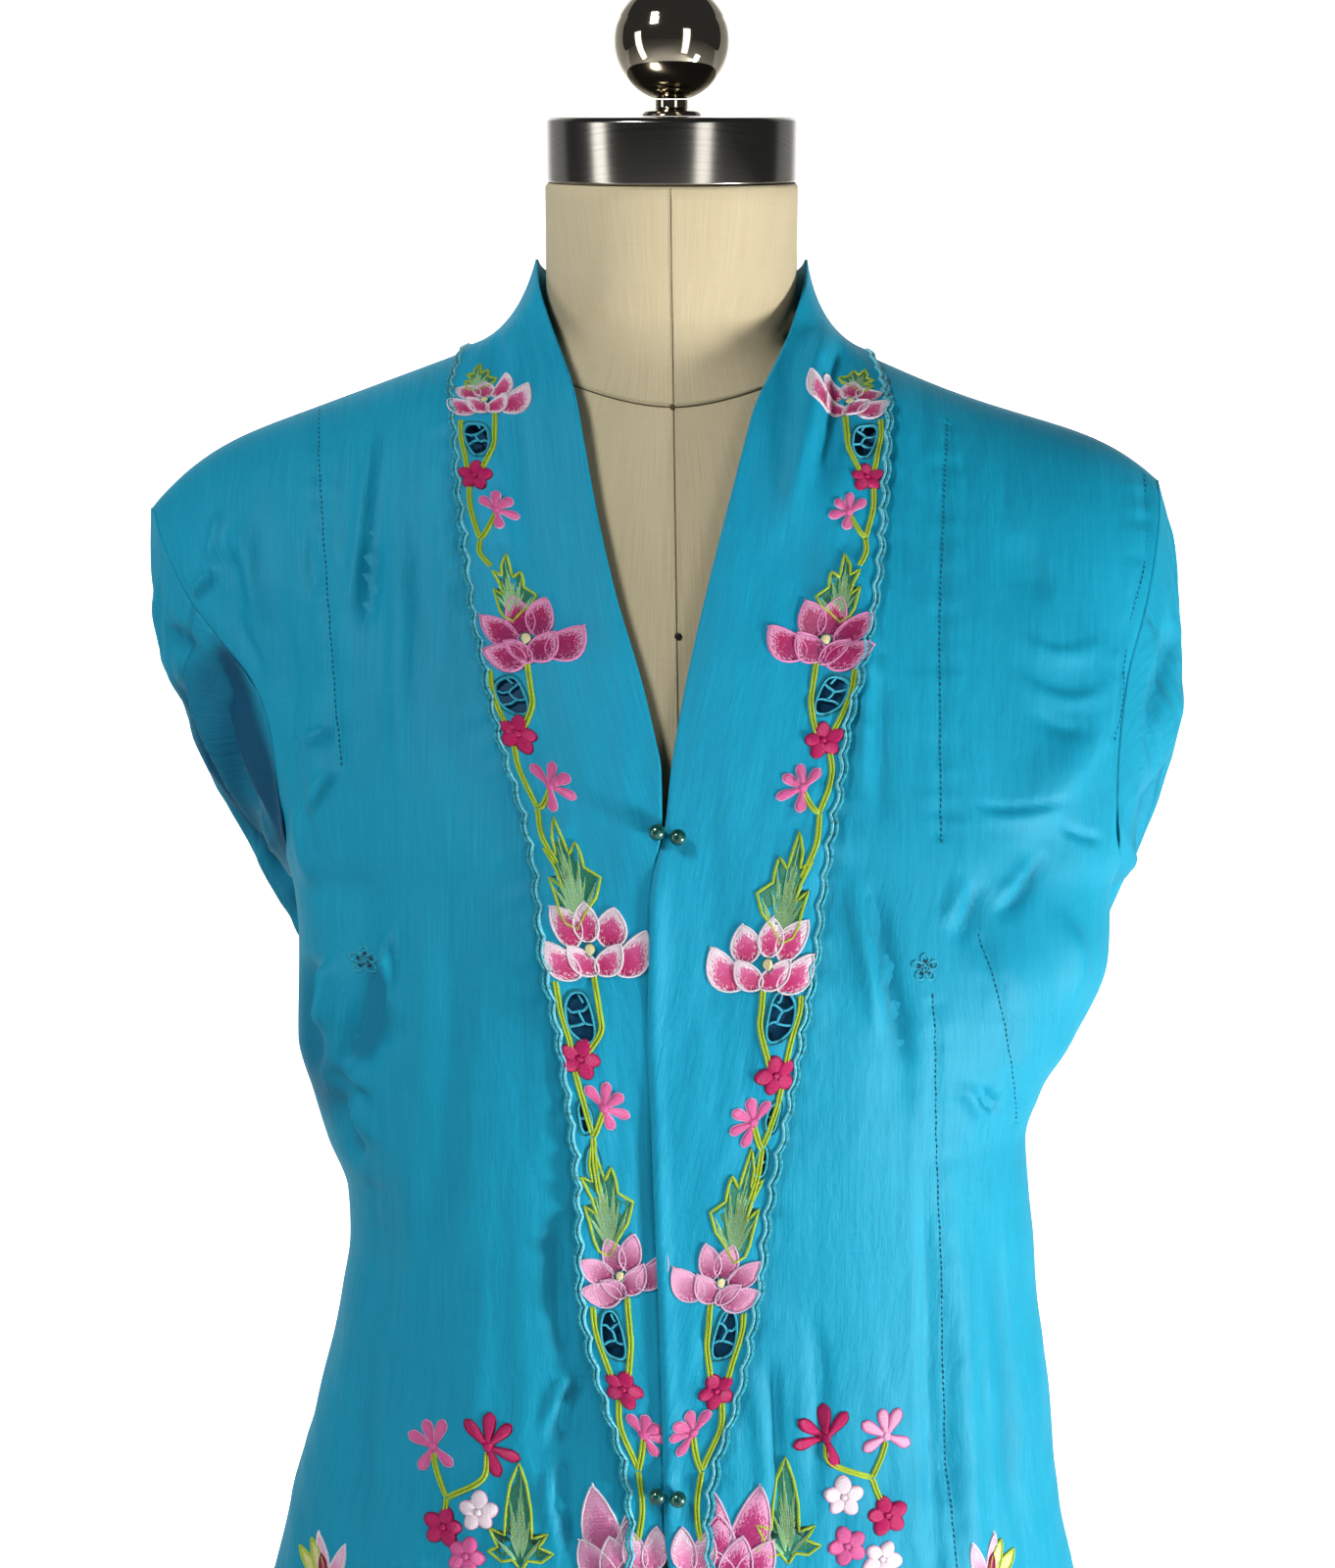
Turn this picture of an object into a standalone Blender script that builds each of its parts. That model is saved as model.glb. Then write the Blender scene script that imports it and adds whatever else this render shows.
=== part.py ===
"""A peranakan blouse (nyonya kebaya) worn by a limbless dress form on a counter stand.

Metres, +Z up. The blouse faces -Y, the wearer's left side is +X, and the origin is the
centre of the stand's underside. Heights named "level" are measured from DATUM, the height
just above the blouse's upper fastening. Every cloth piece is a thin wall whose outer skin
follows one body surface: a profile over the shoulder, and a half width at each level.
"""

import math

import bpy
import numpy as np
from mathutils import Vector
from mathutils.geometry import delaunay_2d_cdt

DATUM = 0.820            # height of level 0 above the floor
WALL = 0.0012            # cloth of the panels and sleeves
BAND_WALL = 0.0012       # cloth and embroidery of the lapel bands
SEAM = 0.0003            # what stays free between two pieces
RIDGE = 0.228            # level at which the two shoulder lines would meet
SLOPE = 0.372            # fall of the shoulder line
TIP_DROP = 0.020         # how far a shoulder rounds off at its tip
SQUARENESS = 2.6         # exponent of the body's rounded section
LOW_SHOULDER = 0.0040    # how much lower the wearer's left shoulder lies
NECK_X, NECK_Y = 0.0018, 0.006
NECK_POINT = 0.066       # half width of the neck opening on the shoulder line
ARMPIT = -0.045          # level of the underarm point
TIP_RIGHT, TIP_LEFT = 0.2314, 0.2196

# The body from the side: drop below the shoulder line, and how far the cloth stands from
# the shoulders' plane there, to the front and to the back.
PROFILE = (
    # drop, front, back
    (0.000, 0.0000, 0.000),
    (0.004, 0.0150, 0.017),
    (0.012, 0.0300, 0.034),
    (0.026, 0.0455, 0.053),
    (0.050, 0.0625, 0.073),
    (0.085, 0.0790, 0.090),
    (0.125, 0.0945, 0.102),
    (0.170, 0.1100, 0.108),
    (0.230, 0.1240, 0.110),
    (0.280, 0.1300, 0.108),
    (0.340, 0.1270, 0.103),
    (0.420, 0.1190, 0.100),
    (0.510, 0.1220, 0.112),
    (0.610, 0.1300, 0.126),
    (0.720, 0.1360, 0.134),
)

# The body from the front: half width at each level.
WIDTHS = (
    # level, wearer's right, wearer's left
    (-0.490, 0.1930, 0.1950),
    (-0.400, 0.1850, 0.1880),
    (-0.352, 0.1745, 0.1798),
    (-0.308, 0.1655, 0.1722),
    (-0.264, 0.1522, 0.1690),
    (-0.220, 0.1435, 0.1630),
    (-0.198, 0.1400, 0.1615),
    (-0.176, 0.1415, 0.1590),
    (-0.154, 0.1505, 0.1575),
    (-0.132, 0.1570, 0.1655),
    (-0.110, 0.1630, 0.1810),
    (-0.077, 0.1625, 0.1950),
    (-0.045, 0.1640, 0.1970),
    (-0.030, 0.1700, 0.2030),
    (0.000, 0.1830, 0.2105),
    (0.024, 0.1900, 0.2160),
    (0.044, 0.1990, 0.2210),
    (0.062, 0.2130, 0.2265),
    (0.079, 0.2260, 0.2310),
    (0.100, 0.2370, 0.2355),
    (0.124, 0.2450, 0.2390),
    (0.170, 0.2500, 0.2430),
    (0.228, 0.2500, 0.2450),
)

# Where the armhole seam crosses each level, as a half width.
ARMHOLE = (
    # level, wearer's right, wearer's left
    (-0.045, 0.1640, 0.1970),
    (-0.030, 0.1635, 0.1945),
    (0.000, 0.1660, 0.1920),
    (0.024, 0.1700, 0.1940),
    (0.044, 0.1780, 0.1970),
    (0.062, 0.1930, 0.2020),
    (0.079, 0.2070, 0.2075),
    (0.100, 0.2190, 0.2125),
    (0.124, 0.2290, 0.2170),
    (0.150, 0.2360, 0.2205),
    (0.228, 0.2500, 0.2300),
)

# The lapel bands from the front: where their inner and outer edges lie at each level.
BANDS = (
    # level, right inner, right outer, left inner, left outer
    (0.1550, -0.0369, -0.0923, 0.0352, 0.0953),
    (0.1200, -0.0307, -0.0887, 0.0262, 0.0925),
    (0.0800, -0.0217, -0.0828, 0.0162, 0.0875),
    (0.0400, -0.0100, -0.0750, 0.0072, 0.0785),
    (0.0200, -0.0052, -0.0697, 0.0035, 0.0737),
    (0.0050, -0.0024, -0.0650, 0.0012, 0.0719),
    (-0.0150, -0.0020, -0.0590, -0.0006, 0.0682),
    (-0.0400, -0.0052, -0.0540, -0.0042, 0.0640),
    (-0.0700, -0.0063, -0.0510, -0.0053, 0.0605),
    (-0.1000, -0.0070, -0.0450, -0.0060, 0.0555),
    (-0.1350, -0.0059, -0.0400, -0.0047, 0.0492),
    (-0.1700, -0.0046, -0.0370, -0.0034, 0.0425),
    (-0.2000, -0.0034, -0.0368, -0.0020, 0.0389),
    (-0.2250, -0.0024, -0.0335, -0.0010, 0.0346),
    (-0.2500, -0.0016, -0.0265, -0.0002, 0.0290),
    (-0.2750, -0.0012, -0.0190, 0.0004, 0.0210),
    (-0.3000, -0.0012, -0.0160, 0.0008, 0.0175),
    (-0.3300, -0.0030, -0.0175, 0.0030, 0.0190),
    (-0.3700, -0.0075, -0.0220, 0.0075, 0.0240),
    (-0.4050, -0.0140, -0.0280, 0.0140, 0.0300),
    (-0.4400, -0.0230, -0.0360, 0.0230, 0.0380),
)

# How the lapel stands up beside the neck: its inner edge, middle and outer edge on the way
# from the shoulder line (0) down to where the lapel lies flat (1).
STAND = (
    # way, inner x, inner y, inner level, middle x, middle y, middle level, outer x, outer drop
    (0.00, 0.0590, 0.0040, 0.2360, 0.0660, 0.0000, 0.2005, 0.0900, 0.0000),
    (0.25, 0.0570, -0.0170, 0.2190, 0.0665, -0.0260, 0.1930, 0.0920, 0.0098),
    (0.50, 0.0525, -0.0330, 0.2010, 0.0670, -0.0390, 0.1830, 0.0945, 0.0183),
    (0.75, 0.0450, -0.0470, 0.1790, 0.0665, -0.0520, 0.1695, 0.0950, 0.0282),
    (1.00, 0.0365, -0.0590, 0.1550, 0.0650, -0.0640, 0.1550, 0.0935, 0.0382),
)
STAND_LENGTH = 0.080     # length of the lapel between those two places
STAND_CLIMB = 0.75       # how fast a lying lapel would rise there
LIFT = 0.0010            # the lapels lie this far off the fronts
SCALLOP = 0.0125         # length of one scallop of the cord edge
SCALLOP_DEPTH = 0.0019
END_POINTS = 8           # points across a lapel where it meets the back of the collar

# Cutwork cells of the lapels: distance down the band from the shoulder line, distance in
# from the outer edge, length down the band and width across, and the turn in degrees.
CELLS = (
    # down, in, length, width, turn
    (0.0850, 0.0105, 0.0066, 0.0048, 15.0),
    (0.0925, 0.0135, 0.0060, 0.0046, -15.0),
    (0.0930, 0.0080, 0.0058, 0.0044, 10.0),
    (0.2060, 0.0095, 0.0070, 0.0050, 12.0),
    (0.2145, 0.0130, 0.0064, 0.0048, -18.0),
    (0.2150, 0.0070, 0.0060, 0.0044, 12.0),
    (0.3370, 0.0100, 0.0092, 0.0054, 6.0),
    (0.3470, 0.0140, 0.0070, 0.0050, -12.0),
    (0.3490, 0.0085, 0.0078, 0.0048, 8.0),
    (0.3850, 0.0075, 0.0090, 0.0044, 4.0),
    (0.4030, 0.0085, 0.0096, 0.0044, 0.0),
    (0.4690, 0.0110, 0.0086, 0.0050, 4.0),
    (0.4790, 0.0120, 0.0078, 0.0046, -6.0),
)

# The largest folds of the fronts and the back: from one place to another on the piece, how
# far they stand out (ridge) or sink in (trough), and their width.
FRONT_FOLDS = (
    # x, level, to x, to level, height, width
    (0.192, 0.033, 0.154, -0.012, 0.0035, 0.013),
    (0.081, -0.036, 0.097, -0.119, -0.0040, 0.012),
    (0.132, -0.054, 0.160, -0.026, -0.0040, 0.013),
    (0.145, -0.080, 0.175, -0.070, 0.0035, 0.014),
    (0.157, 0.066, 0.183, 0.042, 0.0030, 0.014),
    (-0.126, -0.050, -0.119, -0.100, -0.0055, 0.012),
    (-0.141, -0.058, -0.138, -0.118, 0.0040, 0.012),
    (-0.033, -0.238, -0.046, -0.270, -0.0040, 0.012),
    (-0.043, -0.271, -0.038, -0.330, -0.0030, 0.012),
    (0.109, -0.100, 0.113, -0.260, 0.0022, 0.011),
    (-0.130, 0.050, -0.155, -0.040, 0.0030, 0.014),
    (-0.110, -0.290, -0.120, -0.390, 0.0040, 0.016),
    (0.110, -0.300, 0.125, -0.390, 0.0040, 0.016),
)
BACK_FOLDS = (
    # x, level, to x, to level, height, width
    (0.100, 0.060, 0.125, -0.060, 0.0030, 0.016),
    (-0.100, 0.055, -0.125, -0.060, 0.0030, 0.016),
    (0.060, -0.150, 0.110, -0.190, -0.0035, 0.016),
    (-0.055, -0.140, -0.105, -0.185, -0.0035, 0.016),
    (0.070, -0.240, 0.085, -0.380, 0.0025, 0.018),
    (-0.070, -0.240, -0.090, -0.380, 0.0025, 0.018),
    (0.000, -0.250, 0.004, -0.380, -0.0030, 0.018),
)

# A sleeve on its way from the underarm to the cuff, lying round the body's side and back:
# level of its middle, where its front edge and its back edge lie (distance round the body
# from the side seam line towards the back), how thick it stands, how far it hangs clear of
# the back panel, and how much lower its front edge is than its back edge.
SLEEVE_RIGHT = (
    # level, front edge, back edge, thickness, clear, tilt
    (-0.065, 0.0720, 0.1960, 0.0270, 0.0055, 0.056),
    (-0.100, 0.0780, 0.1980, 0.0300, 0.0055, 0.046),
    (-0.140, 0.0850, 0.2000, 0.0300, 0.0055, 0.034),
    (-0.190, 0.0850, 0.1960, 0.0300, 0.0055, 0.022),
    (-0.250, 0.0760, 0.1860, 0.0310, 0.0055, 0.014),
    (-0.320, 0.0820, 0.1880, 0.0320, 0.0055, 0.007),
    (-0.380, 0.0890, 0.1920, 0.0330, 0.0055, 0.003),
    (-0.425, 0.0930, 0.1950, 0.0340, 0.0055, 0.000),
)
SLEEVE_LEFT = (
    # level, front edge, back edge, thickness, clear, tilt
    (-0.065, 0.0740, 0.2060, 0.0300, 0.0055, 0.056),
    (-0.100, 0.0900, 0.2140, 0.0300, 0.0055, 0.046),
    (-0.140, 0.0930, 0.2120, 0.0300, 0.0055, 0.034),
    (-0.190, 0.0880, 0.2040, 0.0300, 0.0055, 0.022),
    (-0.250, 0.0820, 0.1960, 0.0310, 0.0055, 0.014),
    (-0.320, 0.0860, 0.1960, 0.0320, 0.0055, 0.007),
    (-0.380, 0.0920, 0.1990, 0.0330, 0.0055, 0.003),
    (-0.425, 0.0960, 0.2020, 0.0340, 0.0055, 0.000),
)
SLEEVE_START = 6         # point of the armhole loop from which the sleeve's columns count
BLEND_ROWS = 7
SLEEVE_RINGS = 13
SLEEVE_EASE = 5          # how often the sleeve's rings are eased towards their neighbours

NECK_LEAN = 0.26         # how far the neck leans forward for each metre up
NECK_RADIUS = 0.0562
NECK_TOP = 0.2675        # level of the top of the linen on the neck's axis
CAP_HEIGHT, CAP_RADIUS = 0.0285, 0.0555
STEM_RADIUS, BALL_RADIUS, BALL_RISE = 0.0073, 0.0256, 0.0272
BASE_RADIUS, BASE_HEIGHT = 0.160, 0.012
POLE_RADIUS, FLANGE_RADIUS = 0.0125, 0.034
FORM_BOTTOM = -0.520
FORM_GAP = 0.0065        # between the form and the cloth on it
BEAD_RADIUS = 0.0034
BEADS = (
    # name, x, level
    ("bead_upper_right", -0.0042, -0.0193),
    ("bead_upper_left", 0.0042, -0.0213),
    ("bead_lower_right", -0.0042, -0.2857),
    ("bead_lower_left", 0.0042, -0.2867),
)


def smooth(rows, column, at):
    """A table's column, read at a value of its first column on a curve without overshoot."""
    rows = np.asarray(rows, float)
    rows = rows[np.argsort(rows[:, 0])]
    x, y = rows[:, 0], rows[:, column]
    step = np.diff(x)
    slope = np.diff(y) / step
    knot = np.zeros(len(x))
    left, right = slope[:-1], slope[1:]
    same = left * right > 0
    knot[1:-1][same] = 2 * left[same] * right[same] / (left[same] + right[same])
    knot[0], knot[-1] = slope[0], slope[-1]
    at = np.asarray(at, float)
    i = np.clip(np.searchsorted(x, at) - 1, 0, len(x) - 2)
    t = np.clip((at - x[i]) / step[i], 0, 1)
    a = (2 * t**3 - 3 * t**2 + 1) * y[i] + (t**3 - 2 * t**2 + t) * step[i] * knot[i]
    b = (3 * t**2 - 2 * t**3) * y[i + 1] + (t**3 - t**2) * step[i] * knot[i + 1]
    over = np.where(at < x[0], (at - x[0]) * knot[0], 0.0)
    return a + b + np.where(at > x[-1], (at - x[-1]) * knot[-1], over)


def sided(rows, x, level, first=1):
    """A two-sided table: the wearer's right column where x < 0, the left one elsewhere."""
    return np.where(np.asarray(x) < 0, smooth(rows, first, level), smooth(rows, first + 1, level))


def ridge(x):
    """Level of the shoulder line."""
    low = LOW_SHOULDER * np.exp(-(((np.asarray(x) - 0.128) / 0.048) ** 2))
    x = np.abs(x)
    return RIDGE - SLOPE * x - TIP_DROP * (np.maximum(x - 0.17, 0) / 0.0636) ** 3 - low


def body(x, level, back=False, offset=0.0):
    """Depth (y) of the body surface at x and level; offset widens it on every side."""
    x, level = np.asarray(x, float), np.asarray(level, float)
    drop = np.maximum(ridge(x) - level, 0)
    depth = smooth(PROFILE, 2 if back else 1, drop) + offset
    wide = sided(WIDTHS, x, level) + offset
    share = np.clip(np.abs(x) / wide, 0, 1)
    y = depth * (1 - share**SQUARENESS) ** (1 / SQUARENESS)
    return y if back else -y


def folds(table, x, level):
    """How far the folds of a table move the surface outward at x and level."""
    total = np.zeros(np.broadcast(x, level).shape)
    for x0, z0, x1, z1, height, width in table:
        run = np.array([x1 - x0, z1 - z0])
        length = np.hypot(*run)
        t = ((x - x0) * run[0] + (level - z0) * run[1]) / length**2
        away = np.hypot(x - x0 - run[0] * np.clip(t, 0, 1), level - z0 - run[1] * np.clip(t, 0, 1))
        total = total + height * np.exp(-((away / width) ** 2))
    return total


def unit(v):
    return v / np.maximum(np.linalg.norm(v, axis=-1, keepdims=True), 1e-12)


def grid_normals(points, closed=False, outward=1.0):
    """Unit normals of a grid of points [rows, columns, 3]."""
    down = np.gradient(points, axis=0)
    if closed:
        across = np.roll(points, -1, axis=1) - np.roll(points, 1, axis=1)
    else:
        across = np.gradient(points, axis=1)
    return unit(np.cross(across, down)) * outward


def grid_faces(rows, columns, start, closed=False, flip=False):
    """Quads of a grid whose points are numbered row by row from start."""
    faces = []
    for r in range(rows - 1):
        for c in range(columns if closed else columns - 1):
            d = (c + 1) % columns
            quad = (
                start + r * columns + c,
                start + (r + 1) * columns + c,
                start + (r + 1) * columns + d,
                start + r * columns + d,
            )
            faces.append(quad[::-1] if flip else quad)
    return faces


def colour(r, g, b):
    """A linear colour from its 0-255 values."""
    def linear(v):
        v = v / 255
        return v / 12.92 if v <= 0.04045 else ((v + 0.055) / 1.055) ** 2.4
    return (linear(r), linear(g), linear(b), 1.0)


MATERIALS = {
    # name: (colour, roughness, metallic)
    "turquoise_cotton": (colour(46, 152, 184), 0.85, 0.0),
    "lapel_cotton": (colour(50, 158, 190), 0.85, 0.0),
    "linen": (colour(196, 183, 148), 0.90, 0.0),
    "brushed_steel": (colour(176, 176, 174), 0.34, 1.0),
    "chrome": (colour(205, 207, 210), 0.08, 1.0),
    "green_pearl": (colour(20, 74, 66), 0.22, 0.0),
}


def material(name):
    found = bpy.data.materials.get(name)
    if found:
        return found
    made = bpy.data.materials.new(name)
    made.use_nodes = True
    base, rough, metal = MATERIALS[name]
    shader = made.node_tree.nodes["Principled BSDF"]
    shader.inputs["Base Color"].default_value = base
    shader.inputs["Roughness"].default_value = rough
    shader.inputs["Metallic"].default_value = metal
    made.diffuse_color = base
    return made


def solid(name, points, faces, slot):
    """One closed mesh object, its faces turned outward."""
    points = np.asarray(points, float).reshape(-1, 3) + np.array([0, 0, DATUM])
    mesh = bpy.data.meshes.new(name)
    mesh.from_pydata([tuple(p) for p in points], [], faces)
    mesh.update()
    corners = np.array([[*f[:3]] for f in faces])
    more = np.array([[f[0], f[2], f[3]] for f in faces if len(f) == 4]).reshape(-1, 3)
    tris = np.concatenate([corners, more]).astype(int)
    a, b, c = points[tris[:, 0]], points[tris[:, 1]], points[tris[:, 2]]
    if np.einsum("ij,ij->i", a, np.cross(b, c)).sum() < 0:
        mesh.flip_normals()
    made = bpy.data.objects.new(name, mesh)
    bpy.context.collection.objects.link(made)
    mesh.materials.append(material(slot))
    mesh.shade_smooth()
    return made


def sheet(name, outer, inward, slot, wall=WALL, closed=False):
    """A wall: a grid of outer points, and the same grid moved inward along 'inward'."""
    rows, columns = outer.shape[:2]
    inner = outer + inward * wall
    count = rows * columns
    faces = grid_faces(rows, columns, 0, closed)
    faces += grid_faces(rows, columns, count, closed, flip=True)
    around = [(0, c) for c in range(columns)]
    loops = []
    if closed:
        loops.append(around + [(0, 0)])
        loops.append([(rows - 1, c) for c in range(columns)][::-1] + [(rows - 1, columns - 1)])
    else:
        right = [(r, columns - 1) for r in range(1, rows)]
        bottom = [(rows - 1, c) for c in range(columns - 2, -1, -1)]
        left = [(r, 0) for r in range(rows - 2, -1, -1)]
        loops.append(around + right + bottom + left)
    for loop in loops:
        for (r0, c0), (r1, c1) in zip(loop, loop[1:]):
            a, b = r0 * columns + c0, r1 * columns + c1
            faces.append((a, b, b + count, a + count))
    return solid(name, np.concatenate([outer.reshape(-1, 3), inner.reshape(-1, 3)]), faces, slot)


def front_inner(side, level):
    """Inner edge of a front panel, under its band: x at a level."""
    base = smooth(BANDS, 3 if side > 0 else 1, np.minimum(level, 0.155))
    climb = np.clip((level - 0.155) / (ridge(NECK_POINT) - 0.155), 0, 1)
    tuck = side * (0.0010 + 0.0035 * np.clip((level + 0.01) / 0.05, 0, 1))
    return (base + tuck) * (1 - climb) + side * NECK_POINT * climb


def seam_row(side, level):
    """Outer edge of a body panel at a level: x of the armhole or of the side seam."""
    column = 2 if side > 0 else 1
    wide = smooth(WIDTHS, column, level)
    return side * np.where(level > ARMPIT, np.minimum(smooth(ARMHOLE, column, level), wide), wide)


def tip(side):
    return TIP_LEFT if side > 0 else TIP_RIGHT


ROWS = np.array([0, 0.006, 0.016, 0.032, 0.055, 0.085, 0.12, 0.16, 0.20, 0.24, 0.28, 0.32, 0.355,
                 0.39, 0.425, 0.46, 0.495, 0.535, 0.58, 0.63, 0.69, 0.75, 0.81, 0.875, 0.94, 1.0])
COLUMNS = 12
HEM_FRONT, HEM_SIDE, HEM_BACK = -0.440, -0.390, -0.375


def outer_levels(side):
    """Levels of the rows at the armhole and side seam, with one row on the underarm point."""
    top = float(ridge(tip(side)))
    levels = top + ROWS * (HEM_SIDE - top)
    near = int(np.argmin(np.abs(levels - ARMPIT)))
    share = np.interp(np.arange(len(ROWS)), [0, near, len(ROWS) - 1], [0, 1, 0])
    return levels + (ARMPIT - levels[near]) * share


def section_x(side, inner, outer, level, share):
    """x along a row, spaced evenly round the body's rounded section."""
    wide = side * sided(WIDTHS, side, level)
    a = np.arcsin(np.clip(np.abs(inner / wide), 0, 1) ** (SQUARENESS / 2)) * np.sign(inner * side)
    b = np.arcsin(np.clip(np.abs(outer / wide), 0, 1) ** (SQUARENESS / 2))
    angle = a + (b - a) * share
    return wide * np.sign(angle) * np.abs(np.sin(angle)) ** (2 / SQUARENESS)


def front_grid(side):
    """Outer points of a front panel, and the directions into its wall."""
    top_in = float(ridge(NECK_POINT))
    ins = top_in + ROWS * (HEM_FRONT - top_in)
    outs = outer_levels(side)
    share = np.linspace(0, 1, COLUMNS)
    points = np.zeros((len(ROWS), COLUMNS, 3))
    for r, (level_in, level_out) in enumerate(zip(ins, outs)):
        inner = front_inner(side, level_in)
        outer = side * tip(side) if r == 0 else float(seam_row(side, level_out))
        level = level_in + (level_out - level_in) * share
        for _ in range(4):
            x = section_x(side, inner, outer, level, share)
            run = np.clip((x - x[0]) / (x[-1] - x[0]), 0, 1)
            dip = 0.010 * np.sin(np.pi * run) * (r == len(ROWS) - 1)
            level = level_in + (level_out - level_in) * run**0.9 - dip
            if r == 0:
                level = ridge(x)
        points[r] = np.stack([x, body(x, level), level], axis=1)
    return shape_panel(points, FRONT_FOLDS, side, -1)


def shape_panel(points, table, side, facing):
    """Adds folds to a body panel and gives the directions into its wall, edges included."""
    inward = -grid_normals(points, outward=1.0)
    inward *= np.sign(np.sum(inward * np.array([0, -facing, 0.0]), axis=(0, 1, 2)))
    move = folds(table, points[..., 0], points[..., 2])
    rows = np.arange(len(points))
    edge = np.clip(rows / 3, 0, 1)[:, None]
    fade = np.ones(points.shape[1])
    fade[-2:] = (0.5, 0.0)
    if side == 0:
        fade[:2] = (0.0, 0.5)
    points = points - inward * (move * edge * fade)[..., None]
    inward = -grid_normals(points, outward=1.0)
    inward *= np.sign(np.sum(inward * np.array([0, -facing, 0.0]), axis=(0, 1, 2)))
    points[..., 1] += facing * SEAM / 2
    inward[0, :, 1] = 0
    for column in ([-1] if side else [0, -1]):
        seam = points[:, column, 2] <= ARMPIT + 0.001
        inward[seam, column, 1] = 0
        inward[seam, column, 2] = 0
    if side:
        low = points[:, 0, 2] < 0
        inward[low, 0, 0] = 0
    return points, unit(inward)


def neckline(x):
    """Level of the back panel's top edge."""
    share = np.clip(np.abs(x) / NECK_POINT, 0, 1)
    return ridge(x) - 0.045 * np.sqrt(1 - share**2)


def back_grid():
    """Outer points of the back panel, from the wearer's right side to the left."""
    outer = np.linspace(0, 1, 9)[1:] + 1
    across = np.concatenate([-outer[::-1], np.linspace(-1, 1, 9), outer])
    points = np.zeros((len(ROWS), len(across), 3))
    for r, share in enumerate(ROWS):
        for c, a in enumerate(across):
            side = -1 if a < 0 else 1
            outs = outer_levels(side)[r]
            outer = tip(side) if r == 0 else abs(float(seam_row(side, outs)))
            wide = abs(a)
            x = NECK_POINT * (1 + 0.08 * share) * math.sin(min(wide, 1) * math.pi / 2)
            if wide > 1:
                inner = NECK_POINT * (1 + 0.08 * share)
                x = abs(float(section_x(side, side * inner, side * outer, outs, wide - 1)))
            x *= side
            top = float(neckline(x))
            low = HEM_BACK + (HEM_SIDE - HEM_BACK) * (abs(x) / 0.19) ** 2
            mid = top + share * (low - top)
            run = np.clip(abs(x) / max(outer, 1e-6), 0, 1) ** 3
            level = mid * (1 - run) + outs * run
            if r == 0:
                level = top
            points[r, c] = (x, float(body(x, level, back=True)), level)
    return shape_panel(points, BACK_FOLDS, 0, 1)


def section_curve(side, level, offset):
    """Points round the body from the side seam line to the centre back, and their lengths."""
    angle = np.linspace(0, math.pi / 2, 90)
    wide = float(smooth(WIDTHS, 2 if side > 0 else 1, level)) + offset
    x = wide * np.cos(angle) ** (2 / SQUARENESS)
    drop = np.maximum(ridge(x) - level, 0)
    depth = smooth(PROFILE, 2, drop) + offset
    y = depth * np.sin(angle) ** (2 / SQUARENESS)
    path = np.stack([side * x, y], axis=1)
    along = np.concatenate([[0], np.cumsum(np.linalg.norm(np.diff(path, axis=0), axis=1))])
    return path, along


def sleeve_ring(side, omega, level, front, back, thick, clear, tilt, swell):
    """One section of a sleeve, lying round the body; starts at the front edge."""
    points = np.zeros((len(omega), 3))
    middle, half = (front + back) / 2, (back - front) / 2
    for k, w in enumerate(omega):
        lift = math.sin(w)
        run = -math.copysign(abs(math.cos(w)) ** 0.85, math.cos(w))
        out = clear + thick * (0.5 + 0.5 * math.copysign(abs(lift) ** 0.9, lift))
        out += swell * max(lift, 0) * math.sin(3.0 * run + 0.9)
        here = level + 0.5 * tilt * run
        path, along = section_curve(side, here, out)
        at = (middle + half * run) * along[-1] / section_curve(side, here, 0.0)[1][-1]
        points[k] = (np.interp(at, along, path[:, 0]), np.interp(at, along, path[:, 1]), here)
    return points


def armhole_loop(side):
    """The armhole seam as a closed loop, through the panels' own edge points: it starts on
    the front, goes over the shoulder and comes back under the arm."""
    levels = outer_levels(side)
    near = int(np.argmin(np.abs(levels - ARMPIT)))
    x = np.array([side * tip(side)] + [float(seam_row(side, v)) for v in levels[1:near + 1]])
    level = levels[:near + 1].copy()
    level[0] = ridge(x[0])
    front = np.stack([x, body(x, level), level], axis=1)
    back = np.stack([x, body(x, level, back=True), level], axis=1)
    loop = np.concatenate([front[::-1], back[1:-1]])
    return np.roll(loop, -SLEEVE_START, axis=0)


def loop_turn(loop):
    """The turn (0 to 2 pi) of each point round a loop, by the length of the loop before it."""
    steps = np.linalg.norm(np.roll(loop, -1, axis=0) - loop, axis=1)
    return np.concatenate([[0], np.cumsum(steps)[:-1]]) / steps.sum() * math.tau


def pushed_out(points, clear):
    """Points moved away from the body where they would lie nearer to it than 'clear'."""
    x, y, level = points[..., 0], points[..., 1], points[..., 2]
    wide = sided(WIDTHS, x, level) + clear
    drop = np.maximum(ridge(np.minimum(np.abs(x), 0.235)) - level, 0)
    depth = np.where(y < 0, smooth(PROFILE, 1, drop), smooth(PROFILE, 2, drop)) + clear
    inside = (np.abs(x / wide) ** SQUARENESS + np.abs(y / depth) ** SQUARENESS) ** (1 / SQUARENESS)
    hole = sided(ARMHOLE, x, level)
    open_hole = np.where(level > ARMPIT, np.clip((np.abs(x) - hole - 0.002) / 0.012, 0, 1), 0)
    grow = np.where((inside < 1) & (drop > 0.004), 1 / np.maximum(inside, 0.5), 1.0)
    grow = 1 + (grow - 1) * (1 - open_hole)
    moved = points.copy()
    moved[..., :2] *= grow[..., None]
    return moved


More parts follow.
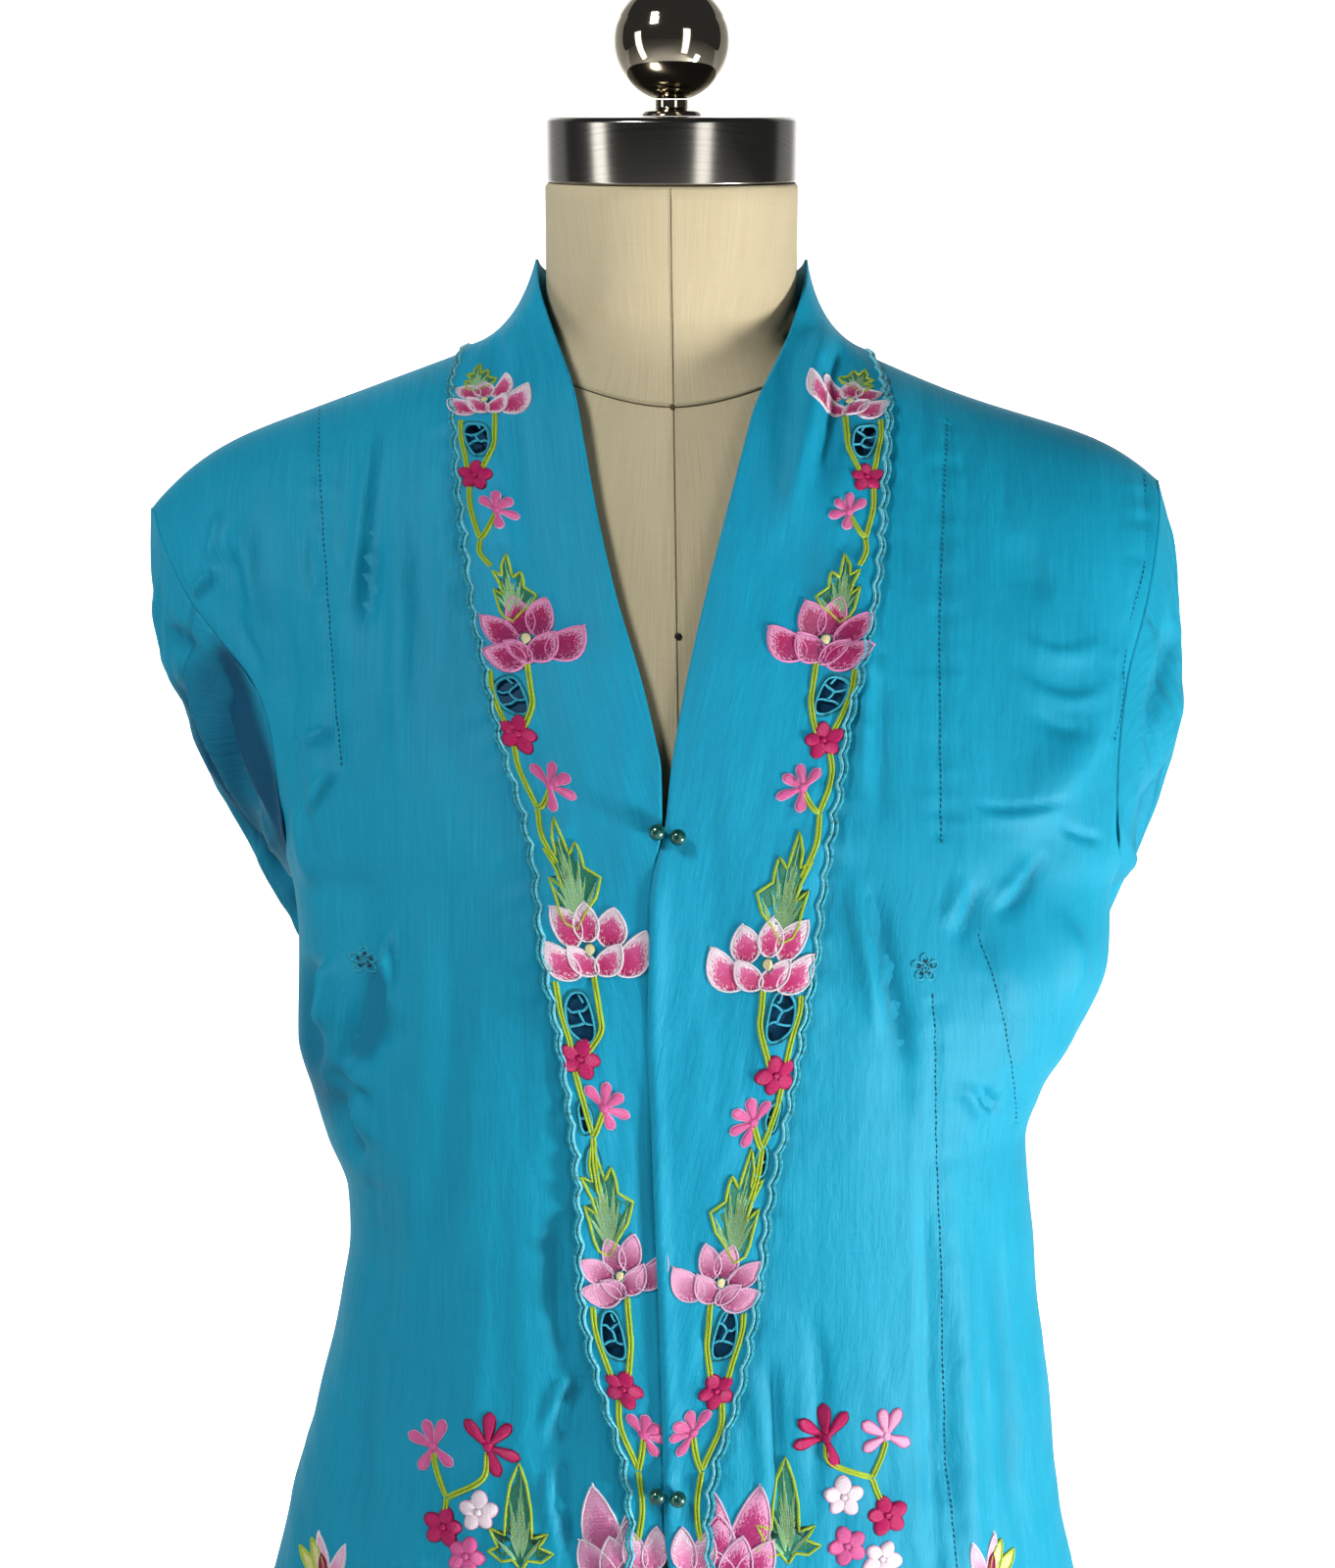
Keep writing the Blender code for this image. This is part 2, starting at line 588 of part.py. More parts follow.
def sleeve_grid(side):
    """Outer points of a sleeve, ring by ring from the armhole."""
    table = SLEEVE_LEFT if side > 0 else SLEEVE_RIGHT
    levels = np.array([row[0] for row in table])
    rings = []
    start = armhole_loop(side)
    omega = loop_turn(start)
    for level in np.linspace(levels[0], levels[-1], SLEEVE_RINGS):
        values = [float(smooth(table, k, level)) for k in range(1, 6)]
        fade = np.interp(level, [levels[-1], levels[0]], [0.0015, 0.0050])
        rings.append(sleeve_ring(side, omega, level, *values, fade))
    start[:, 0] += side * SEAM * 1.4
    first, second = rings[0], rings[1]
    reach = np.clip((start[:, 2:3] - ARMPIT) / 0.15, 0, 1)
    leave = np.array([side * 0.076, 0.000, -0.045]) + reach * np.array([side * 0.055, 0.0, -0.035])
    leave[:, 0] += np.where(side < 0, -0.125 * (1 - 0.6 * reach[:, 0]), 0.045 * reach[:, 0])
    arrive = (second - first) * 3.6
    blended = []
    for k in range(BLEND_ROWS):
        t = k / BLEND_ROWS
        a, b = 2 * t**3 - 3 * t**2 + 1, t**3 - 2 * t**2 + t
        c, d = 3 * t**2 - 2 * t**3, t**3 - t**2
        ring = a * start + b * leave + c * first + d * arrive
        blended.append(ring)
    rings = np.array(blended + rings)
    clear = 0.0085 * np.clip(np.arange(len(rings)) / 1.6, 0, 1)[:, None]
    for _ in range(SLEEVE_EASE):
        rings[1:-1] = rings[1:-1] * 0.5 + (rings[:-2] + rings[2:]) * 0.25
        rings[1:] = pushed_out(rings[1:], clear[1:])
    return rings


class Band:
    """A lapel band: places on it are a distance down from the shoulder line and a distance
    in from its outer edge."""

    def __init__(self, side):
        self.side = side
        level = np.linspace(BANDS[0][0], BANDS[-1][0], 160)
        inner, outer = self.edges(level)
        middle = (inner + outer) / 2
        path = np.stack([middle, body(middle, level), level], axis=1)
        steps = np.linalg.norm(np.diff(path, axis=0), axis=1)
        self.down = STAND_LENGTH + np.concatenate([[0], np.cumsum(steps)])
        self.level = level
        self.length = self.down[-1]

    def edges(self, level):
        k = 3 if self.side > 0 else 1
        return smooth(BANDS, k, level), smooth(BANDS, k + 1, level)

    def edge_points(self, down):
        """Inner, middle and outer point of the band's cross-section at 'down'."""
        down = np.asarray(down, float)
        way = np.clip(down / STAND_LENGTH, 0, 1)
        level = np.interp(down, self.down, self.level)
        level = level + np.maximum(STAND_LENGTH - down, 0) * STAND_CLIMB
        ends = self.edges(level)
        lying = [np.stack([x, body(x, level), level], axis=-1) for x in (ends[0], sum(ends) / 2, ends[1])]
        stand = [smooth(STAND, k, way) for k in range(1, 9)]
        s = self.side
        inner = np.stack([s * stand[0] + NECK_X, stand[1], stand[2]], axis=-1)
        middle = np.stack([s * stand[3], stand[4], stand[5]], axis=-1)
        low = ridge(s * stand[6]) - stand[7]
        outer = np.stack([s * stand[6], body(s * stand[6], low), low], axis=-1)
        h = (1 - np.clip((way - 0.55) / 0.45, 0, 1))[..., None]
        h = h * h * (3 - 2 * h)
        standing = way[..., None] < 1
        raised = (inner, middle, outer)
        edges = [np.where(standing, b * h + a * (1 - h), a) for a, b in zip(lying, raised)]
        return edges, h, way

    def width(self, down):
        (inner, middle, outer), _, _ = self.edge_points(down)
        return np.linalg.norm(inner - middle, axis=-1) + np.linalg.norm(middle - outer, axis=-1)

    def base(self, down, inside):
        """Points under the band, on the body or standing up beside the neck."""
        down, inside = np.broadcast_arrays(np.asarray(down, float), np.asarray(inside, float))
        (inner, middle, outer), h, way = self.edge_points(down)
        f = (inside / self.width(down))[..., None]
        x = (outer * (1 - f) + inner * f)[..., 0]
        level = (outer * (1 - f) + inner * f)[..., 2]
        lying = np.stack([x, body(x, level), level], axis=-1)
        g = np.clip(f, 0, 1)
        curve = outer * (1 - g) ** 2 + 2 * middle * g * (1 - g) + inner * g**2
        curve = curve + (f - g) * 2 * np.where(f > 1, inner - middle, middle - outer)
        points = np.where(way[..., None] < 1, curve * h + lying * (1 - h), lying)
        under = body(points[..., 0], points[..., 2])
        points[..., 1] = np.minimum(points[..., 1], np.where(under < 0, under, 1))
        return points

    def normal(self, down, inside):
        e = 0.0008
        a = self.base(down + e, inside) - self.base(np.maximum(down - e, 0), inside)
        b = self.base(down, inside + e) - self.base(down, inside - e)
        n = unit(np.cross(a, b)) * -self.side
        end = np.clip(1 - np.asarray(down, float) / 0.012, 0, 1)
        n[..., 1] *= 1 - end
        return unit(n)

    def place(self, down, inside, off=0.0):
        """A place on the band, 'off' metres off its base."""
        at = self.base(down, inside)
        n = self.normal(down, inside)
        return at + n * np.asarray(off)[..., None]


def scallop(down):
    """How far the cord edge swells out of the band's mean outer edge."""
    return SCALLOP_DEPTH * (np.abs(np.sin(math.pi * down / SCALLOP)) ** 0.8 - 0.5)


def inside_polygon(point, polygon):
    x, y = point
    found = False
    for (x0, y0), (x1, y1) in zip(polygon, np.roll(polygon, -1, axis=0)):
        if (y0 > y) != (y1 > y) and x < (x1 - x0) * (y - y0) / (y1 - y0) + x0:
            found = not found
    return found


def band_mesh(side, name):
    """One lapel band: its flat shape with the cutwork cells, laid on the body."""
    band = Band(side)
    end = band.length
    outline = []
    for d in np.arange(0, end + 1e-9, end / round(end / (SCALLOP / 3))):
        outline.append((d, -scallop(d)))
    for f in np.linspace(0, 1, 5)[1:-1]:
        outline.append((end, f * float(band.width(end))))
    for d in np.linspace(end, 0, 52):
        outline.append((d, float(band.width(d))))
    for f in np.linspace(1, 0, END_POINTS)[1:-1]:
        outline.append((0.0, f * float(band.width(0.0))))
    outline = np.array(outline)
    cells = []
    for down, inside, long, wide, turn in CELLS:
        t = math.radians(turn * side)
        ring = []
        for k in range(6):
            a = math.tau * (k + 0.5) / 6
            u, v = math.cos(a) * long / 2, math.sin(a) * wide / 2
            across = inside + u * math.sin(t) + v * math.cos(t)
            ring.append((down + u * math.cos(t) - v * math.sin(t), across))
        cells.append(np.array(ring))
    points = [tuple(p) for p in outline]
    edges = [(k, (k + 1) % len(outline)) for k in range(len(outline))]
    for ring in cells:
        first = len(points)
        points += [tuple(p) for p in ring]
        edges += [(first + k, first + (k + 1) % len(ring)) for k in range(len(ring))]
    for r, d in enumerate(np.arange(0.010, end - 0.006, 0.0125)):
        wide = float(band.width(d))
        count = max(int(wide / 0.013), 1)
        for c in range(count):
            v = wide * (c + 0.5 + 0.2 * (r % 2)) / (count + 0.2)
            near = min((np.hypot(*(ring - (d, v)).T).min() for ring in cells), default=1)
            if near > 0.004 and not any(inside_polygon((d, v), ring) for ring in cells):
                points.append((d, v))
    flat, _, tris, _, _, _ = delaunay_2d_cdt([Vector(p) for p in points], edges, [], 0, 1e-7)
    flat = np.array([tuple(p) for p in flat])
    keep = []
    for tri in tris:
        middle = flat[list(tri)].mean(axis=0)
        if inside_polygon(middle, outline) and not any(inside_polygon(middle, ring) for ring in cells):
            keep.append(tuple(tri))
    low = band.place(flat[:, 0], flat[:, 1], np.full(len(flat), LIFT))
    high = band.place(flat[:, 0], flat[:, 1], np.full(len(flat), LIFT + BAND_WALL))
    count = len(flat)
    faces = list(keep) + [tuple(i + count for i in t[::-1]) for t in keep]
    seen = {}
    for tri in keep:
        for a, b in zip(tri, tri[1:] + tri[:1]):
            seen[(a, b)] = seen.get((a, b), 0) + 1
    for a, b in seen:
        if (b, a) not in seen:
            faces.append((b, a, a + count, b + count))
    used = sorted({i for f in faces for i in f})
    index = {old: new for new, old in enumerate(used)}
    both = np.concatenate([low, high])[used]
    return solid(name, both, [tuple(index[i] for i in f) for f in faces], "lapel_cotton")


def back_level(x, y):
    """Level at which the back surface stands at depth y, over x."""
    low, high = np.full(np.shape(x), -0.1), ridge(x)
    for _ in range(40):
        middle = (low + high) / 2
        deep = body(x, middle, back=True) > y
        low, high = np.where(deep, middle, low), np.where(deep, high, middle)
    return (low + high) / 2


def collar_back_grid():
    """The collar round the back of the neck, from shoulder line to shoulder line."""
    turn = np.linspace(0, math.pi, 25)[:, None]
    f = np.linspace(0, 1, END_POINTS)[None, :]
    c, s = np.cos(turn), np.sin(turn)
    x, y = 0.0900 * c, 0.0880 * s
    outer = np.stack([x, y, back_level(x, y)], axis=-1)
    x, y = 0.0660 * c, 0.0715 * s
    middle = np.stack([x, y, back_level(x, y) - 0.003 * c**2], axis=-1)
    inner = np.stack([0.0590 * c + NECK_X, 0.004 + 0.0610 * s, 0.2360 - 0.004 * s], axis=-1)
    f = f[..., None]
    points = outer * (1 - f) ** 2 + 2 * middle * f * (1 - f) + inner * f**2
    normals = grid_normals(points)
    normals *= np.sign(np.sum(normals[12] * np.array([0, 1.0, 0])))
    normals[[0, -1], :, 1] = 0
    normals = unit(normals)
    points = points + normals * (LIFT + BAND_WALL)
    points[..., 1] += 2 * SEAM
    return points, -normals


def revolved(name, profile, slot, axis_at=(0.0, 0.0), lean=0.0, sides=32):
    """A solid turned from (radius, height) rows; the first and last radius may be 0."""
    points, faces = [], []
    along = np.array([0.0, -lean, 1.0]) / math.hypot(1, lean)
    forward = np.array([0.0, 1.0, lean]) / math.hypot(1, lean)
    origin = np.array([axis_at[0], axis_at[1], 0.0])
    rings = []
    for radius, height in profile:
        here = origin + along * height
        if radius == 0:
            rings.append([len(points)])
            points.append(here)
            continue
        rings.append(list(range(len(points), len(points) + sides)))
        for k in range(sides):
            a = math.tau * k / sides
            points.append(here + radius * (math.cos(a) * np.array([1.0, 0, 0]) + math.sin(a) * forward))
    for low, high in zip(rings, rings[1:]):
        for k in range(sides):
            j = (k + 1) % sides
            if len(low) == 1:
                faces.append((low[0], high[j], high[k]))
            elif len(high) == 1:
                faces.append((low[k], low[j], high[0]))
            else:
                faces.append((low[k], low[j], high[j], high[k]))
    return solid(name, points, faces, slot)


def neck_axis_y(level):
    return NECK_Y - NECK_LEAN * (level - 0.20)


def form_radius(angle, level):
    """Distance from the form's centre to its surface, in a direction, at a level."""
    c, s = np.cos(angle), np.sin(angle)
    low, high = np.zeros(len(angle)), np.full(len(angle), 0.3)
    lifted = level + FORM_GAP
    for _ in range(40):
        r = (low + high) / 2
        x, y = r * c, r * s
        limit = np.where(x < 0, smooth(WIDTHS, 1, level), smooth(WIDTHS, 2, level))
        hole = np.where(x < 0, smooth(ARMHOLE, 1, level), smooth(ARMHOLE, 2, level))
        wide = np.where(level > ARMPIT, np.minimum(limit, hole), limit) - FORM_GAP - 0.0015
        drop = np.maximum(ridge(x) - lifted, 0)
        deep = np.where(y < 0, smooth(PROFILE, 1, drop), smooth(PROFILE, 2, drop)) - FORM_GAP
        share = np.clip(np.abs(x) / wide, 0, 1)
        edge = np.maximum(deep, 0) * (1 - share**SQUARENESS) ** (1 / SQUARENESS)
        inside = np.abs(y) < edge
        low, high = np.where(inside, r, low), np.where(inside, high, r)
    return (low + high) / 2


def neck_distance(angle, level):
    c, s = np.cos(angle), np.sin(angle)
    cx, cy = NECK_X, neck_axis_y(max(level, 0.20))
    radius = NECK_RADIUS
    along = c * cx + s * cy
    return along + np.sqrt(np.maximum(radius**2 - (cx**2 + cy**2 - along**2), 0))


def form_mesh():
    """The linen body and neck, from rings round the body."""
    angle = np.arange(40) * math.tau / 40
    levels = [FORM_BOTTOM, FORM_BOTTOM + 0.006, -0.47, -0.42, -0.36, -0.30, -0.25, -0.21, -0.17,
              -0.13, -0.09, -0.05, -0.01, 0.03, 0.065, 0.095, 0.12, 0.14, 0.157, 0.172, 0.186,
              0.199, 0.213, 0.228, 0.246, NECK_TOP]
    rows = []
    for k, level in enumerate(levels):
        r = form_radius(angle, level) * (0.975 if k == 0 else 1)
        n = neck_distance(angle, level)
        if level > 0.22:
            r = n
        elif level > 0.08:
            r = (r**14 + n**14) ** (1 / 14)
        tilt = np.clip((level - 0.20) / 0.03, 0, 1) * NECK_LEAN
        y = r * np.sin(angle)
        rows.append(np.stack([r * np.cos(angle), y, level + tilt * (y - neck_axis_y(level))], axis=1))
    rows = np.array(rows)
    ring = len(angle)
    faces = grid_faces(len(levels), ring, 0, closed=True)
    points = list(rows.reshape(-1, 3)) + [rows[0].mean(axis=0), rows[-1].mean(axis=0)]
    low, high = len(points) - 2, len(points) - 1
    last = (len(levels) - 1) * ring
    for c in range(ring):
        d = (c + 1) % ring
        faces.append((low, d, c)[::-1])
        faces.append((high, last + d, last + c))
    return solid("form_body", points, faces, "linen")


def neck_part(name, profile, slot, sides=32):
    """A part turned round the neck's leaning axis; heights count from the linen's top."""
    stretch = math.hypot(1, NECK_LEAN)
    start = NECK_TOP * stretch
    rows = [(r, start + h) for r, h in profile]
    return revolved(name, rows, slot, (NECK_X, neck_axis_y(0.0)), NECK_LEAN, sides)


def ball_profile(radius, bottom, steps=10):
    rows = []
    for k in range(steps + 1):
        a = math.pi * k / steps
        out = 0.0 if k in (0, steps) else radius * math.sin(a)
        rows.append((out, bottom + radius - radius * math.cos(a)))
    return rows


def bead(name, x, level):
    y = float(body(x, level)) - LIFT - BAND_WALL - SEAM - BEAD_RADIUS - 0.0001
    made = revolved(name, ball_profile(BEAD_RADIUS, level - BEAD_RADIUS, 6), "green_pearl", (x, y), 0, 10)
    return made


def main():
    for old in list(bpy.data.objects):
        bpy.data.objects.remove(old)
    for side, name in ((-1, "front_right"), (1, "front_left")):
        points, inward = front_grid(side)
        sheet(name, points, inward, "turquoise_cotton")
    points, inward = back_grid()
    sheet("back", points, inward, "turquoise_cotton")
    for side, name in ((-1, "sleeve_right"), (1, "sleeve_left")):
        points = sleeve_grid(side)
        inward = -grid_normals(points, closed=True)
        middle = points.mean(axis=1, keepdims=True)
        inward *= np.sign(np.sum(inward * (middle - points)))
        inward[0, :, 0] = side * np.maximum(inward[0, :, 0] * side, 0)
        inward = unit(inward)
        sheet(name, points, inward, "turquoise_cotton", closed=True)
    band_mesh(-1, "lapel_right")
    band_mesh(1, "lapel_left")
    points, inward = collar_back_grid()
    sheet("collar_back", points, inward, "lapel_cotton", wall=BAND_WALL)
    for name, x, level in BEADS:
        bead(name, x, level)
    form_mesh()
    g, h = SEAM, CAP_HEIGHT
    cap = [(0, g), (CAP_RADIUS - 0.0008, g), (CAP_RADIUS, g + 0.001), (CAP_RADIUS, h - 0.0022)]
    neck_part("neck_cap", cap + [(CAP_RADIUS - 0.0022, h), (0, h)], "brushed_steel", 40)
    low = h + SEAM
    disc = [(0, low), (0.013, low), (0.0134, low + 0.0006), (0.0122, low + 0.002)]
    disc.append((STEM_RADIUS, low + 0.002))
    top = h + BALL_RISE - BALL_RADIUS + 0.0045
    neck_part("neck_stem", disc + [(STEM_RADIUS, top), (0, top)], "brushed_steel", 24)
    neck_part("neck_ball", ball_profile(BALL_RADIUS, top + SEAM, 12), "chrome", 26)
    foot = FORM_BOTTOM - SEAM
    flange = [(0, foot - 0.010), (FLANGE_RADIUS - 0.002, foot - 0.010), (FLANGE_RADIUS, foot - 0.008)]
    revolved("pole_flange", flange + [(FLANGE_RADIUS, foot), (0, foot)], "brushed_steel")
    start = BASE_HEIGHT + SEAM - DATUM
    pole = [(0, start), (POLE_RADIUS, start), (POLE_RADIUS, foot - 0.010 - SEAM)]
    revolved("pole", pole + [(0, foot - 0.010 - SEAM)], "brushed_steel", sides=24)
    base = [(0, 0), (BASE_RADIUS - 0.0015, 0), (BASE_RADIUS, 0.0015), (BASE_RADIUS, BASE_HEIGHT - 0.003)]
    base += [(BASE_RADIUS - 0.003, BASE_HEIGHT), (0, BASE_HEIGHT)]
    revolved("base", [(r, z - DATUM) for r, z in base], "brushed_steel", sides=56)


main()
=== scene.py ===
"""Looks of a peranakan blouse (nyonya kebaya) on a linen dress form.

Metres, in the frame of the CAD model: the blouse faces -Y and the wearer's left is +X.
Heights named "level" are measured from DATUM. The cloth follows the same body surface as
the CAD solids, with finer folds. Embroidery is laid on it in the cloth's own flat
measures: down and in from the outer edge on a lapel, x and level on a front.
"""

import math

import bpy
import numpy as np
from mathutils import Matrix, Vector
from mathutils.geometry import delaunay_2d_cdt


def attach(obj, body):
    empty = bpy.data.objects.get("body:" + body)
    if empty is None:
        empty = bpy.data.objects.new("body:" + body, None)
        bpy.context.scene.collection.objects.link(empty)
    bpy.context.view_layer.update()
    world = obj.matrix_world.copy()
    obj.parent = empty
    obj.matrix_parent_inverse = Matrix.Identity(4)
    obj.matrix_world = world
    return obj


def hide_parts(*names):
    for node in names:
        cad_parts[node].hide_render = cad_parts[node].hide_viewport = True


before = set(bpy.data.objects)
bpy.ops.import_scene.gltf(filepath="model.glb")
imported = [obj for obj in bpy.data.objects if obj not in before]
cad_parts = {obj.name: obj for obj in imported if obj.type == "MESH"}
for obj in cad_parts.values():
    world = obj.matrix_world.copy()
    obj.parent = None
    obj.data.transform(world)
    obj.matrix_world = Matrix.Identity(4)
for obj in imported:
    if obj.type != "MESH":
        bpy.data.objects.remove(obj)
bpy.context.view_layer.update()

DATUM = 0.820            # height of level 0 above the floor
WALL = 0.0012            # cloth of the panels and sleeves
BAND_WALL = 0.0012       # cloth and embroidery of the lapel bands
SEAM = 0.0003            # what stays free between two pieces
RIDGE = 0.228            # level at which the two shoulder lines would meet
SLOPE = 0.372            # fall of the shoulder line
TIP_DROP = 0.020         # how far a shoulder rounds off at its tip
SQUARENESS = 2.6         # exponent of the body's rounded section
LOW_SHOULDER = 0.0040    # how much lower the wearer's left shoulder lies
NECK_X, NECK_Y = 0.0018, 0.006
NECK_POINT = 0.066       # half width of the neck opening on the shoulder line
ARMPIT = -0.045          # level of the underarm point
TIP_RIGHT, TIP_LEFT = 0.2314, 0.2196

# All tables from here to the sleeves are in millimetres, and are turned into metres.
# The body from the side: drop below the shoulder line, and how far the cloth stands from
# the shoulders' plane there, to the front and to the back.
PROFILE = np.array((
    # drop, front, back
    (0, 0, 0), (4, 15, 17), (12, 30, 34), (26, 45.5, 53), (50, 62.5, 73), (85, 79, 90),
    (125, 94.5, 102), (170, 110, 108), (230, 124, 110), (280, 130, 108), (340, 127, 103),
    (420, 119, 100), (510, 122, 112), (610, 130, 126), (720, 136, 134),
)) / 1000

# The body from the front: half width at each level.
WIDTHS = np.array((
    # level, wearer's right, wearer's left
    (-490, 193, 195), (-400, 185, 188), (-352, 174.5, 179.8), (-308, 165.5, 172.2),
    (-264, 152.2, 169), (-220, 143.5, 163), (-198, 140, 161.5), (-176, 141.5, 159),
    (-154, 150.5, 157.5), (-132, 157, 165.5), (-110, 163, 181), (-77, 162.5, 195), (-45, 164, 197),
    (-30, 170, 203), (0, 183, 210.5), (24, 190, 216), (44, 199, 221), (62, 213, 226.5),
    (79, 226, 231), (100, 237, 235.5), (124, 245, 239), (170, 250, 243), (228, 250, 245),
)) / 1000

# Where the armhole seam crosses each level, as a half width.
ARMHOLE = np.array((
    # level, wearer's right, wearer's left
    (-45, 164, 197), (-30, 163.5, 194.5), (0, 166, 192), (24, 170, 194), (44, 178, 197),
    (62, 193, 202), (79, 207, 207.5), (100, 219, 212.5), (124, 229, 217), (150, 236, 220.5),
    (228, 250, 230),
)) / 1000

# The lapel bands from the front: where their inner and outer edges lie at each level.
BANDS = np.array((
    # level, right inner, right outer, left inner, left outer
    (155, -36.9, -92.3, 35.2, 95.3), (120, -30.7, -88.7, 26.2, 92.5),
    (80, -21.7, -82.8, 16.2, 87.5), (40, -10, -75, 7.2, 78.5), (20, -5.2, -69.7, 3.5, 73.7),
    (5, -2.4, -65, 1.2, 71.9), (-15, -2, -59, -0.6, 68.2), (-40, -5.2, -54, -4.2, 64),
    (-70, -6.3, -51, -5.3, 60.5), (-100, -7, -45, -6, 55.5), (-135, -5.9, -40, -4.7, 49.2),
    (-170, -4.6, -37, -3.4, 42.5), (-200, -3.4, -36.8, -2, 38.9), (-225, -2.4, -33.5, -1, 34.6),
    (-250, -1.6, -26.5, -0.2, 29), (-275, -1.2, -19, 0.4, 21), (-300, -1.2, -16, 0.8, 17.5),
    (-330, -3, -17.5, 3, 19), (-370, -7.5, -22, 7.5, 24), (-405, -14, -28, 14, 30),
    (-440, -23, -36, 23, 38),
)) / 1000

# How the lapel stands up beside the neck: its inner edge, middle and outer edge on the way
# from the shoulder line (0) down to where the lapel lies flat (1).
STAND = np.array((
    # way, inner x, inner y, inner level, middle x, middle y, middle level, outer x, outer drop
    (0, 59, 4, 236, 66, 0, 200.5, 90, 0), (250, 57, -17, 219, 66.5, -26, 193, 92, 9.8),
    (500, 52.5, -33, 201, 67, -39, 183, 94.5, 18.3),
    (750, 45, -47, 179, 66.5, -52, 169.5, 95, 28.2),
    (1000, 36.5, -59, 155, 65, -64, 155, 93.5, 38.2),
)) / 1000
STAND_LENGTH = 0.080     # length of the lapel between those two places
STAND_CLIMB = 0.75       # how fast a lying lapel would rise there
LIFT = 0.0010            # the lapels lie this far off the fronts
SCALLOP = 0.0125         # length of one scallop of the cord edge
SCALLOP_DEPTH = 0.0019
END_POINTS = 8           # points across a lapel where it meets the back of the collar

# The largest folds of the fronts and the back: from one place to another on the piece, how
# far they stand out (ridge) or sink in (trough), and their width.
FRONT_FOLDS = np.array((
    # x, level, to x, to level, height, width
    (192, 33, 154, -12, 3.5, 13), (81, -36, 97, -119, -4, 12), (132, -54, 160, -26, -4, 13),
    (145, -80, 175, -70, 3.5, 14), (157, 66, 183, 42, 3, 14), (-126, -50, -119, -100, -5.5, 12),
    (-141, -58, -138, -118, 4, 12), (-33, -238, -46, -270, -4, 12), (-43, -271, -38, -330, -3, 12),
    (109, -100, 113, -260, 2.2, 11), (-130, 50, -155, -40, 3, 14), (-110, -290, -120, -390, 4, 16),
    (110, -300, 125, -390, 4, 16),
)) / 1000
BACK_FOLDS = np.array((
    # x, level, to x, to level, height, width
    (100, 60, 125, -60, 3, 16), (-100, 55, -125, -60, 3, 16), (60, -150, 110, -190, -3.5, 16),
    (-55, -140, -105, -185, -3.5, 16), (70, -240, 85, -380, 2.5, 18),
    (-70, -240, -90, -380, 2.5, 18), (0, -250, 4, -380, -3, 18),
)) / 1000

# A sleeve on its way from the underarm to the cuff, lying round the body's side and back:
# level of its middle, where its front edge and its back edge lie (distance round the body
# from the side seam line towards the back), how thick it stands, how far it hangs clear of
# the back panel, and how much lower its front edge is than its back edge.
SLEEVE_RIGHT = np.array((
    # level, front edge, back edge, thickness, clear, tilt
    (-65, 72, 196, 27, 5.5, 56), (-100, 78, 198, 30, 5.5, 46), (-140, 85, 200, 30, 5.5, 34),
    (-190, 85, 196, 30, 5.5, 22), (-250, 76, 186, 31, 5.5, 14), (-320, 82, 188, 32, 5.5, 7),
    (-380, 89, 192, 33, 5.5, 3), (-425, 93, 195, 34, 5.5, 0),
)) / 1000
SLEEVE_LEFT = np.array((
    # level, front edge, back edge, thickness, clear, tilt
    (-65, 74, 206, 30, 5.5, 56), (-100, 90, 214, 30, 5.5, 46), (-140, 93, 212, 30, 5.5, 34),
    (-190, 88, 204, 30, 5.5, 22), (-250, 82, 196, 31, 5.5, 14), (-320, 86, 196, 32, 5.5, 7),
    (-380, 92, 199, 33, 5.5, 3), (-425, 96, 202, 34, 5.5, 0),
)) / 1000
SLEEVE_START = 6         # point of the armhole loop from which the sleeve's columns count
BLEND_ROWS = 7           # rings between the armhole and the first row of the table
LEAVE_UNDER = np.array((0.076, 0.0, -0.045))   # which way they leave it, under the arm
LEAVE_OVER = np.array((0.055, 0.0, -0.035))    # what is added to that over the shoulder
ARRIVE = 3.6             # how straight they come into the first row
SLEEVE_RINGS = 13
SLEEVE_EASE = 5          # how often the sleeve's rings are eased towards their neighbours

NECK_LEAN = 0.26         # how far the neck leans forward for each metre up
NECK_RADIUS = 0.0562
NECK_TOP = 0.2675        # level of the top of the linen on the neck's axis
CAP_HEIGHT, CAP_RADIUS = 0.0285, 0.0555
STEM_RADIUS, BALL_RADIUS, BALL_RISE = 0.0073, 0.0256, 0.0272
BASE_RADIUS, BASE_HEIGHT = 0.160, 0.012
POLE_RADIUS, FLANGE_RADIUS = 0.0125, 0.034
FORM_BOTTOM = -0.520
FORM_GAP = 0.0065        # between the form and the cloth on it
BEAD_RADIUS = 0.0034
BEADS = (
    # name, x, level
    ("bead_upper_right", -0.0042, -0.0193),
    ("bead_upper_left", 0.0042, -0.0213),
    ("bead_lower_right", -0.0042, -0.2857),
    ("bead_lower_left", 0.0042, -0.2867),
)


HALVINGS = 40            # steps of a search for a place on a surface


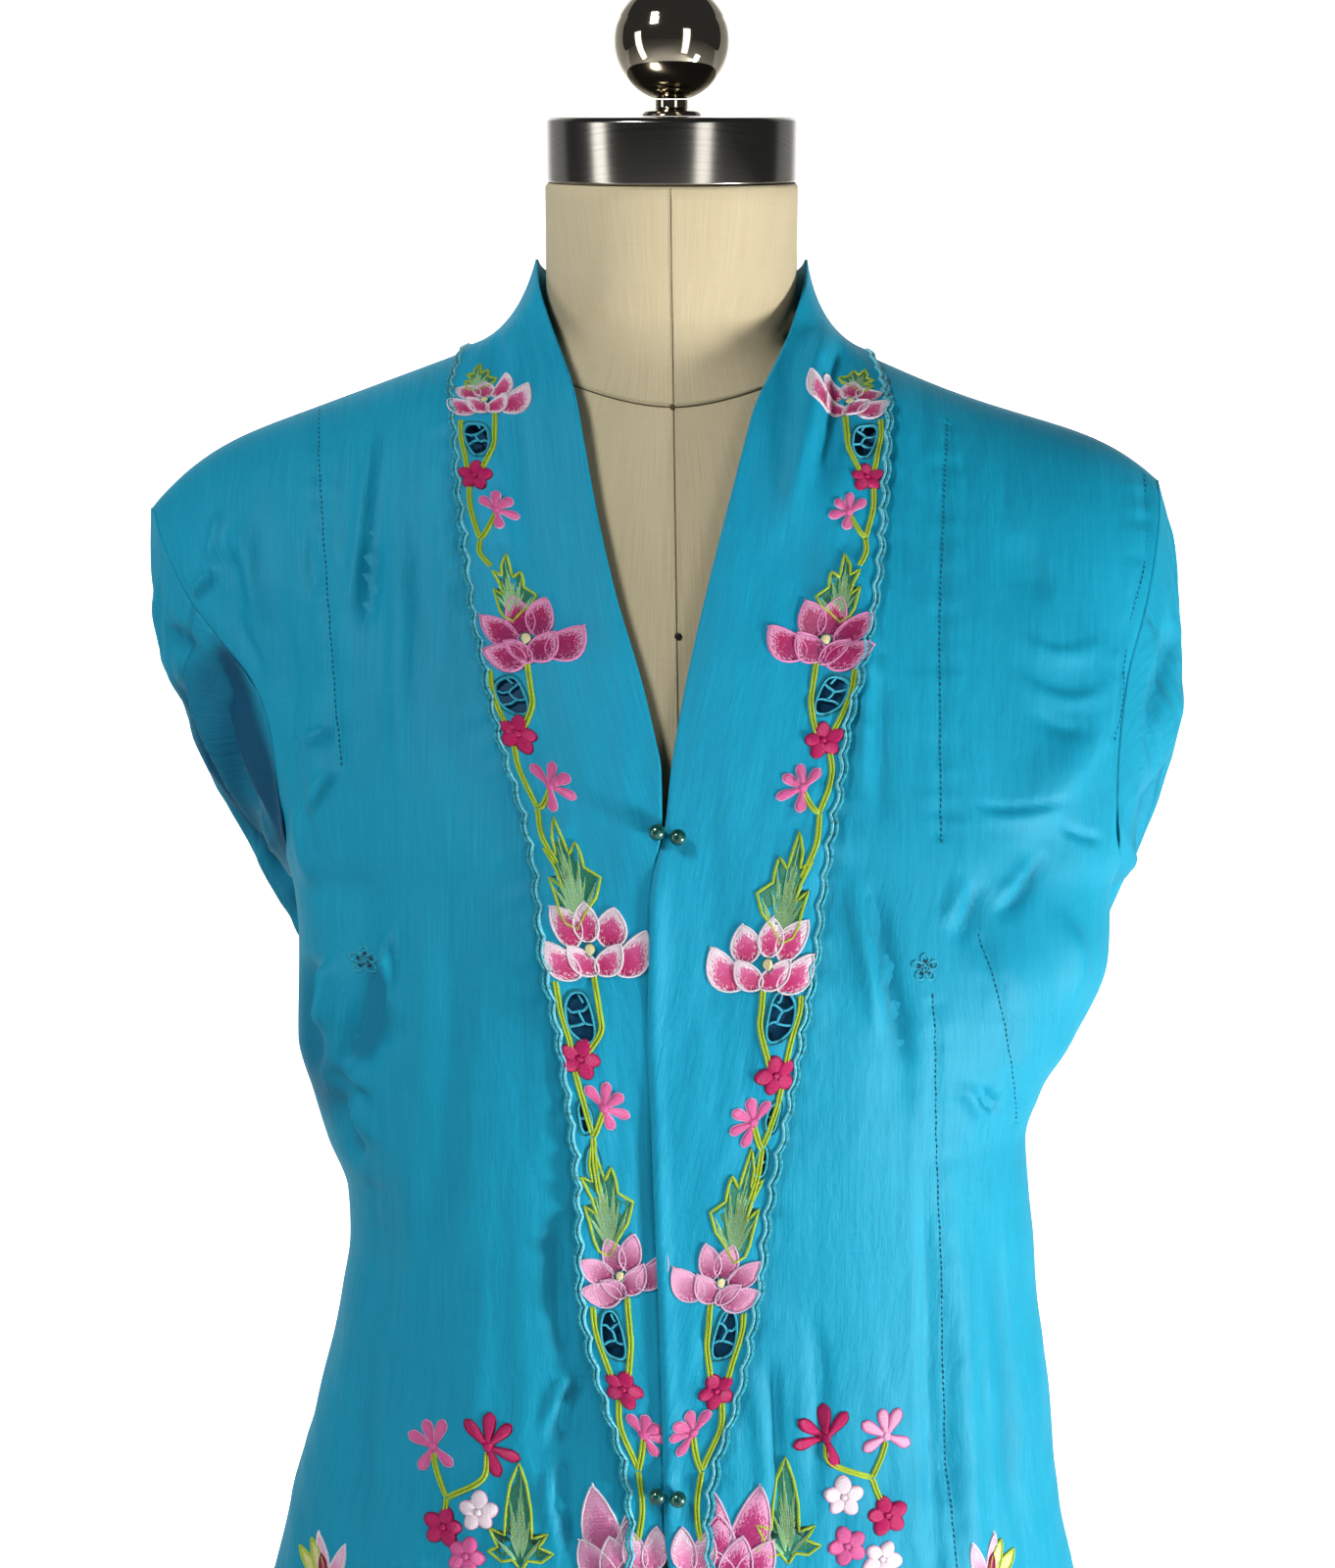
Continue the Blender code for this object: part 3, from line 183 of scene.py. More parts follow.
def smooth(rows, column, at):
    """A table's column, read at a value of its first column on a curve without overshoot."""
    rows = np.asarray(rows, float)
    rows = rows[np.argsort(rows[:, 0])]
    x, y = rows[:, 0], rows[:, column]
    step = np.diff(x)
    slope = np.diff(y) / step
    knot = np.zeros(len(x))
    left, right = slope[:-1], slope[1:]
    same = left * right > 0
    knot[1:-1][same] = 2 * left[same] * right[same] / (left[same] + right[same])
    knot[0], knot[-1] = slope[0], slope[-1]
    at = np.asarray(at, float)
    i = np.clip(np.searchsorted(x, at) - 1, 0, len(x) - 2)
    t = np.clip((at - x[i]) / step[i], 0, 1)
    a = (2 * t**3 - 3 * t**2 + 1) * y[i] + (t**3 - 2 * t**2 + t) * step[i] * knot[i]
    b = (3 * t**2 - 2 * t**3) * y[i + 1] + (t**3 - t**2) * step[i] * knot[i + 1]
    over = np.where(at < x[0], (at - x[0]) * knot[0], 0.0)
    return a + b + np.where(at > x[-1], (at - x[-1]) * knot[-1], over)


def sided(rows, x, level):
    """A two-sided table: the wearer's right column where x < 0, the left one elsewhere."""
    return np.where(np.asarray(x) < 0, smooth(rows, 1, level), smooth(rows, 2, level))


def ridge(x):
    """Level of the shoulder line."""
    low = LOW_SHOULDER * np.exp(-(((np.asarray(x) - 0.128) / 0.048) ** 2))
    x = np.abs(x)
    return RIDGE - SLOPE * x - TIP_DROP * (np.maximum(x - 0.17, 0) / 0.0636) ** 3 - low


def body(x, level, back=False):
    """Depth (y) of the body surface at x and level."""
    x, level = np.asarray(x, float), np.asarray(level, float)
    drop = np.maximum(ridge(x) - level, 0)
    depth = smooth(PROFILE, 2 if back else 1, drop)
    share = np.clip(np.abs(x) / sided(WIDTHS, x, level), 0, 1)
    y = depth * (1 - share**SQUARENESS) ** (1 / SQUARENESS)
    return y if back else -y


def folds(table, x, level):
    """How far the folds of a table move the surface outward at x and level."""
    total = np.zeros(np.broadcast(x, level).shape)
    for x0, z0, x1, z1, height, width in table:
        run = np.array([x1 - x0, z1 - z0])
        length = np.hypot(*run)
        t = ((x - x0) * run[0] + (level - z0) * run[1]) / length**2
        away = np.hypot(x - x0 - run[0] * np.clip(t, 0, 1), level - z0 - run[1] * np.clip(t, 0, 1))
        total = total + height * np.exp(-((away / width) ** 2))
    return total


def unit(v):
    return v / np.maximum(np.linalg.norm(v, axis=-1, keepdims=True), 1e-12)


def lengths(path):
    """How far along a path each of its points lies."""
    return np.concatenate([[0], np.cumsum(np.linalg.norm(np.diff(path, axis=0), axis=1))])


def grid_normals(points, closed=False):
    """Unit normals of a grid of points [rows, columns, 3]."""
    down = np.gradient(points, axis=0)
    if closed:
        across = np.roll(points, -1, axis=1) - np.roll(points, 1, axis=1)
    else:
        across = np.gradient(points, axis=1)
    return unit(np.cross(across, down))


def grid_faces(rows, columns, start, closed=False, flip=False):
    """Quads of a grid whose points are numbered row by row from start."""
    faces = []
    for r in range(rows - 1):
        for c in range(columns if closed else columns - 1):
            d = (c + 1) % columns
            quad = (
                start + r * columns + c,
                start + (r + 1) * columns + c,
                start + (r + 1) * columns + d,
                start + r * columns + d,
            )
            faces.append(quad[::-1] if flip else quad)
    return faces


def front_inner(side, level):
    """Inner edge of a front panel, under its band: x at a level."""
    top = BANDS[0, 0]
    base = smooth(BANDS, 3 if side > 0 else 1, np.minimum(level, top))
    climb = np.clip((level - top) / (ridge(NECK_POINT) - top), 0, 1)
    tuck = side * (0.0010 + 0.0035 * np.clip((level + 0.01) / 0.05, 0, 1))
    return (base + tuck) * (1 - climb) + side * NECK_POINT * climb


def seam_row(side, level):
    """Outer edge of a body panel at a level: x of the armhole or of the side seam."""
    column = 2 if side > 0 else 1
    wide = smooth(WIDTHS, column, level)
    return side * np.where(level > ARMPIT, np.minimum(smooth(ARMHOLE, column, level), wide), wide)


def tip(side):
    return TIP_LEFT if side > 0 else TIP_RIGHT


# Steps of the coarse grids: rows from the top (0) to the hem (1), and points across a front.
ROWS = np.array([0, 0.006, 0.016, 0.032, 0.055, 0.085, 0.12, 0.16, 0.20, 0.24, 0.28, 0.32, 0.355,
                 0.39, 0.425, 0.46, 0.495, 0.535, 0.58, 0.63, 0.69, 0.75, 0.81, 0.875, 0.94, 1.0])
COLUMNS = 12
HEM_FRONT, HEM_SIDE, HEM_BACK = -0.440, -0.390, -0.375

# How many finer steps the cloth has for each step of its coarse grid, down and across.
FRONT_FINER, BACK_FINER, SLEEVE_FINER, COLLAR_FINER = (12, 9), (9, 6), (12, 6), (6, 6)


def outer_levels(side):
    """Levels of the rows at the armhole and side seam, with one row on the underarm point."""
    top = float(ridge(tip(side)))
    levels = top + ROWS * (HEM_SIDE - top)
    near = int(np.argmin(np.abs(levels - ARMPIT)))
    share = np.interp(np.arange(len(ROWS)), [0, near, len(ROWS) - 1], [0, 1, 0])
    return levels + (ARMPIT - levels[near]) * share


def section_x(side, inner, outer, level, share):
    """x along a row, spaced evenly round the body's rounded section."""
    wide = side * sided(WIDTHS, side, level)
    a = np.arcsin(np.clip(np.abs(inner / wide), 0, 1) ** (SQUARENESS / 2)) * np.sign(inner * side)
    b = np.arcsin(np.clip(np.abs(outer / wide), 0, 1) ** (SQUARENESS / 2))
    angle = a + (b - a) * share
    return wide * np.sign(angle) * np.abs(np.sin(angle)) ** (2 / SQUARENESS)


def front_grid(side):
    """Outer points of a front panel, and the directions into its wall."""
    top_in = float(ridge(NECK_POINT))
    ins = top_in + ROWS * (HEM_FRONT - top_in)
    outs = outer_levels(side)
    share = np.linspace(0, 1, COLUMNS)
    points = np.zeros((len(ROWS), COLUMNS, 3))
    for r, (level_in, level_out) in enumerate(zip(ins, outs)):
        inner = front_inner(side, level_in)
        outer = side * tip(side) if r == 0 else float(seam_row(side, level_out))
        level = level_in + (level_out - level_in) * share
        for _ in range(4):
            x = section_x(side, inner, outer, level, share)
            run = np.clip((x - x[0]) / (x[-1] - x[0]), 0, 1)
            dip = 0.010 * np.sin(np.pi * run) * (r == len(ROWS) - 1)
            level = level_in + (level_out - level_in) * run**0.9 - dip
            if r == 0:
                level = ridge(x)
        points[r] = np.stack([x, body(x, level), level], axis=1)
    return points


def neckline(x):
    """Level of the back panel's top edge."""
    share = np.clip(np.abs(x) / NECK_POINT, 0, 1)
    return ridge(x) - 0.045 * np.sqrt(1 - share**2)


def back_grid():
    """Outer points of the back panel, from the wearer's right side to the left."""
    outer = np.linspace(0, 1, 9)[1:] + 1
    across = np.concatenate([-outer[::-1], np.linspace(-1, 1, 9), outer])
    points = np.zeros((len(ROWS), len(across), 3))
    for r, share in enumerate(ROWS):
        for c, a in enumerate(across):
            side = -1 if a < 0 else 1
            outs = outer_levels(side)[r]
            outer = tip(side) if r == 0 else abs(float(seam_row(side, outs)))
            wide = abs(a)
            x = NECK_POINT * (1 + 0.08 * share) * math.sin(min(wide, 1) * math.pi / 2)
            if wide > 1:
                inner = NECK_POINT * (1 + 0.08 * share)
                x = abs(float(section_x(side, side * inner, side * outer, outs, wide - 1)))
            x *= side
            top = float(neckline(x))
            low = HEM_BACK + (HEM_SIDE - HEM_BACK) * (abs(x) / 0.19) ** 2
            mid = top + share * (low - top)
            run = np.clip(abs(x) / max(outer, 1e-6), 0, 1) ** 3
            level = mid * (1 - run) + outs * run
            if r == 0:
                level = top
            points[r, c] = (x, float(body(x, level, back=True)), level)
    return points


def section_curve(side, level, offset):
    """Points round the body from the side seam line to the centre back, and their lengths."""
    angle = np.linspace(0, math.pi / 2, 90)
    wide = float(smooth(WIDTHS, 2 if side > 0 else 1, level)) + offset
    x = wide * np.cos(angle) ** (2 / SQUARENESS)
    drop = np.maximum(ridge(x) - level, 0)
    depth = smooth(PROFILE, 2, drop) + offset
    y = depth * np.sin(angle) ** (2 / SQUARENESS)
    path = np.stack([side * x, y], axis=1)
    return path, lengths(path)


def sleeve_ring(side, omega, level, front, back, thick, clear, tilt, swell):
    """One section of a sleeve, lying round the body; starts at the front edge."""
    points = np.zeros((len(omega), 3))
    middle, half = (front + back) / 2, (back - front) / 2
    for k, w in enumerate(omega):
        lift = math.sin(w)
        run = -math.copysign(abs(math.cos(w)) ** 0.85, math.cos(w))
        out = clear + thick * (0.5 + 0.5 * math.copysign(abs(lift) ** 0.9, lift))
        out += swell * max(lift, 0) * math.sin(3.0 * run + 0.9)
        here = level + 0.5 * tilt * run
        path, along = section_curve(side, here, out)
        at = (middle + half * run) * along[-1] / section_curve(side, here, 0.0)[1][-1]
        points[k] = (np.interp(at, along, path[:, 0]), np.interp(at, along, path[:, 1]), here)
    return points


def armhole_loop(side):
    """The armhole seam as a closed loop, through the panels' own edge points: it starts on
    the front, goes over the shoulder and comes back under the arm."""
    levels = outer_levels(side)
    near = int(np.argmin(np.abs(levels - ARMPIT)))
    x = np.array([side * tip(side)] + [float(seam_row(side, v)) for v in levels[1:near + 1]])
    level = levels[:near + 1].copy()
    level[0] = ridge(x[0])
    front = np.stack([x, body(x, level), level], axis=1)
    back = np.stack([x, body(x, level, back=True), level], axis=1)
    loop = np.concatenate([front[::-1], back[1:-1]])
    return np.roll(loop, -SLEEVE_START, axis=0)


def loop_turn(loop):
    """The turn (0 to 2 pi) of each point round a loop, by the length of the loop before it."""
    steps = np.linalg.norm(np.roll(loop, -1, axis=0) - loop, axis=1)
    return np.concatenate([[0], np.cumsum(steps)[:-1]]) / steps.sum() * math.tau


def pushed_out(points, clear):
    """Points moved away from the body where they would lie nearer to it than 'clear'."""
    x, y, level = points[..., 0], points[..., 1], points[..., 2]
    wide = sided(WIDTHS, x, level) + clear
    drop = np.maximum(ridge(np.minimum(np.abs(x), 0.235)) - level, 0)
    depth = np.where(y < 0, smooth(PROFILE, 1, drop), smooth(PROFILE, 2, drop)) + clear
    depth = np.maximum(depth, 1e-6)
    inside = (np.abs(x / wide) ** SQUARENESS + np.abs(y / depth) ** SQUARENESS) ** (1 / SQUARENESS)
    hole = sided(ARMHOLE, x, level)
    open_hole = np.where(level > ARMPIT, np.clip((np.abs(x) - hole - 0.002) / 0.012, 0, 1), 0)
    grow = np.where((inside < 1) & (drop > 0.004), 1 / np.maximum(inside, 0.5), 1.0)
    grow = 1 + (grow - 1) * (1 - open_hole)
    moved = points.copy()
    moved[..., :2] *= grow[..., None]
    return moved


def sleeve_grid(side):
    """Outer points of a sleeve, ring by ring from the armhole."""
    table = SLEEVE_LEFT if side > 0 else SLEEVE_RIGHT
    levels = np.array([row[0] for row in table])
    rings = []
    start = armhole_loop(side)
    omega = loop_turn(start)
    for level in np.linspace(levels[0], levels[-1], SLEEVE_RINGS):
        values = [float(smooth(table, k, level)) for k in range(1, 6)]
        fade = np.interp(level, [levels[-1], levels[0]], [0.0015, 0.0050])
        rings.append(sleeve_ring(side, omega, level, *values, fade))
    start[:, 0] += side * SEAM * 1.4
    first, second = rings[0], rings[1]
    reach = np.clip((start[:, 2:3] - ARMPIT) / 0.15, 0, 1)
    leave = (LEAVE_UNDER + reach * LEAVE_OVER) * np.array([side, 1, 1])
    leave[:, 0] += np.where(side < 0, -0.125 * (1 - 0.6 * reach[:, 0]), 0.045 * reach[:, 0])
    arrive = (second - first) * ARRIVE
    blended = []
    for k in range(BLEND_ROWS):
        t = k / BLEND_ROWS
        a, b = 2 * t**3 - 3 * t**2 + 1, t**3 - 2 * t**2 + t
        c, d = 3 * t**2 - 2 * t**3, t**3 - t**2
        blended.append(a * start + b * leave + c * first + d * arrive)
    rings = np.array(blended + rings)
    clear = 0.0085 * np.clip(np.arange(len(rings)) / 1.6, 0, 1)[:, None]
    for _ in range(SLEEVE_EASE):
        rings[1:-1] = rings[1:-1] * 0.5 + (rings[:-2] + rings[2:]) * 0.25
        rings[1:] = pushed_out(rings[1:], clear[1:])
    return rings


class Band:
    """A lapel band: places on it are a distance down from the shoulder line and a distance
    in from its outer edge."""

    def __init__(self, side):
        self.side = side
        level = np.linspace(BANDS[0][0], BANDS[-1][0], 160)
        inner, outer = self.edges(level)
        middle = (inner + outer) / 2
        path = np.stack([middle, body(middle, level), level], axis=1)
        self.down = STAND_LENGTH + lengths(path)
        self.level = level
        self.length = self.down[-1]

    def edges(self, level):
        k = 3 if self.side > 0 else 1
        return smooth(BANDS, k, level), smooth(BANDS, k + 1, level)

    def edge_points(self, down):
        """Inner, middle and outer point of the band's cross-section at 'down'."""
        down = np.asarray(down, float)
        way = np.clip(down / STAND_LENGTH, 0, 1)
        level = np.interp(down, self.down, self.level)
        level = level + np.maximum(STAND_LENGTH - down, 0) * STAND_CLIMB
        ends = self.edges(level)
        lying = [np.stack([x, body(x, level), level], axis=-1) for x in (ends[0], sum(ends) / 2, ends[1])]
        stand = [smooth(STAND, k, way) for k in range(1, 9)]
        s = self.side
        inner = np.stack([s * stand[0] + NECK_X, stand[1], stand[2]], axis=-1)
        middle = np.stack([s * stand[3], stand[4], stand[5]], axis=-1)
        low = ridge(s * stand[6]) - stand[7]
        outer = np.stack([s * stand[6], body(s * stand[6], low), low], axis=-1)
        h = (1 - np.clip((way - 0.55) / 0.45, 0, 1))[..., None]
        h = h * h * (3 - 2 * h)
        standing = way[..., None] < 1
        raised = (inner, middle, outer)
        edges = [np.where(standing, b * h + a * (1 - h), a) for a, b in zip(lying, raised)]
        return edges, h, way

    def width(self, down):
        (inner, middle, outer), _, _ = self.edge_points(down)
        return np.linalg.norm(inner - middle, axis=-1) + np.linalg.norm(middle - outer, axis=-1)

    def base(self, down, inside):
        """Points under the band, on the body or standing up beside the neck."""
        down, inside = np.broadcast_arrays(np.asarray(down, float), np.asarray(inside, float))
        (inner, middle, outer), h, way = self.edge_points(down)
        f = (inside / self.width(down))[..., None]
        x = (outer * (1 - f) + inner * f)[..., 0]
        level = (outer * (1 - f) + inner * f)[..., 2]
        lying = np.stack([x, body(x, level), level], axis=-1)
        g = np.clip(f, 0, 1)
        curve = outer * (1 - g) ** 2 + 2 * middle * g * (1 - g) + inner * g**2
        curve = curve + (f - g) * 2 * np.where(f > 1, inner - middle, middle - outer)
        points = np.where(way[..., None] < 1, curve * h + lying * (1 - h), lying)
        under = body(points[..., 0], points[..., 2])
        points[..., 1] = np.minimum(points[..., 1], np.where(under < 0, under, 1))
        return points

    def normal(self, down, inside):
        e = 0.0008
        a = self.base(down + e, inside) - self.base(np.maximum(down - e, 0), inside)
        b = self.base(down, inside + e) - self.base(down, inside - e)
        n = unit(np.cross(a, b)) * -self.side
        end = np.clip(1 - np.asarray(down, float) / 0.012, 0, 1)
        n[..., 1] *= 1 - end
        return unit(n)


BAND = {-1: Band(-1), 1: Band(1)}


def scallop(down):
    """How far the cord edge swells out of the band's mean outer edge."""
    return SCALLOP_DEPTH * (np.abs(np.sin(math.pi * down / SCALLOP)) ** 0.8 - 0.5)


def back_level(x, y):
    """Level at which the back surface stands at depth y, over x."""
    low, high = np.full(np.shape(x), -0.1), ridge(x)
    for _ in range(HALVINGS):
        middle = (low + high) / 2
        deep = body(x, middle, back=True) > y
        low, high = np.where(deep, middle, low), np.where(deep, high, middle)
    return (low + high) / 2


def collar_back_grid():
    """The collar round the back of the neck, from shoulder line to shoulder line."""
    turn = np.linspace(0, math.pi, 25)[:, None]
    f = np.linspace(0, 1, END_POINTS)[None, :]
    c, s = np.cos(turn), np.sin(turn)
    x, y = 0.0900 * c, 0.0880 * s
    outer = np.stack([x, y, back_level(x, y)], axis=-1)
    x, y = 0.0660 * c, 0.0715 * s
    middle = np.stack([x, y, back_level(x, y) - 0.003 * c**2], axis=-1)
    inner = np.stack([0.0590 * c + NECK_X, 0.004 + 0.0610 * s, 0.2360 - 0.004 * s], axis=-1)
    f = f[..., None]
    points = outer * (1 - f) ** 2 + 2 * middle * f * (1 - f) + inner * f**2
    normals = grid_normals(points)
    normals *= np.sign(normals[12, :, 1].sum())
    normals[[0, -1], :, 1] = 0
    normals = unit(normals)
    points = points + normals * (LIFT + BAND_WALL)
    points[..., 1] += 2 * SEAM
    return points, -normals


def neck_axis_y(level):
    return NECK_Y - NECK_LEAN * (level - 0.20)


def form_radius(angle, level):
    """Distance from the form's centre to its surface, in a direction, at a level."""
    c, s = np.cos(angle), np.sin(angle)
    low, high = np.zeros(len(angle)), np.full(len(angle), 0.3)
    lifted = level + FORM_GAP
    for _ in range(HALVINGS):
        r = (low + high) / 2
        x, y = r * c, r * s
        limit = sided(WIDTHS, x, level)
        hole = sided(ARMHOLE, x, level)
        wide = np.where(level > ARMPIT, np.minimum(limit, hole), limit) - FORM_GAP - 0.0015
        drop = np.maximum(ridge(x) - lifted, 0)
        deep = np.where(y < 0, smooth(PROFILE, 1, drop), smooth(PROFILE, 2, drop)) - FORM_GAP
        share = np.clip(np.abs(x) / wide, 0, 1)
        edge = np.maximum(deep, 0) * (1 - share**SQUARENESS) ** (1 / SQUARENESS)
        inside = np.abs(y) < edge
        low, high = np.where(inside, r, low), np.where(inside, high, r)
    return (low + high) / 2


def neck_distance(angle, level):
    c, s = np.cos(angle), np.sin(angle)
    cx, cy = NECK_X, neck_axis_y(max(level, 0.20))
    along = c * cx + s * cy
    return along + np.sqrt(np.maximum(NECK_RADIUS**2 - (cx**2 + cy**2 - along**2), 0))


# Finer surfaces.

def between_points(points, times, closed=False):
    """Points on a smooth curve through the rows of an array, 'times' per step."""
    count = len(points)
    steps = count if closed else count - 1
    if closed:
        ends = points[np.arange(-1, count + 2) % count]
    else:
        first, last = 2 * points[:1] - points[1:2], 2 * points[-1:] - points[-2:-1]
        ends = np.concatenate([first, points, last])
    t = (np.arange(times) / times).reshape(-1, *[1] * (points.ndim - 1))
    out = []
    for k in range(steps):
        p0, p1, p2, p3 = ends[k], ends[k + 1], ends[k + 2], ends[k + 3]
        out.append(0.5 * (2 * p1 + (p2 - p0) * t + (2 * p0 - 5 * p1 + 4 * p2 - p3) * t**2
                          + (3 * p1 - p0 - 3 * p2 + p3) * t**3))
    out = np.concatenate(out)
    return out if closed else np.concatenate([out, points[-1:]])


def finer(grid, down, across, closed=False):
    """A grid on a smooth surface through the points of a coarser one."""
    grid = between_points(grid, down)
    return np.swapaxes(between_points(np.swapaxes(grid, 0, 1), across, closed), 0, 1)


def finer_panel(coarse, down, across, back=False):
    """x, level and y of a finer panel, spaced round the body's section, so that the
    front and the back meet all the way down the side seam."""
    x, level = coarse[..., 0], coarse[..., 2]
    share = np.clip(np.abs(x) / sided(WIDTHS, x, level), 0, 1)
    angle = np.sign(x) * np.arcsin(share ** (SQUARENESS / 2))
    flat = finer(np.stack([angle, level], axis=-1), down, across)
    angle, level = np.clip(flat[..., 0], -math.pi / 2, math.pi / 2), flat[..., 1]
    wide = sided(WIDTHS, angle, level)
    x = wide * np.sign(angle) * np.abs(np.sin(angle)) ** (2 / SQUARENESS)
    depth = smooth(PROFILE, 2 if back else 1, np.maximum(ridge(x) - level, 0))
    y = depth * np.maximum(np.cos(angle), 0) ** (2 / SQUARENESS)
    return x, level, y if back else -y


def ease(t):
    t = np.clip(t, 0, 1)
    return t * t * (3 - 2 * t)


def ripple(x, z, size_x, size_z, seed):
    """Soft random waves between -1 and 1, with their own size across and down."""
    table = np.random.RandomState(seed).rand(64, 64) * 2 - 1
    u, v = np.asarray(x) / size_x + 1000, np.asarray(z) / size_z + 1000
    i, j = np.floor(u).astype(int), np.floor(v).astype(int)
    a, b = ease(u - i), ease(v - j)
    g = table[i % 64, j % 64] * (1 - a) + table[(i + 1) % 64, j % 64] * a
    h = table[i % 64, (j + 1) % 64] * (1 - a) + table[(i + 1) % 64, (j + 1) % 64] * a
    return g * (1 - b) + h * b


def places(row):
    """A flat row of pairs in millimetres, as places in metres."""
    return np.reshape(row, (-1, 2)) / 1000


def creases(table, x, z, sharp=1.0):
    """How far the listed folds move the cloth outward. A row has the places of the fold's
    curve, its height, its width to the left and to the right of its run, all in
    millimetres, and how many hundredths of it fade at each end. 'sharp' narrows them all.
    A row of height MARK gives a mark from 0 to 1 in place of a fold."""
    x, z = np.broadcast_arrays(np.asarray(x, float), np.asarray(z, float))
    total = np.zeros(x.shape)
    for *curve_row, height, wide_a, wide_b, fade in table:
        path = between_points(places(curve_row), 5)
        height, wide_a, wide_b, fade = height / 1000, wide_a / 1000, wide_b / 1000, fade / 100
        along = lengths(path)
        along /= along[-1]
        reach = 2.8 * max(wide_a, wide_b)
        low, high = path.min(axis=0) - reach, path.max(axis=0) + reach
        close = (x > low[0]) & (x < high[0]) & (z > low[1]) & (z < high[1])
        px, pz = x[close], z[close]
        best = np.full(px.shape, 9.0)
        side, where = np.zeros(px.shape), np.zeros(px.shape)
        for k, (a, b) in enumerate(zip(path, path[1:])):
            run = b - a
            t = np.clip(((px - a[0]) * run[0] + (pz - a[1]) * run[1]) / (run @ run), 0, 1)
            dx, dz = px - a[0] - run[0] * t, pz - a[1] - run[1] * t
            away = np.hypot(dx, dz)
            near = away < best
            best = np.where(near, away, best)
            side = np.where(near, run[0] * dz - run[1] * dx, side)
            where = np.where(near, along[k] + (along[k + 1] - along[k]) * t, where)
        wide = np.where(side > 0, wide_a, wide_b) * sharp
        ends = ease(where / max(fade, 1e-3)) * ease((1 - where) / max(fade, 1e-3))
        total[close] += height * np.exp(-((best / wide) ** 2)) * ends
    return total


MARK = 1000              # the height of a row that only marks where something is
HEIGHT = -4              # where a row has its height, counted from its end

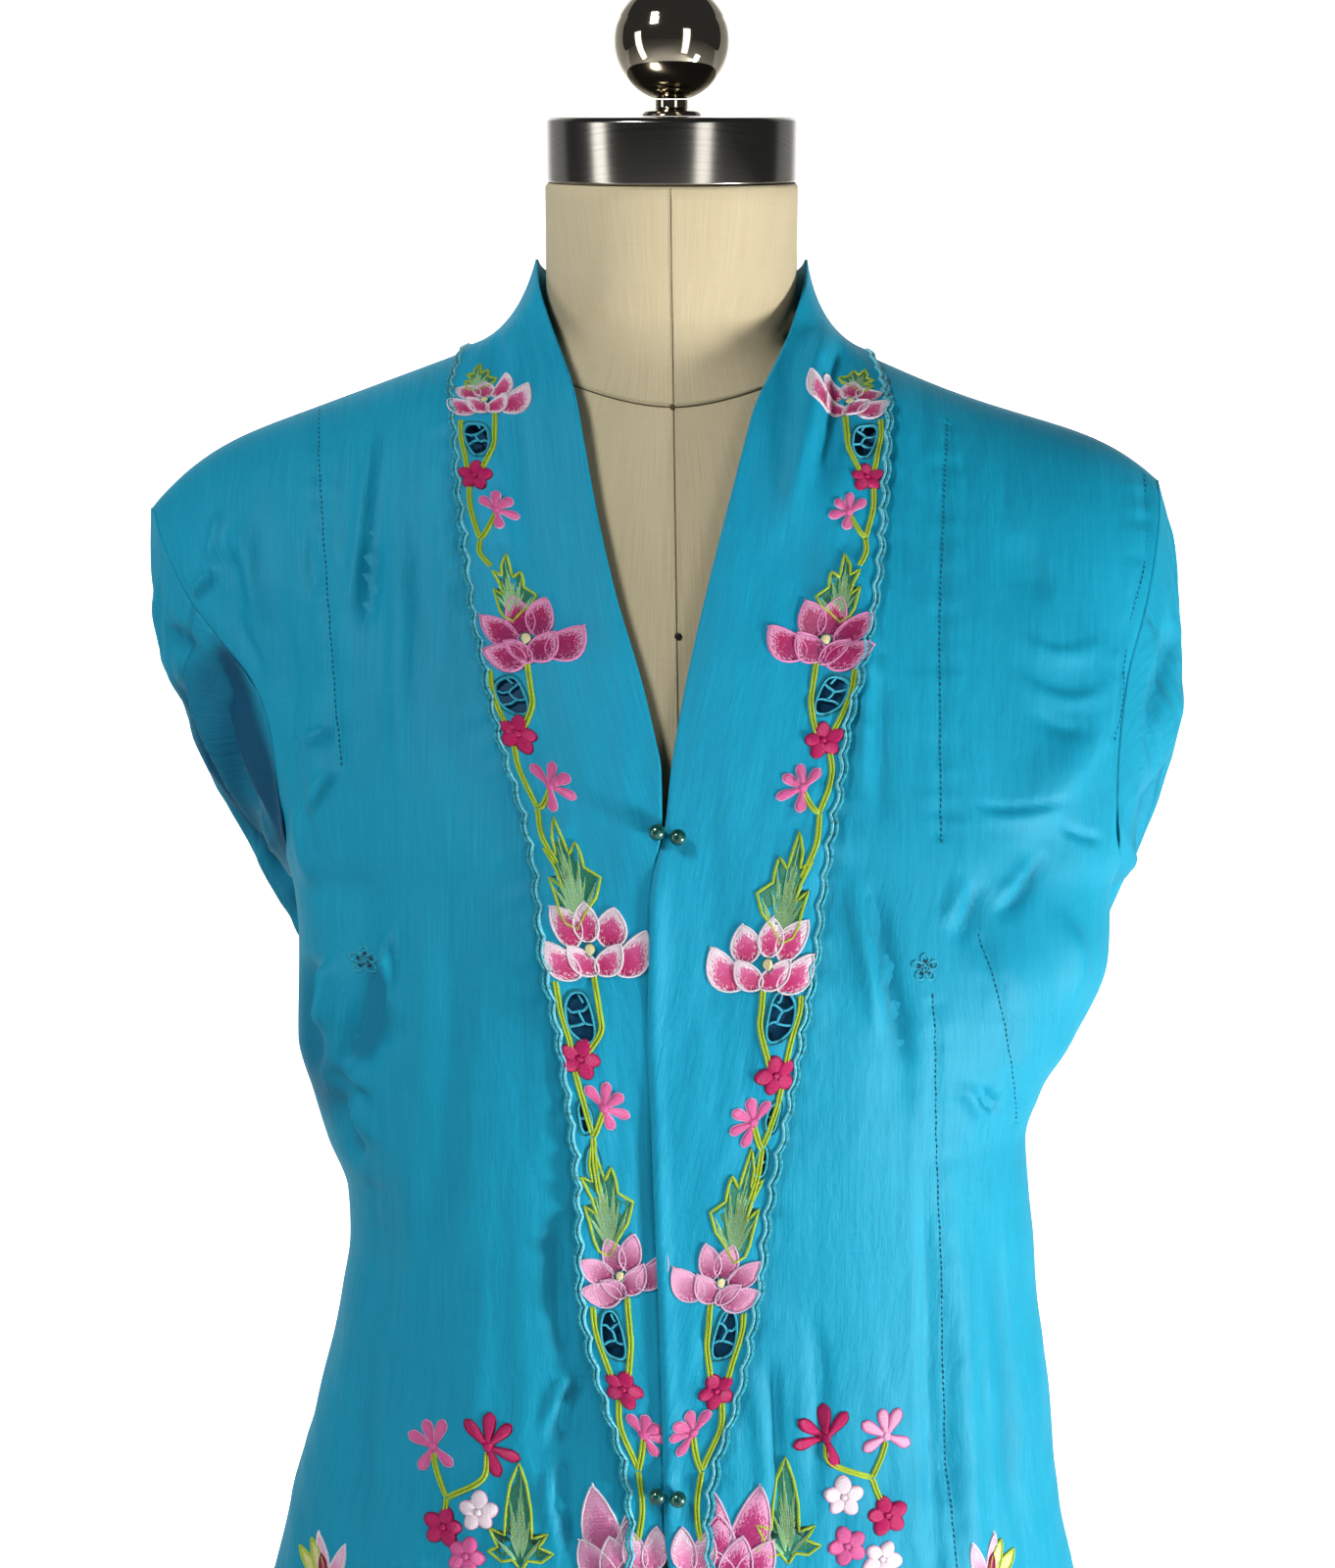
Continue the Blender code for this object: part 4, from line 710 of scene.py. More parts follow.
# Folds of the fronts, from the largest to fine pulls, as creases() reads them.
FRONT_CREASES = (
    # wearer's left front: chest, armhole and waist
    (144, 67, 159, 56, 174, 56, 190, 64, 0.9, 4, 8, 45),
    (142, 50, 157, 38.5, 173, 36, 192, 44, 1.1, 4, 8, 45),
    (150, 33, 164, 23.5, 180, 23, -0.8, 4, 6, 45),
    (196, 42, 178, 17, 148, -22, 2.2, 10, 22, 45),
    (122, -8, 145.4, -9.5, 172.2, -6.2, -0.7, 2, 4, 35),
    (122, -12, 145.4, -13.5, 172.2, -10.2, 0.7, 4, 6, 35),
    (163, -16.3, 176, -21.5, 187.1, -22.9, -1.1, 2.5, 4, 35),
    (131.9, -54.1, 143, -49, 152, -37, 160.6, -26.5, -2.4, 2.5, 6, 35),
    (133, -48, 143, -42, 154, -29, 1.6, 6, 4, 40),
    (117, -66, 123, -56, 127.8, -38.1, -2.4, 3, 5, 35),
    (111, -60, 118, -48, 121.5, -36, 1.4, 5, 3, 40),
    (80.7, -35.6, 88, -70, 96.6, -118.8, -3.4, 5, 7, 30),
    (74.5, -30, 80, -64, 87, -108, 2.2, 6, 6, 35),
    (128.3, -124.7, 133, -131, 137.9, -134.3, -2.6, 3, 4, 35),
    (120, -120, 125, -129, 133, -140, 1.6, 4, 6, 35),
    (83, 90, 81, 20, 79, -20, 1.6, 5, 7, 40),
    (88, 60, 86.5, 10, 87, -30, -1.4, 5, 6, 40),
    (104, -130, 107, -220, 111, -340, -1.4, 4, 6, 30),
    (120, -180, 123, -250, 130, -350, 2, 8, 10, 35),
    (136, -170, 142, -240, 148, -330, -2.4, 8, 8, 35),
    (56, -205, 62, -240, 59, -300, -1.8, 5, 6, 35),
    (40, -225, 43, -250, 44, -290, -2, 3, 5, 35),
    (33, -235, 40, -270, 38, -300, 1.4, 4, 4, 35),
    (160, -50, 170, -70, 173, -100, 2, 8, 10, 40),
    (150, 110, 155, 90, 165, 80, -1.2, 8, 10, 40),
    # wearer's right front
    (-150, 50, -147, 10, -133, -50, 1.8, 8, 8, 40),
    (-121.5, -70, -122.5, -86, -127.5, -101, -135, -121, -6.6, 12, 6, 25),
    (-115, -56, -114, -76, -117, -100, 3.6, 4, 8, 30),
    (-140, -70, -139.5, -88, -144, -106, 4, 6, 5, 30),
    (-150, -70, -152, -98, -147, -124, -5.2, 8, 7, 30),
    (-139, -125, -132, -142, -129, -162, -4, 5, 8, 30),
    (-118, -62, -112, -80, -109, -105, 2.2, 6, 6, 35),
    (-136, -124, -128, -138, -118, -150, 2.4, 6, 8, 35),
    (-142, -115, -132, -127, -120, -133, -2.6, 5, 6, 35),
    (-108, -130, -104, -190, -110, -260, 1.6, 8, 10, 40),
    (-88, -30, -86, -110, -90, -200, -1.2, 8, 10, 40),
    (-32.9, -237.6, -40, -252, -45.9, -269.3, -3.4, 3, 6, 25),
    (-38, -236, -45, -250, -51, -266, 1.6, 6, 4, 30),
    (-42.7, -271.1, -43.2, -290, -37.9, -311.8, -3.4, 3, 5, 25),
    (-47, -271.1, -48, -290, -43, -311.8, 1.4, 4, 4, 30),
    (-98, 150, -93, 90, -90, 30, 1, 8, 8, 40),
    (-120, 156, -122, 110, -125, 60, -1, 7, 9, 40),
    (-170, 90, -164, 60, -156, 20, -2, 7, 10, 40),
    (-185, 120, -180, 90, -174, 65, 2.2, 8, 10, 40),
    (-195, 90, -182, 60, -172, 35, -2.8, 6, 8, 40),
    (-125, -220, -130, -270, -135, -340, -2, 9, 10, 40),
    (-189.6, 104, -186, 87, -183, 68, -3.6, 7, 8, 35),
    (-208, 79, -201, 86, -195, 93.5, 3, 4, 4, 35),
    (-200, 93, -196, 108, -194, 121, 1.8, 3, 5, 35),
    (-124.5, 163, -128.6, 122, -129.8, 97.7, -133.9, 65.1, 1.6, 4, 6, 30),
    (-126.2, 110, -125, 85, -126.5, 60, -2.2, 5, 6, 35),
    (-152.5, 108, -150, 90, -148, 76, -1.6, 5, 6, 35),
    (-152, 17, -144, 20.5, -137.8, 23, 2.4, 4, 5, 35),
    (-137, 8, -142, -2, -147.5, -13.5, 2.4, 3, 6, 35),
    (-112, 120, -110.5, 40, -109, -30, 1.2, 6, 8, 35),
    (-156, -5, -152, -25, -145, -48, 2, 6, 7, 35),
    (-45, -170, -44, -205, -40, -242, -3, 5, 7, 30),
    # both hems
    (-98, -320, -102, -360, -105, -410, 2.4, 10, 12, 40),
    (-60, -330, -64, -380, -60, -430, -2.2, 9, 10, 40),
    (64, -330, 66, -380, 62, -430, -2.2, 9, 10, 40),
    (95, -320, 100, -360, 102, -410, 2.4, 10, 12, 40),
)
BACK_CREASES = (
    (20, 120, 70, 90, 130, 80, -1.6, 8, 10, 40),
    (-20, 120, -75, 94, -135, 85, -1.6, 8, 10, 40),
    (50, 0, 90, -20, 150, -20, 1.6, 8, 10, 40),
    (-50, 0, -95, -24, -140, -22, 1.6, 8, 10, 40),
    (10, -110, 60, -130, 110, -120, -2.4, 6, 8, 35),
    (-10, -120, -60, -136, -105, -126, -2.4, 6, 8, 35),
    (15, -150, 60, -168, 100, -160, 1.8, 6, 8, 35),
    (-15, -158, -60, -172, -95, -165, 1.8, 6, 8, 35),
    (40, -200, 45, -280, 55, -370, 2.2, 10, 14, 40),
    (-40, -200, -50, -290, -55, -370, 2.2, 10, 14, 40),
    (110, -230, 118, -300, 125, -380, -2.2, 10, 12, 40),
    (-100, -230, -110, -300, -120, -380, -2.2, 10, 12, 40),
)

# Seams and darts, as x and level in turn: the cloth dips into them and puckers beside them.
FRONT_SEAMS = (
    (-154.5, 169, -150.4, 139.5, -147.5, 117, -143.7, 82.6, -137.1, 24.5, -135, 6.1),
    (122.2, 159.7, 118.3, 125, 113.6, 61.1, 112.1, -23.9),
    (107.5, -85, 109.5, -120, 113.1, -241.5, 118.1, -321.3, 121, -370),
    (-129, -85, -124.5, -120, -123, -190, -125, -260, -129, -370),
    (127.9, -60.8, 140, -105, 148.2, -144.8),
    (212, 138, 208.5, 101, 199, 68, 194.5, 42, 190, 17),
)
BACK_SEAMS = (
    (0, 180, 0, 0, 0, -180, 0, -375),
    (78, 60, 72, -100, 80, -300),
    (-78, 60, -72, -100, -80, -300),
)


def seam_dips(table, x, z):
    """Seams drawn in: a groove with small puckers on both sides."""
    total = np.zeros(np.broadcast(x, z).shape)
    for path in table:
        total += creases([(*path, -0.7, 3, 3, 2)], x, z)
        near = creases([(*path, MARK, 9, 9, 5)], x, z)
        total += near * 0.00045 * ripple(x, z, 0.030, 0.0055, 5)
    return total


DEEPEST = -0.0050        # no fold goes further in, because the form is there
EDGE_LEVELS = np.linspace(-0.45, 0.20, 140)


def edge_table(side):
    """How far out the lapel's edge lies at each level."""
    band = BAND[side]
    down = np.interp(-EDGE_LEVELS, -band.level, band.down)
    (_, _, outer), _, _ = band.edge_points(down)
    return outer[..., 0]


LAPEL_EDGES = {-1: edge_table(-1), 1: edge_table(1)}


def edge_puckers(x, level):
    """Short pulls that the dense stitching of a lapel's edge makes in the cloth beside it."""
    total = np.zeros(np.broadcast(x, level).shape)
    for side, edge in LAPEL_EDGES.items():
        away = (x - np.interp(level, EDGE_LEVELS, edge)) * side
        reach = 0.010 + 0.006 * ripple(level, level * 0, 0.030, 1, 7 + side)
        near = np.exp(-((np.maximum(away, 0) / np.maximum(reach, 0.003)) ** 2)) * (away > -0.02)
        total = total + near * 0.00085 * ripple(level + 0.35 * away, away, 0.0062, 0.020, 9 + side)
    return total


def no_deeper(move):
    """Folds that flatten softly towards the deepest place."""
    return np.where(move < 0, DEEPEST * np.tanh(move / DEEPEST), move)


def front_relief(x, level):
    """How far the fronts' cloth stands off the plain body surface."""
    move = folds(FRONT_FOLDS, x, level) * 0.55
    move = move + 1.7 * creases(FRONT_CREASES, x, level, 0.66) + 1.4 * seam_dips(FRONT_SEAMS, x, level)
    move = move + 0.00140 * ripple(x + 0.25 * level, level, 0.024, 0.070, 1)
    move = move + 0.00055 * ripple(x, level, 0.0085, 0.060, 2) + edge_puckers(x, level)
    fine = 0.0007 * ripple(x, level, 0.010, 0.060, 3) + 0.0005 * ripple(x, level, 0.005, 0.014, 4)
    move = move + ease((-0.21 - level) / 0.06) * fine
    return no_deeper(move) * ease((ridge(x) - level) / 0.02)


def back_relief(x, level):
    move = folds(BACK_FOLDS, x, level) * 0.6
    move = move + 1.5 * creases(BACK_CREASES, x, level) + 1.4 * seam_dips(BACK_SEAMS, x, level)
    move = move + 0.0011 * ripple(x, level, 0.028, 0.060, 11) + 0.0004 * ripple(x, level, 0.008, 0.045, 12)
    return no_deeper(move) * ease((ridge(x) - level) / 0.02)


def skin_normal(x, level, back=False):
    """Outward direction of the plain body surface."""
    e = 0.0004
    sx = (body(x + e, level, back) - body(x - e, level, back)) / (2 * e)
    sz = (body(x, level + e, back) - body(x, level - e, back)) / (2 * e)
    out = np.stack([sx, -np.ones_like(sx), sz], axis=-1)
    return unit(out) * (-1 if back else 1)


def front_place(x, level, off=0.0):
    """A place on a front, 'off' metres off its cloth."""
    at = np.stack([x, body(x, level), level], axis=-1)
    return at + skin_normal(x, level) * np.asarray(off + front_relief(x, level))[..., None]


SHELL_STEP = 3           # the inner skin of a wall has every third point, each way


def shell(name, outer, inward, wall=WALL, closed=False):
    """A thin wall as one closed mesh: a fine outer skin, and an inner skin with a third of
    its points each way."""
    rows, columns = outer.shape[:2]
    step = SHELL_STEP
    inner = (outer + inward * wall)[::step, ::step]
    low_rows, low_columns = inner.shape[:2]
    count = rows * columns
    faces = grid_faces(rows, columns, 0, closed)
    faces += grid_faces(low_rows, low_columns, count, closed, flip=True)

    def join(fine, coarse):
        for k in range(len(coarse) - 1):
            a, b = coarse[k], coarse[k + 1]
            part = fine[k * step:k * step + step + 1]
            for i, (p, q) in enumerate(zip(part, part[1:])):
                faces.append((p, q, a if i < 2 else b))
            faces.append((part[2], b, a))

    def row(r, back=False):
        last = [0] if closed else []
        fine = [r * columns + c for c in list(range(columns)) + last]
        at = count + (r // step) * low_columns
        coarse = [at + c for c in list(range(low_columns)) + last]
        join(fine[::-1] if back else fine, coarse[::-1] if back else coarse)

    def column(c, back=False):
        fine = [r * columns + c for r in range(rows)]
        coarse = [count + r * low_columns + c // step for r in range(low_rows)]
        join(fine[::-1] if back else fine, coarse[::-1] if back else coarse)

    row(0)
    row(rows - 1, True)
    if not closed:
        column(columns - 1)
        column(0, True)
    points = np.concatenate([outer.reshape(-1, 3), inner.reshape(-1, 3)])
    return make(name, points, faces)


def make(name, points, faces, lift=True):
    """A mesh object; levels become heights above the floor."""
    points = np.asarray(points, float).reshape(-1, 3)
    if lift:
        points = points + np.array([0, 0, DATUM])
    mesh = bpy.data.meshes.new(name)
    mesh.from_pydata([tuple(p) for p in points], [], faces)
    mesh.update()
    mesh.calc_loop_triangles()
    corners = np.zeros(len(mesh.loop_triangles) * 3, dtype=np.int32)
    mesh.loop_triangles.foreach_get("vertices", corners)
    a, b, c = (points[corners.reshape(-1, 3)[:, k]] for k in range(3))
    volume = np.einsum("ij,ij->i", a - points.mean(axis=0), np.cross(b - a, c - a)).sum()
    if volume < 0:
        mesh.flip_normals()
    mesh.shade_smooth()
    return in_scene(name, mesh)


def in_scene(name, data):
    """An object that holds this data, linked to the scene."""
    made = bpy.data.objects.new(name, data)
    bpy.context.scene.collection.objects.link(made)
    return made


def add_uv(piece, name, values):
    """A UV map from one value per point."""
    mesh = piece.data
    layer = mesh.uv_layers.new(name=name)
    corners = np.zeros(len(mesh.loops), dtype=np.int32)
    mesh.loops.foreach_get("vertex_index", corners)
    layer.data.foreach_set("uv", np.asarray(values, np.float32)[corners].ravel())


def add_value(piece, name, values):
    layer = piece.data.attributes.new(name, "FLOAT", "POINT")
    layer.data.foreach_set("value", np.asarray(values, np.float32).ravel())


def add_colour(piece, name, values):
    layer = piece.data.attributes.new(name, "FLOAT_COLOR", "POINT")
    layer.data.foreach_set("color", np.asarray(values, np.float32).ravel())


# Materials.

def srgb(r, g, b):
    """A linear colour from its 0-255 values."""
    def linear(v):
        v = v / 255
        return v / 12.92 if v <= 0.04045 else ((v + 0.055) / 1.055) ** 2.4
    return (linear(r), linear(g), linear(b), 1.0)


def group(name, setting, value, outputs):
    """A node group from a vector and one setting to some values, with its two ends."""
    made = bpy.data.node_groups.new(name, "ShaderNodeTree")
    made.interface.new_socket("Vector", in_out="INPUT", socket_type="NodeSocketVector")
    made.interface.new_socket(setting, in_out="INPUT", socket_type="NodeSocketFloat").default_value = value
    for label in outputs:
        made.interface.new_socket(label, in_out="OUTPUT", socket_type="NodeSocketFloat")
    n = Nodes(made)
    return made, n, n.add("NodeGroupInput").outputs, n.add("NodeGroupOutput").inputs


class Nodes:
    """Short calls for building a node tree."""

    def __init__(self, tree):
        self.tree = tree

    def add(self, kind, **values):
        node = self.tree.nodes.new(kind)
        for key, value in values.items():
            setattr(node, key, value)
        return node

    def put(self, socket, value):
        if hasattr(value, "is_output"):
            self.tree.links.new(value, socket)
        else:
            socket.default_value = value

    def math(self, operation, a, b=0.0, c=0.0):
        node = self.add("ShaderNodeMath", operation=operation)
        for k, value in enumerate((a, b, c)):
            self.put(node.inputs[k], value)
        return node.outputs[0]

    def wave(self, turns):
        return self.math("SINE", self.math("MULTIPLY", turns, math.tau))

    def stretched(self, vector, x, y, z=1.0):
        node = self.add("ShaderNodeVectorMath", operation="MULTIPLY")
        self.put(node.inputs[0], vector)
        node.inputs[1].default_value = (x, y, z)
        return node.outputs[0]

    def noise(self, vector, scale, detail=2.0, rough=0.5):
        node = self.add("ShaderNodeTexNoise")
        self.put(node.inputs["Vector"], vector)
        node.inputs["Scale"].default_value = scale
        node.inputs["Detail"].default_value = detail
        node.inputs["Roughness"].default_value = rough
        return node.outputs["Fac"]

    def ramp(self, value, stops):
        node = self.add("ShaderNodeValToRGB")
        self.put(node.inputs[0], value)
        while len(node.color_ramp.elements) < len(stops):
            node.color_ramp.elements.new(0.5)
        for element, (at, shade) in zip(node.color_ramp.elements, stops):
            element.position = at
            element.color = shade if len(shade) == 4 else (*shade, 1.0)
        return node.outputs["Color"]

    def mix(self, share, a, b, blend="MIX"):
        node = self.add("ShaderNodeMix", data_type="RGBA", blend_type=blend)
        self.put(node.inputs[0], share)
        self.put(node.inputs[6], a)
        self.put(node.inputs[7], b)
        return node.outputs[2]

    def range(self, value, low, high, to_low, to_high):
        node = self.add("ShaderNodeMapRange")
        self.put(node.inputs[0], value)
        for k, v in enumerate((low, high, to_low, to_high), 1):
            node.inputs[k].default_value = v
        return node.outputs[0]

    def bump(self, height, distance, strength=1.0, normal=None):
        node = self.add("ShaderNodeBump")
        node.inputs["Strength"].default_value = strength
        node.inputs["Distance"].default_value = distance
        self.put(node.inputs["Height"], height)
        if normal is not None:
            self.put(node.inputs["Normal"], normal)
        return node.outputs["Normal"]


def weave_group():
    """Plain weave: fine threads down and across, with slubs. Coordinates in metres."""
    made, n, start, end = group("plain weave", "Threads", 2400.0, ("Height", "Slub", "Cloud"))
    vector = start["Vector"]
    split = n.add("ShaderNodeSeparateXYZ")
    n.put(split.inputs[0], vector)
    u = n.math("MULTIPLY_ADD", n.noise(vector, 60.0), 0.0012, split.outputs[0])
    down = n.wave(n.math("MULTIPLY", u, start["Threads"]))
    across = n.wave(n.math("MULTIPLY", split.outputs[1], start["Threads"]))
    both = n.math("MULTIPLY", down, across)
    warp = n.noise(n.stretched(vector, 1500, 26), 1.0, 3.0, 0.6)
    weft = n.noise(n.stretched(vector, 30, 1300), 1.0)
    slub = n.math("ADD", n.math("MULTIPLY", warp, 0.84), n.math("MULTIPLY", weft, 0.16))
    n.put(end["Height"], n.math("MULTIPLY_ADD", both, 0.12, slub))
    n.put(end["Slub"], slub)
    n.put(end["Cloud"], n.noise(vector, 9.0, 3.0, 0.55))
    return made


def thread_group():
    """Satin stitches: rows of thread across a strip or petal. Coordinates in millimetres."""
    made, n, start, end = group("satin stitches", "Pitch", 0.55, ("Height", "Shade"))
    vector = start["Vector"]
    split = n.add("ShaderNodeSeparateXYZ")
    n.put(split.inputs[0], vector)
    v = n.math("MULTIPLY_ADD", split.outputs[0], 0.25, split.outputs[1])
    v = n.math("MULTIPLY_ADD", n.noise(vector, 0.9), 0.5, v)
    height = n.math("MULTIPLY_ADD", n.wave(n.math("DIVIDE", v, start["Pitch"])), 0.5, 0.5)
    fine = n.noise(n.stretched(vector, 1.2, 6.0), 1.0)
    n.put(end["Height"], n.math("MULTIPLY_ADD", fine, 0.8, height))
    # 'Shade' is painted shade: darker between the rows of thread, lighter on their crowns, with some random
    # tone from the fine noise
    n.put(end["Shade"], n.math("MULTIPLY_ADD", n.math("MULTIPLY", height, fine), 0.95, 0.62))
    return made


WEAVE = weave_group()
THREADS = thread_group()


def new_material(name):
    made = bpy.data.materials.new(name)
    made.use_nodes = True
    n = Nodes(made.node_tree)
    return made, n, made.node_tree.nodes["Principled BSDF"]


def settle(shader, **values):
    """Constants on the shader's own sockets; an underscore in a name stands for a space."""
    for name, value in values.items():
        shader.inputs[name.replace("_", " ")].default_value = value


def attribute(n, name, output="Fac"):
    return n.add("ShaderNodeAttribute", attribute_name=name).outputs[output]


def object_place(n):
    return n.add("ShaderNodeTexCoord").outputs["Object"]


def uv_vector(n, name):
    node = n.add("ShaderNodeUVMap")
    node.uv_map = name
    return node.outputs[0]


def use_group(n, made, vector, **values):
    node = n.add("ShaderNodeGroup")
    node.node_tree = made
    n.put(node.inputs["Vector"], vector)
    for key, value in values.items():
        node.inputs[key].default_value = value
    return node


def cotton(name, base, deep, light):
    """Plain-woven cotton, with painted shade in dark navy where a mark says it lies under a lapel or in a
    fold.
    """
    made, n, shader = new_material(name)
    weave = use_group(n, WEAVE, uv_vector(n, "cloth"))
    shade = n.range(weave.outputs["Slub"], 0.36, 0.64, 0.0, 1.0)
    tint = n.mix(n.math("MULTIPLY", shade, 0.3), base, light)
    cloud = n.range(weave.outputs["Cloud"], 0.35, 0.65, 0.0, 0.22)
    tint = n.mix(cloud, tint, deep)
    # painted shade: marked cloth turns dark navy, as if in shadow
    painted_shade = attribute(n, "painted_shade")
    tint = n.mix(painted_shade, tint, srgb(0, 62, 92))
    n.put(shader.inputs["Base Color"], tint)
    settle(shader, Roughness=0.60, Specular_IOR_Level=0.26, Sheen_Weight=0.08, Sheen_Roughness=0.4,
           Sheen_Tint=srgb(120, 225, 255))
    crumple = n.noise(n.stretched(uv_vector(n, "cloth"), 190, 70), 1.0, 3.0, 0.55)
    soft = n.bump(crumple, 0.0014, 0.45)
    n.put(shader.inputs["Normal"], n.bump(weave.outputs["Height"], 0.00014, 0.8, soft))
    return made


def threads(name):
    """All stitching: the colour comes from each stitched patch."""
    made, n, shader = new_material(name)
    satin = use_group(n, THREADS, uv_vector(n, "thread"))
    one = attribute(n, "dye", "Color")
    two = attribute(n, "dye_two", "Color")
    share = attribute(n, "mottle")
    speck = n.noise(n.stretched(uv_vector(n, "thread"), 1.5, 0.55), 1.0, 3.0, 0.72)
    far = n.math("ADD", speck, n.math("SUBTRACT", share, 0.5))
    mask = n.range(far, 0.46, 0.54, 0.0, 1.0)
    tint = n.mix(mask, one, two)
    # the satin's painted shade darkens the dye between the rows of thread
    shade = n.add("ShaderNodeCombineColor")
    for k in range(3):
        n.put(shade.inputs[k], satin.outputs["Shade"])
    tint = n.mix(1.0, tint, shade.outputs[0], "MULTIPLY")
    n.put(shader.inputs["Base Color"], tint)
    settle(shader, Roughness=0.46, Specular_IOR_Level=0.5, Sheen_Weight=0.04)
    rough = n.math("ADD", satin.outputs["Height"], n.math("MULTIPLY", speck, 1.2))
    n.put(shader.inputs["Normal"], n.bump(rough, 0.00026, 0.9))
    return made


def linen_cloth():
    made, n, shader = new_material("linen cover")
    weave = use_group(n, WEAVE, uv_vector(n, "cloth"), Threads=1500.0)
    base = n.ramp(weave.outputs["Slub"], [(0.30, srgb(178, 165, 135)), (0.5, srgb(190, 177, 148)),
                                          (0.70, srgb(200, 189, 161))])
    cloud = n.range(weave.outputs["Cloud"], 0.35, 0.65, 0.0, 0.25)
    n.put(shader.inputs["Base Color"], n.mix(cloud, base, srgb(174, 160, 130)))
    settle(shader, Roughness=0.9, Specular_IOR_Level=0.2, Sheen_Weight=0.15)
    n.put(shader.inputs["Normal"], n.bump(weave.outputs["Height"], 0.0003, 0.6))
    return made


def steel(name, tone, rough, streaks=(1, 1, 900), wear=0.12):
    """Brushed steel with fine lines; 'streaks' is how fast they change along X, Y and Z."""
    made, n, shader = new_material(name)
    where = object_place(n)
    lines = n.noise(n.stretched(where, *streaks), 1.0, 3.0, 0.6)
    cloud = n.noise(where, 30.0, 2.0)
    tint = n.ramp(lines, [(0.3, tuple(0.8 * v for v in tone[:3])), (0.7, tone)])
    n.put(shader.inputs["Base Color"], tint)
    settle(shader, Metallic=1.0)
    rough = n.math("MULTIPLY_ADD", cloud, 0.08, rough)
    n.put(shader.inputs["Roughness"], n.math("MULTIPLY_ADD", lines, wear, rough))
    settle(shader, Anisotropic=0.6)
    n.put(shader.inputs["Normal"], n.bump(lines, 0.00002, 0.25))
    return made


def chrome_metal():
    made, n, shader = new_material("polished chrome")
    where = object_place(n)
    smear = n.noise(where, 40.0, 3.0)
    settle(shader, Base_Color=srgb(190, 180, 162), Metallic=1.0)
    n.put(shader.inputs["Roughness"], n.range(smear, 0.3, 0.7, 0.03, 0.09))
    return made


def pearl():
    made, n, shader = new_material("green pearl")
    where = object_place(n)
    cloud = n.noise(where, 500.0, 2.0)
    n.put(shader.inputs["Base Color"], n.ramp(cloud, [(0.35, srgb(8, 58, 56)), (0.65, srgb(34, 104, 92))]))
    settle(shader, Roughness=0.28, Metallic=0.35, Coat_Weight=1.0, Coat_Roughness=0.06)
    return made


def seam_thread(tint):
    made, n, shader = new_material("seam thread")
    where = object_place(n)
    twist = n.noise(where, 2500.0, 2.0)
    dark = tuple(0.7 * v for v in tint[:3])
    n.put(shader.inputs["Base Color"], n.ramp(twist, [(0.35, dark), (0.65, tint)]))
    settle(shader, Roughness=0.6)
    n.put(shader.inputs["Normal"], n.bump(twist, 0.0001, 0.5))
    return made


COTTON = cotton("turquoise cotton", srgb(10, 132, 160), srgb(2, 98, 128), srgb(32, 166, 194))
LAPEL_COTTON = cotton("lapel cotton", srgb(14, 136, 166), srgb(4, 104, 136), srgb(36, 170, 200))
THREAD = threads("embroidery thread")
SEAM_THREAD = seam_thread(srgb(12, 84, 112))
LINEN = linen_cloth()
STEEL = steel("brushed steel", srgb(164, 160, 152), 0.10, wear=0.05)
BASE_STEEL = steel("base steel", srgb(176, 175, 172), 0.30, (500, 500, 1))
CHROME = chrome_metal()
PEARL = pearl()


# The cloth.

# Where painted shade darkens a broad fold: beside the wearer's right waist and right armhole.
WAIST_SHADE = ((-164, -70, -159, -100, -148, -130, -138, -150, MARK, 14, 20, 25),)
ARM_SHADE = ((-206, 64, -197.5, 40, -186.5, 15, -173, -15, -161, -43, MARK, 20, 20, 15),)


def front_cloth(side, name):
    x, level, y = finer_panel(front_grid(side), *FRONT_FINER)
    across = np.linspace(0, 1, x.shape[1])[None, :]
    move = front_relief(x, level) * ease((1 - across) / 0.10)
    band = BAND[side]
    down = np.interp(-level, -band.level, band.down)
    (inner, _, outer), _, _ = band.edge_points(down)
    under = (outer[..., 0] - x) * side
    wide = (outer[..., 0] - inner[..., 0]) * side
    reach = np.minimum(0.0185, 0.70 * wide)
    # painted shade: dark navy where the front lies under its lapel, seen through the cutwork, and deep in
    # the folds
    painted_shade = ease((under - 0.004) / 0.002) * ease((reach - under) / 0.002) * (level < 0.17)
    shaded = ease((-0.0022 - move) / 0.0030) * ease(-under / 0.008) * ease((0.02 - level) / 0.04)
    shaded = (0.42 if side < 0 else 0.25) * shaded
    # painted shade of a broad fold by the wearer's right waist
    if side < 0:
        shaded = np.maximum(shaded, 0.5 * creases(WAIST_SHADE, x, level))
    # the painted shade of the folds fades out towards the side seam
    painted_shade = np.maximum(painted_shade, shaded * ease((-0.020 - y) / 0.045))
    # above the chest the front keeps clear of the lapel on it
    move = move - 0.0030 * ease((under - 0.004) / 0.006) * ease((level - 0.04) / 0.03)
    points = np.stack([x, y, level], axis=-1) + skin_normal(x, level) * move[..., None]
    inward = -grid_normals(points)
    inward *= np.sign(inward[:, 10:60, 1].sum())
    inward[0, :, 1] = 0
    made = shell(name, points, unit(inward))
    finish_cloth(made, x[:, :1] + side * round_length(points), level, painted_shade, COTTON)
    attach(made, "root")
    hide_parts(name.replace("_cloth", ""))
    return made


def round_length(points):
    """How far round the body each point of a panel lies from its first column."""
    steps = np.hypot(np.diff(points[..., 0], axis=1), np.diff(points[..., 1], axis=1))
    return np.concatenate([np.zeros((len(points), 1)), np.cumsum(steps, axis=1)], axis=1)


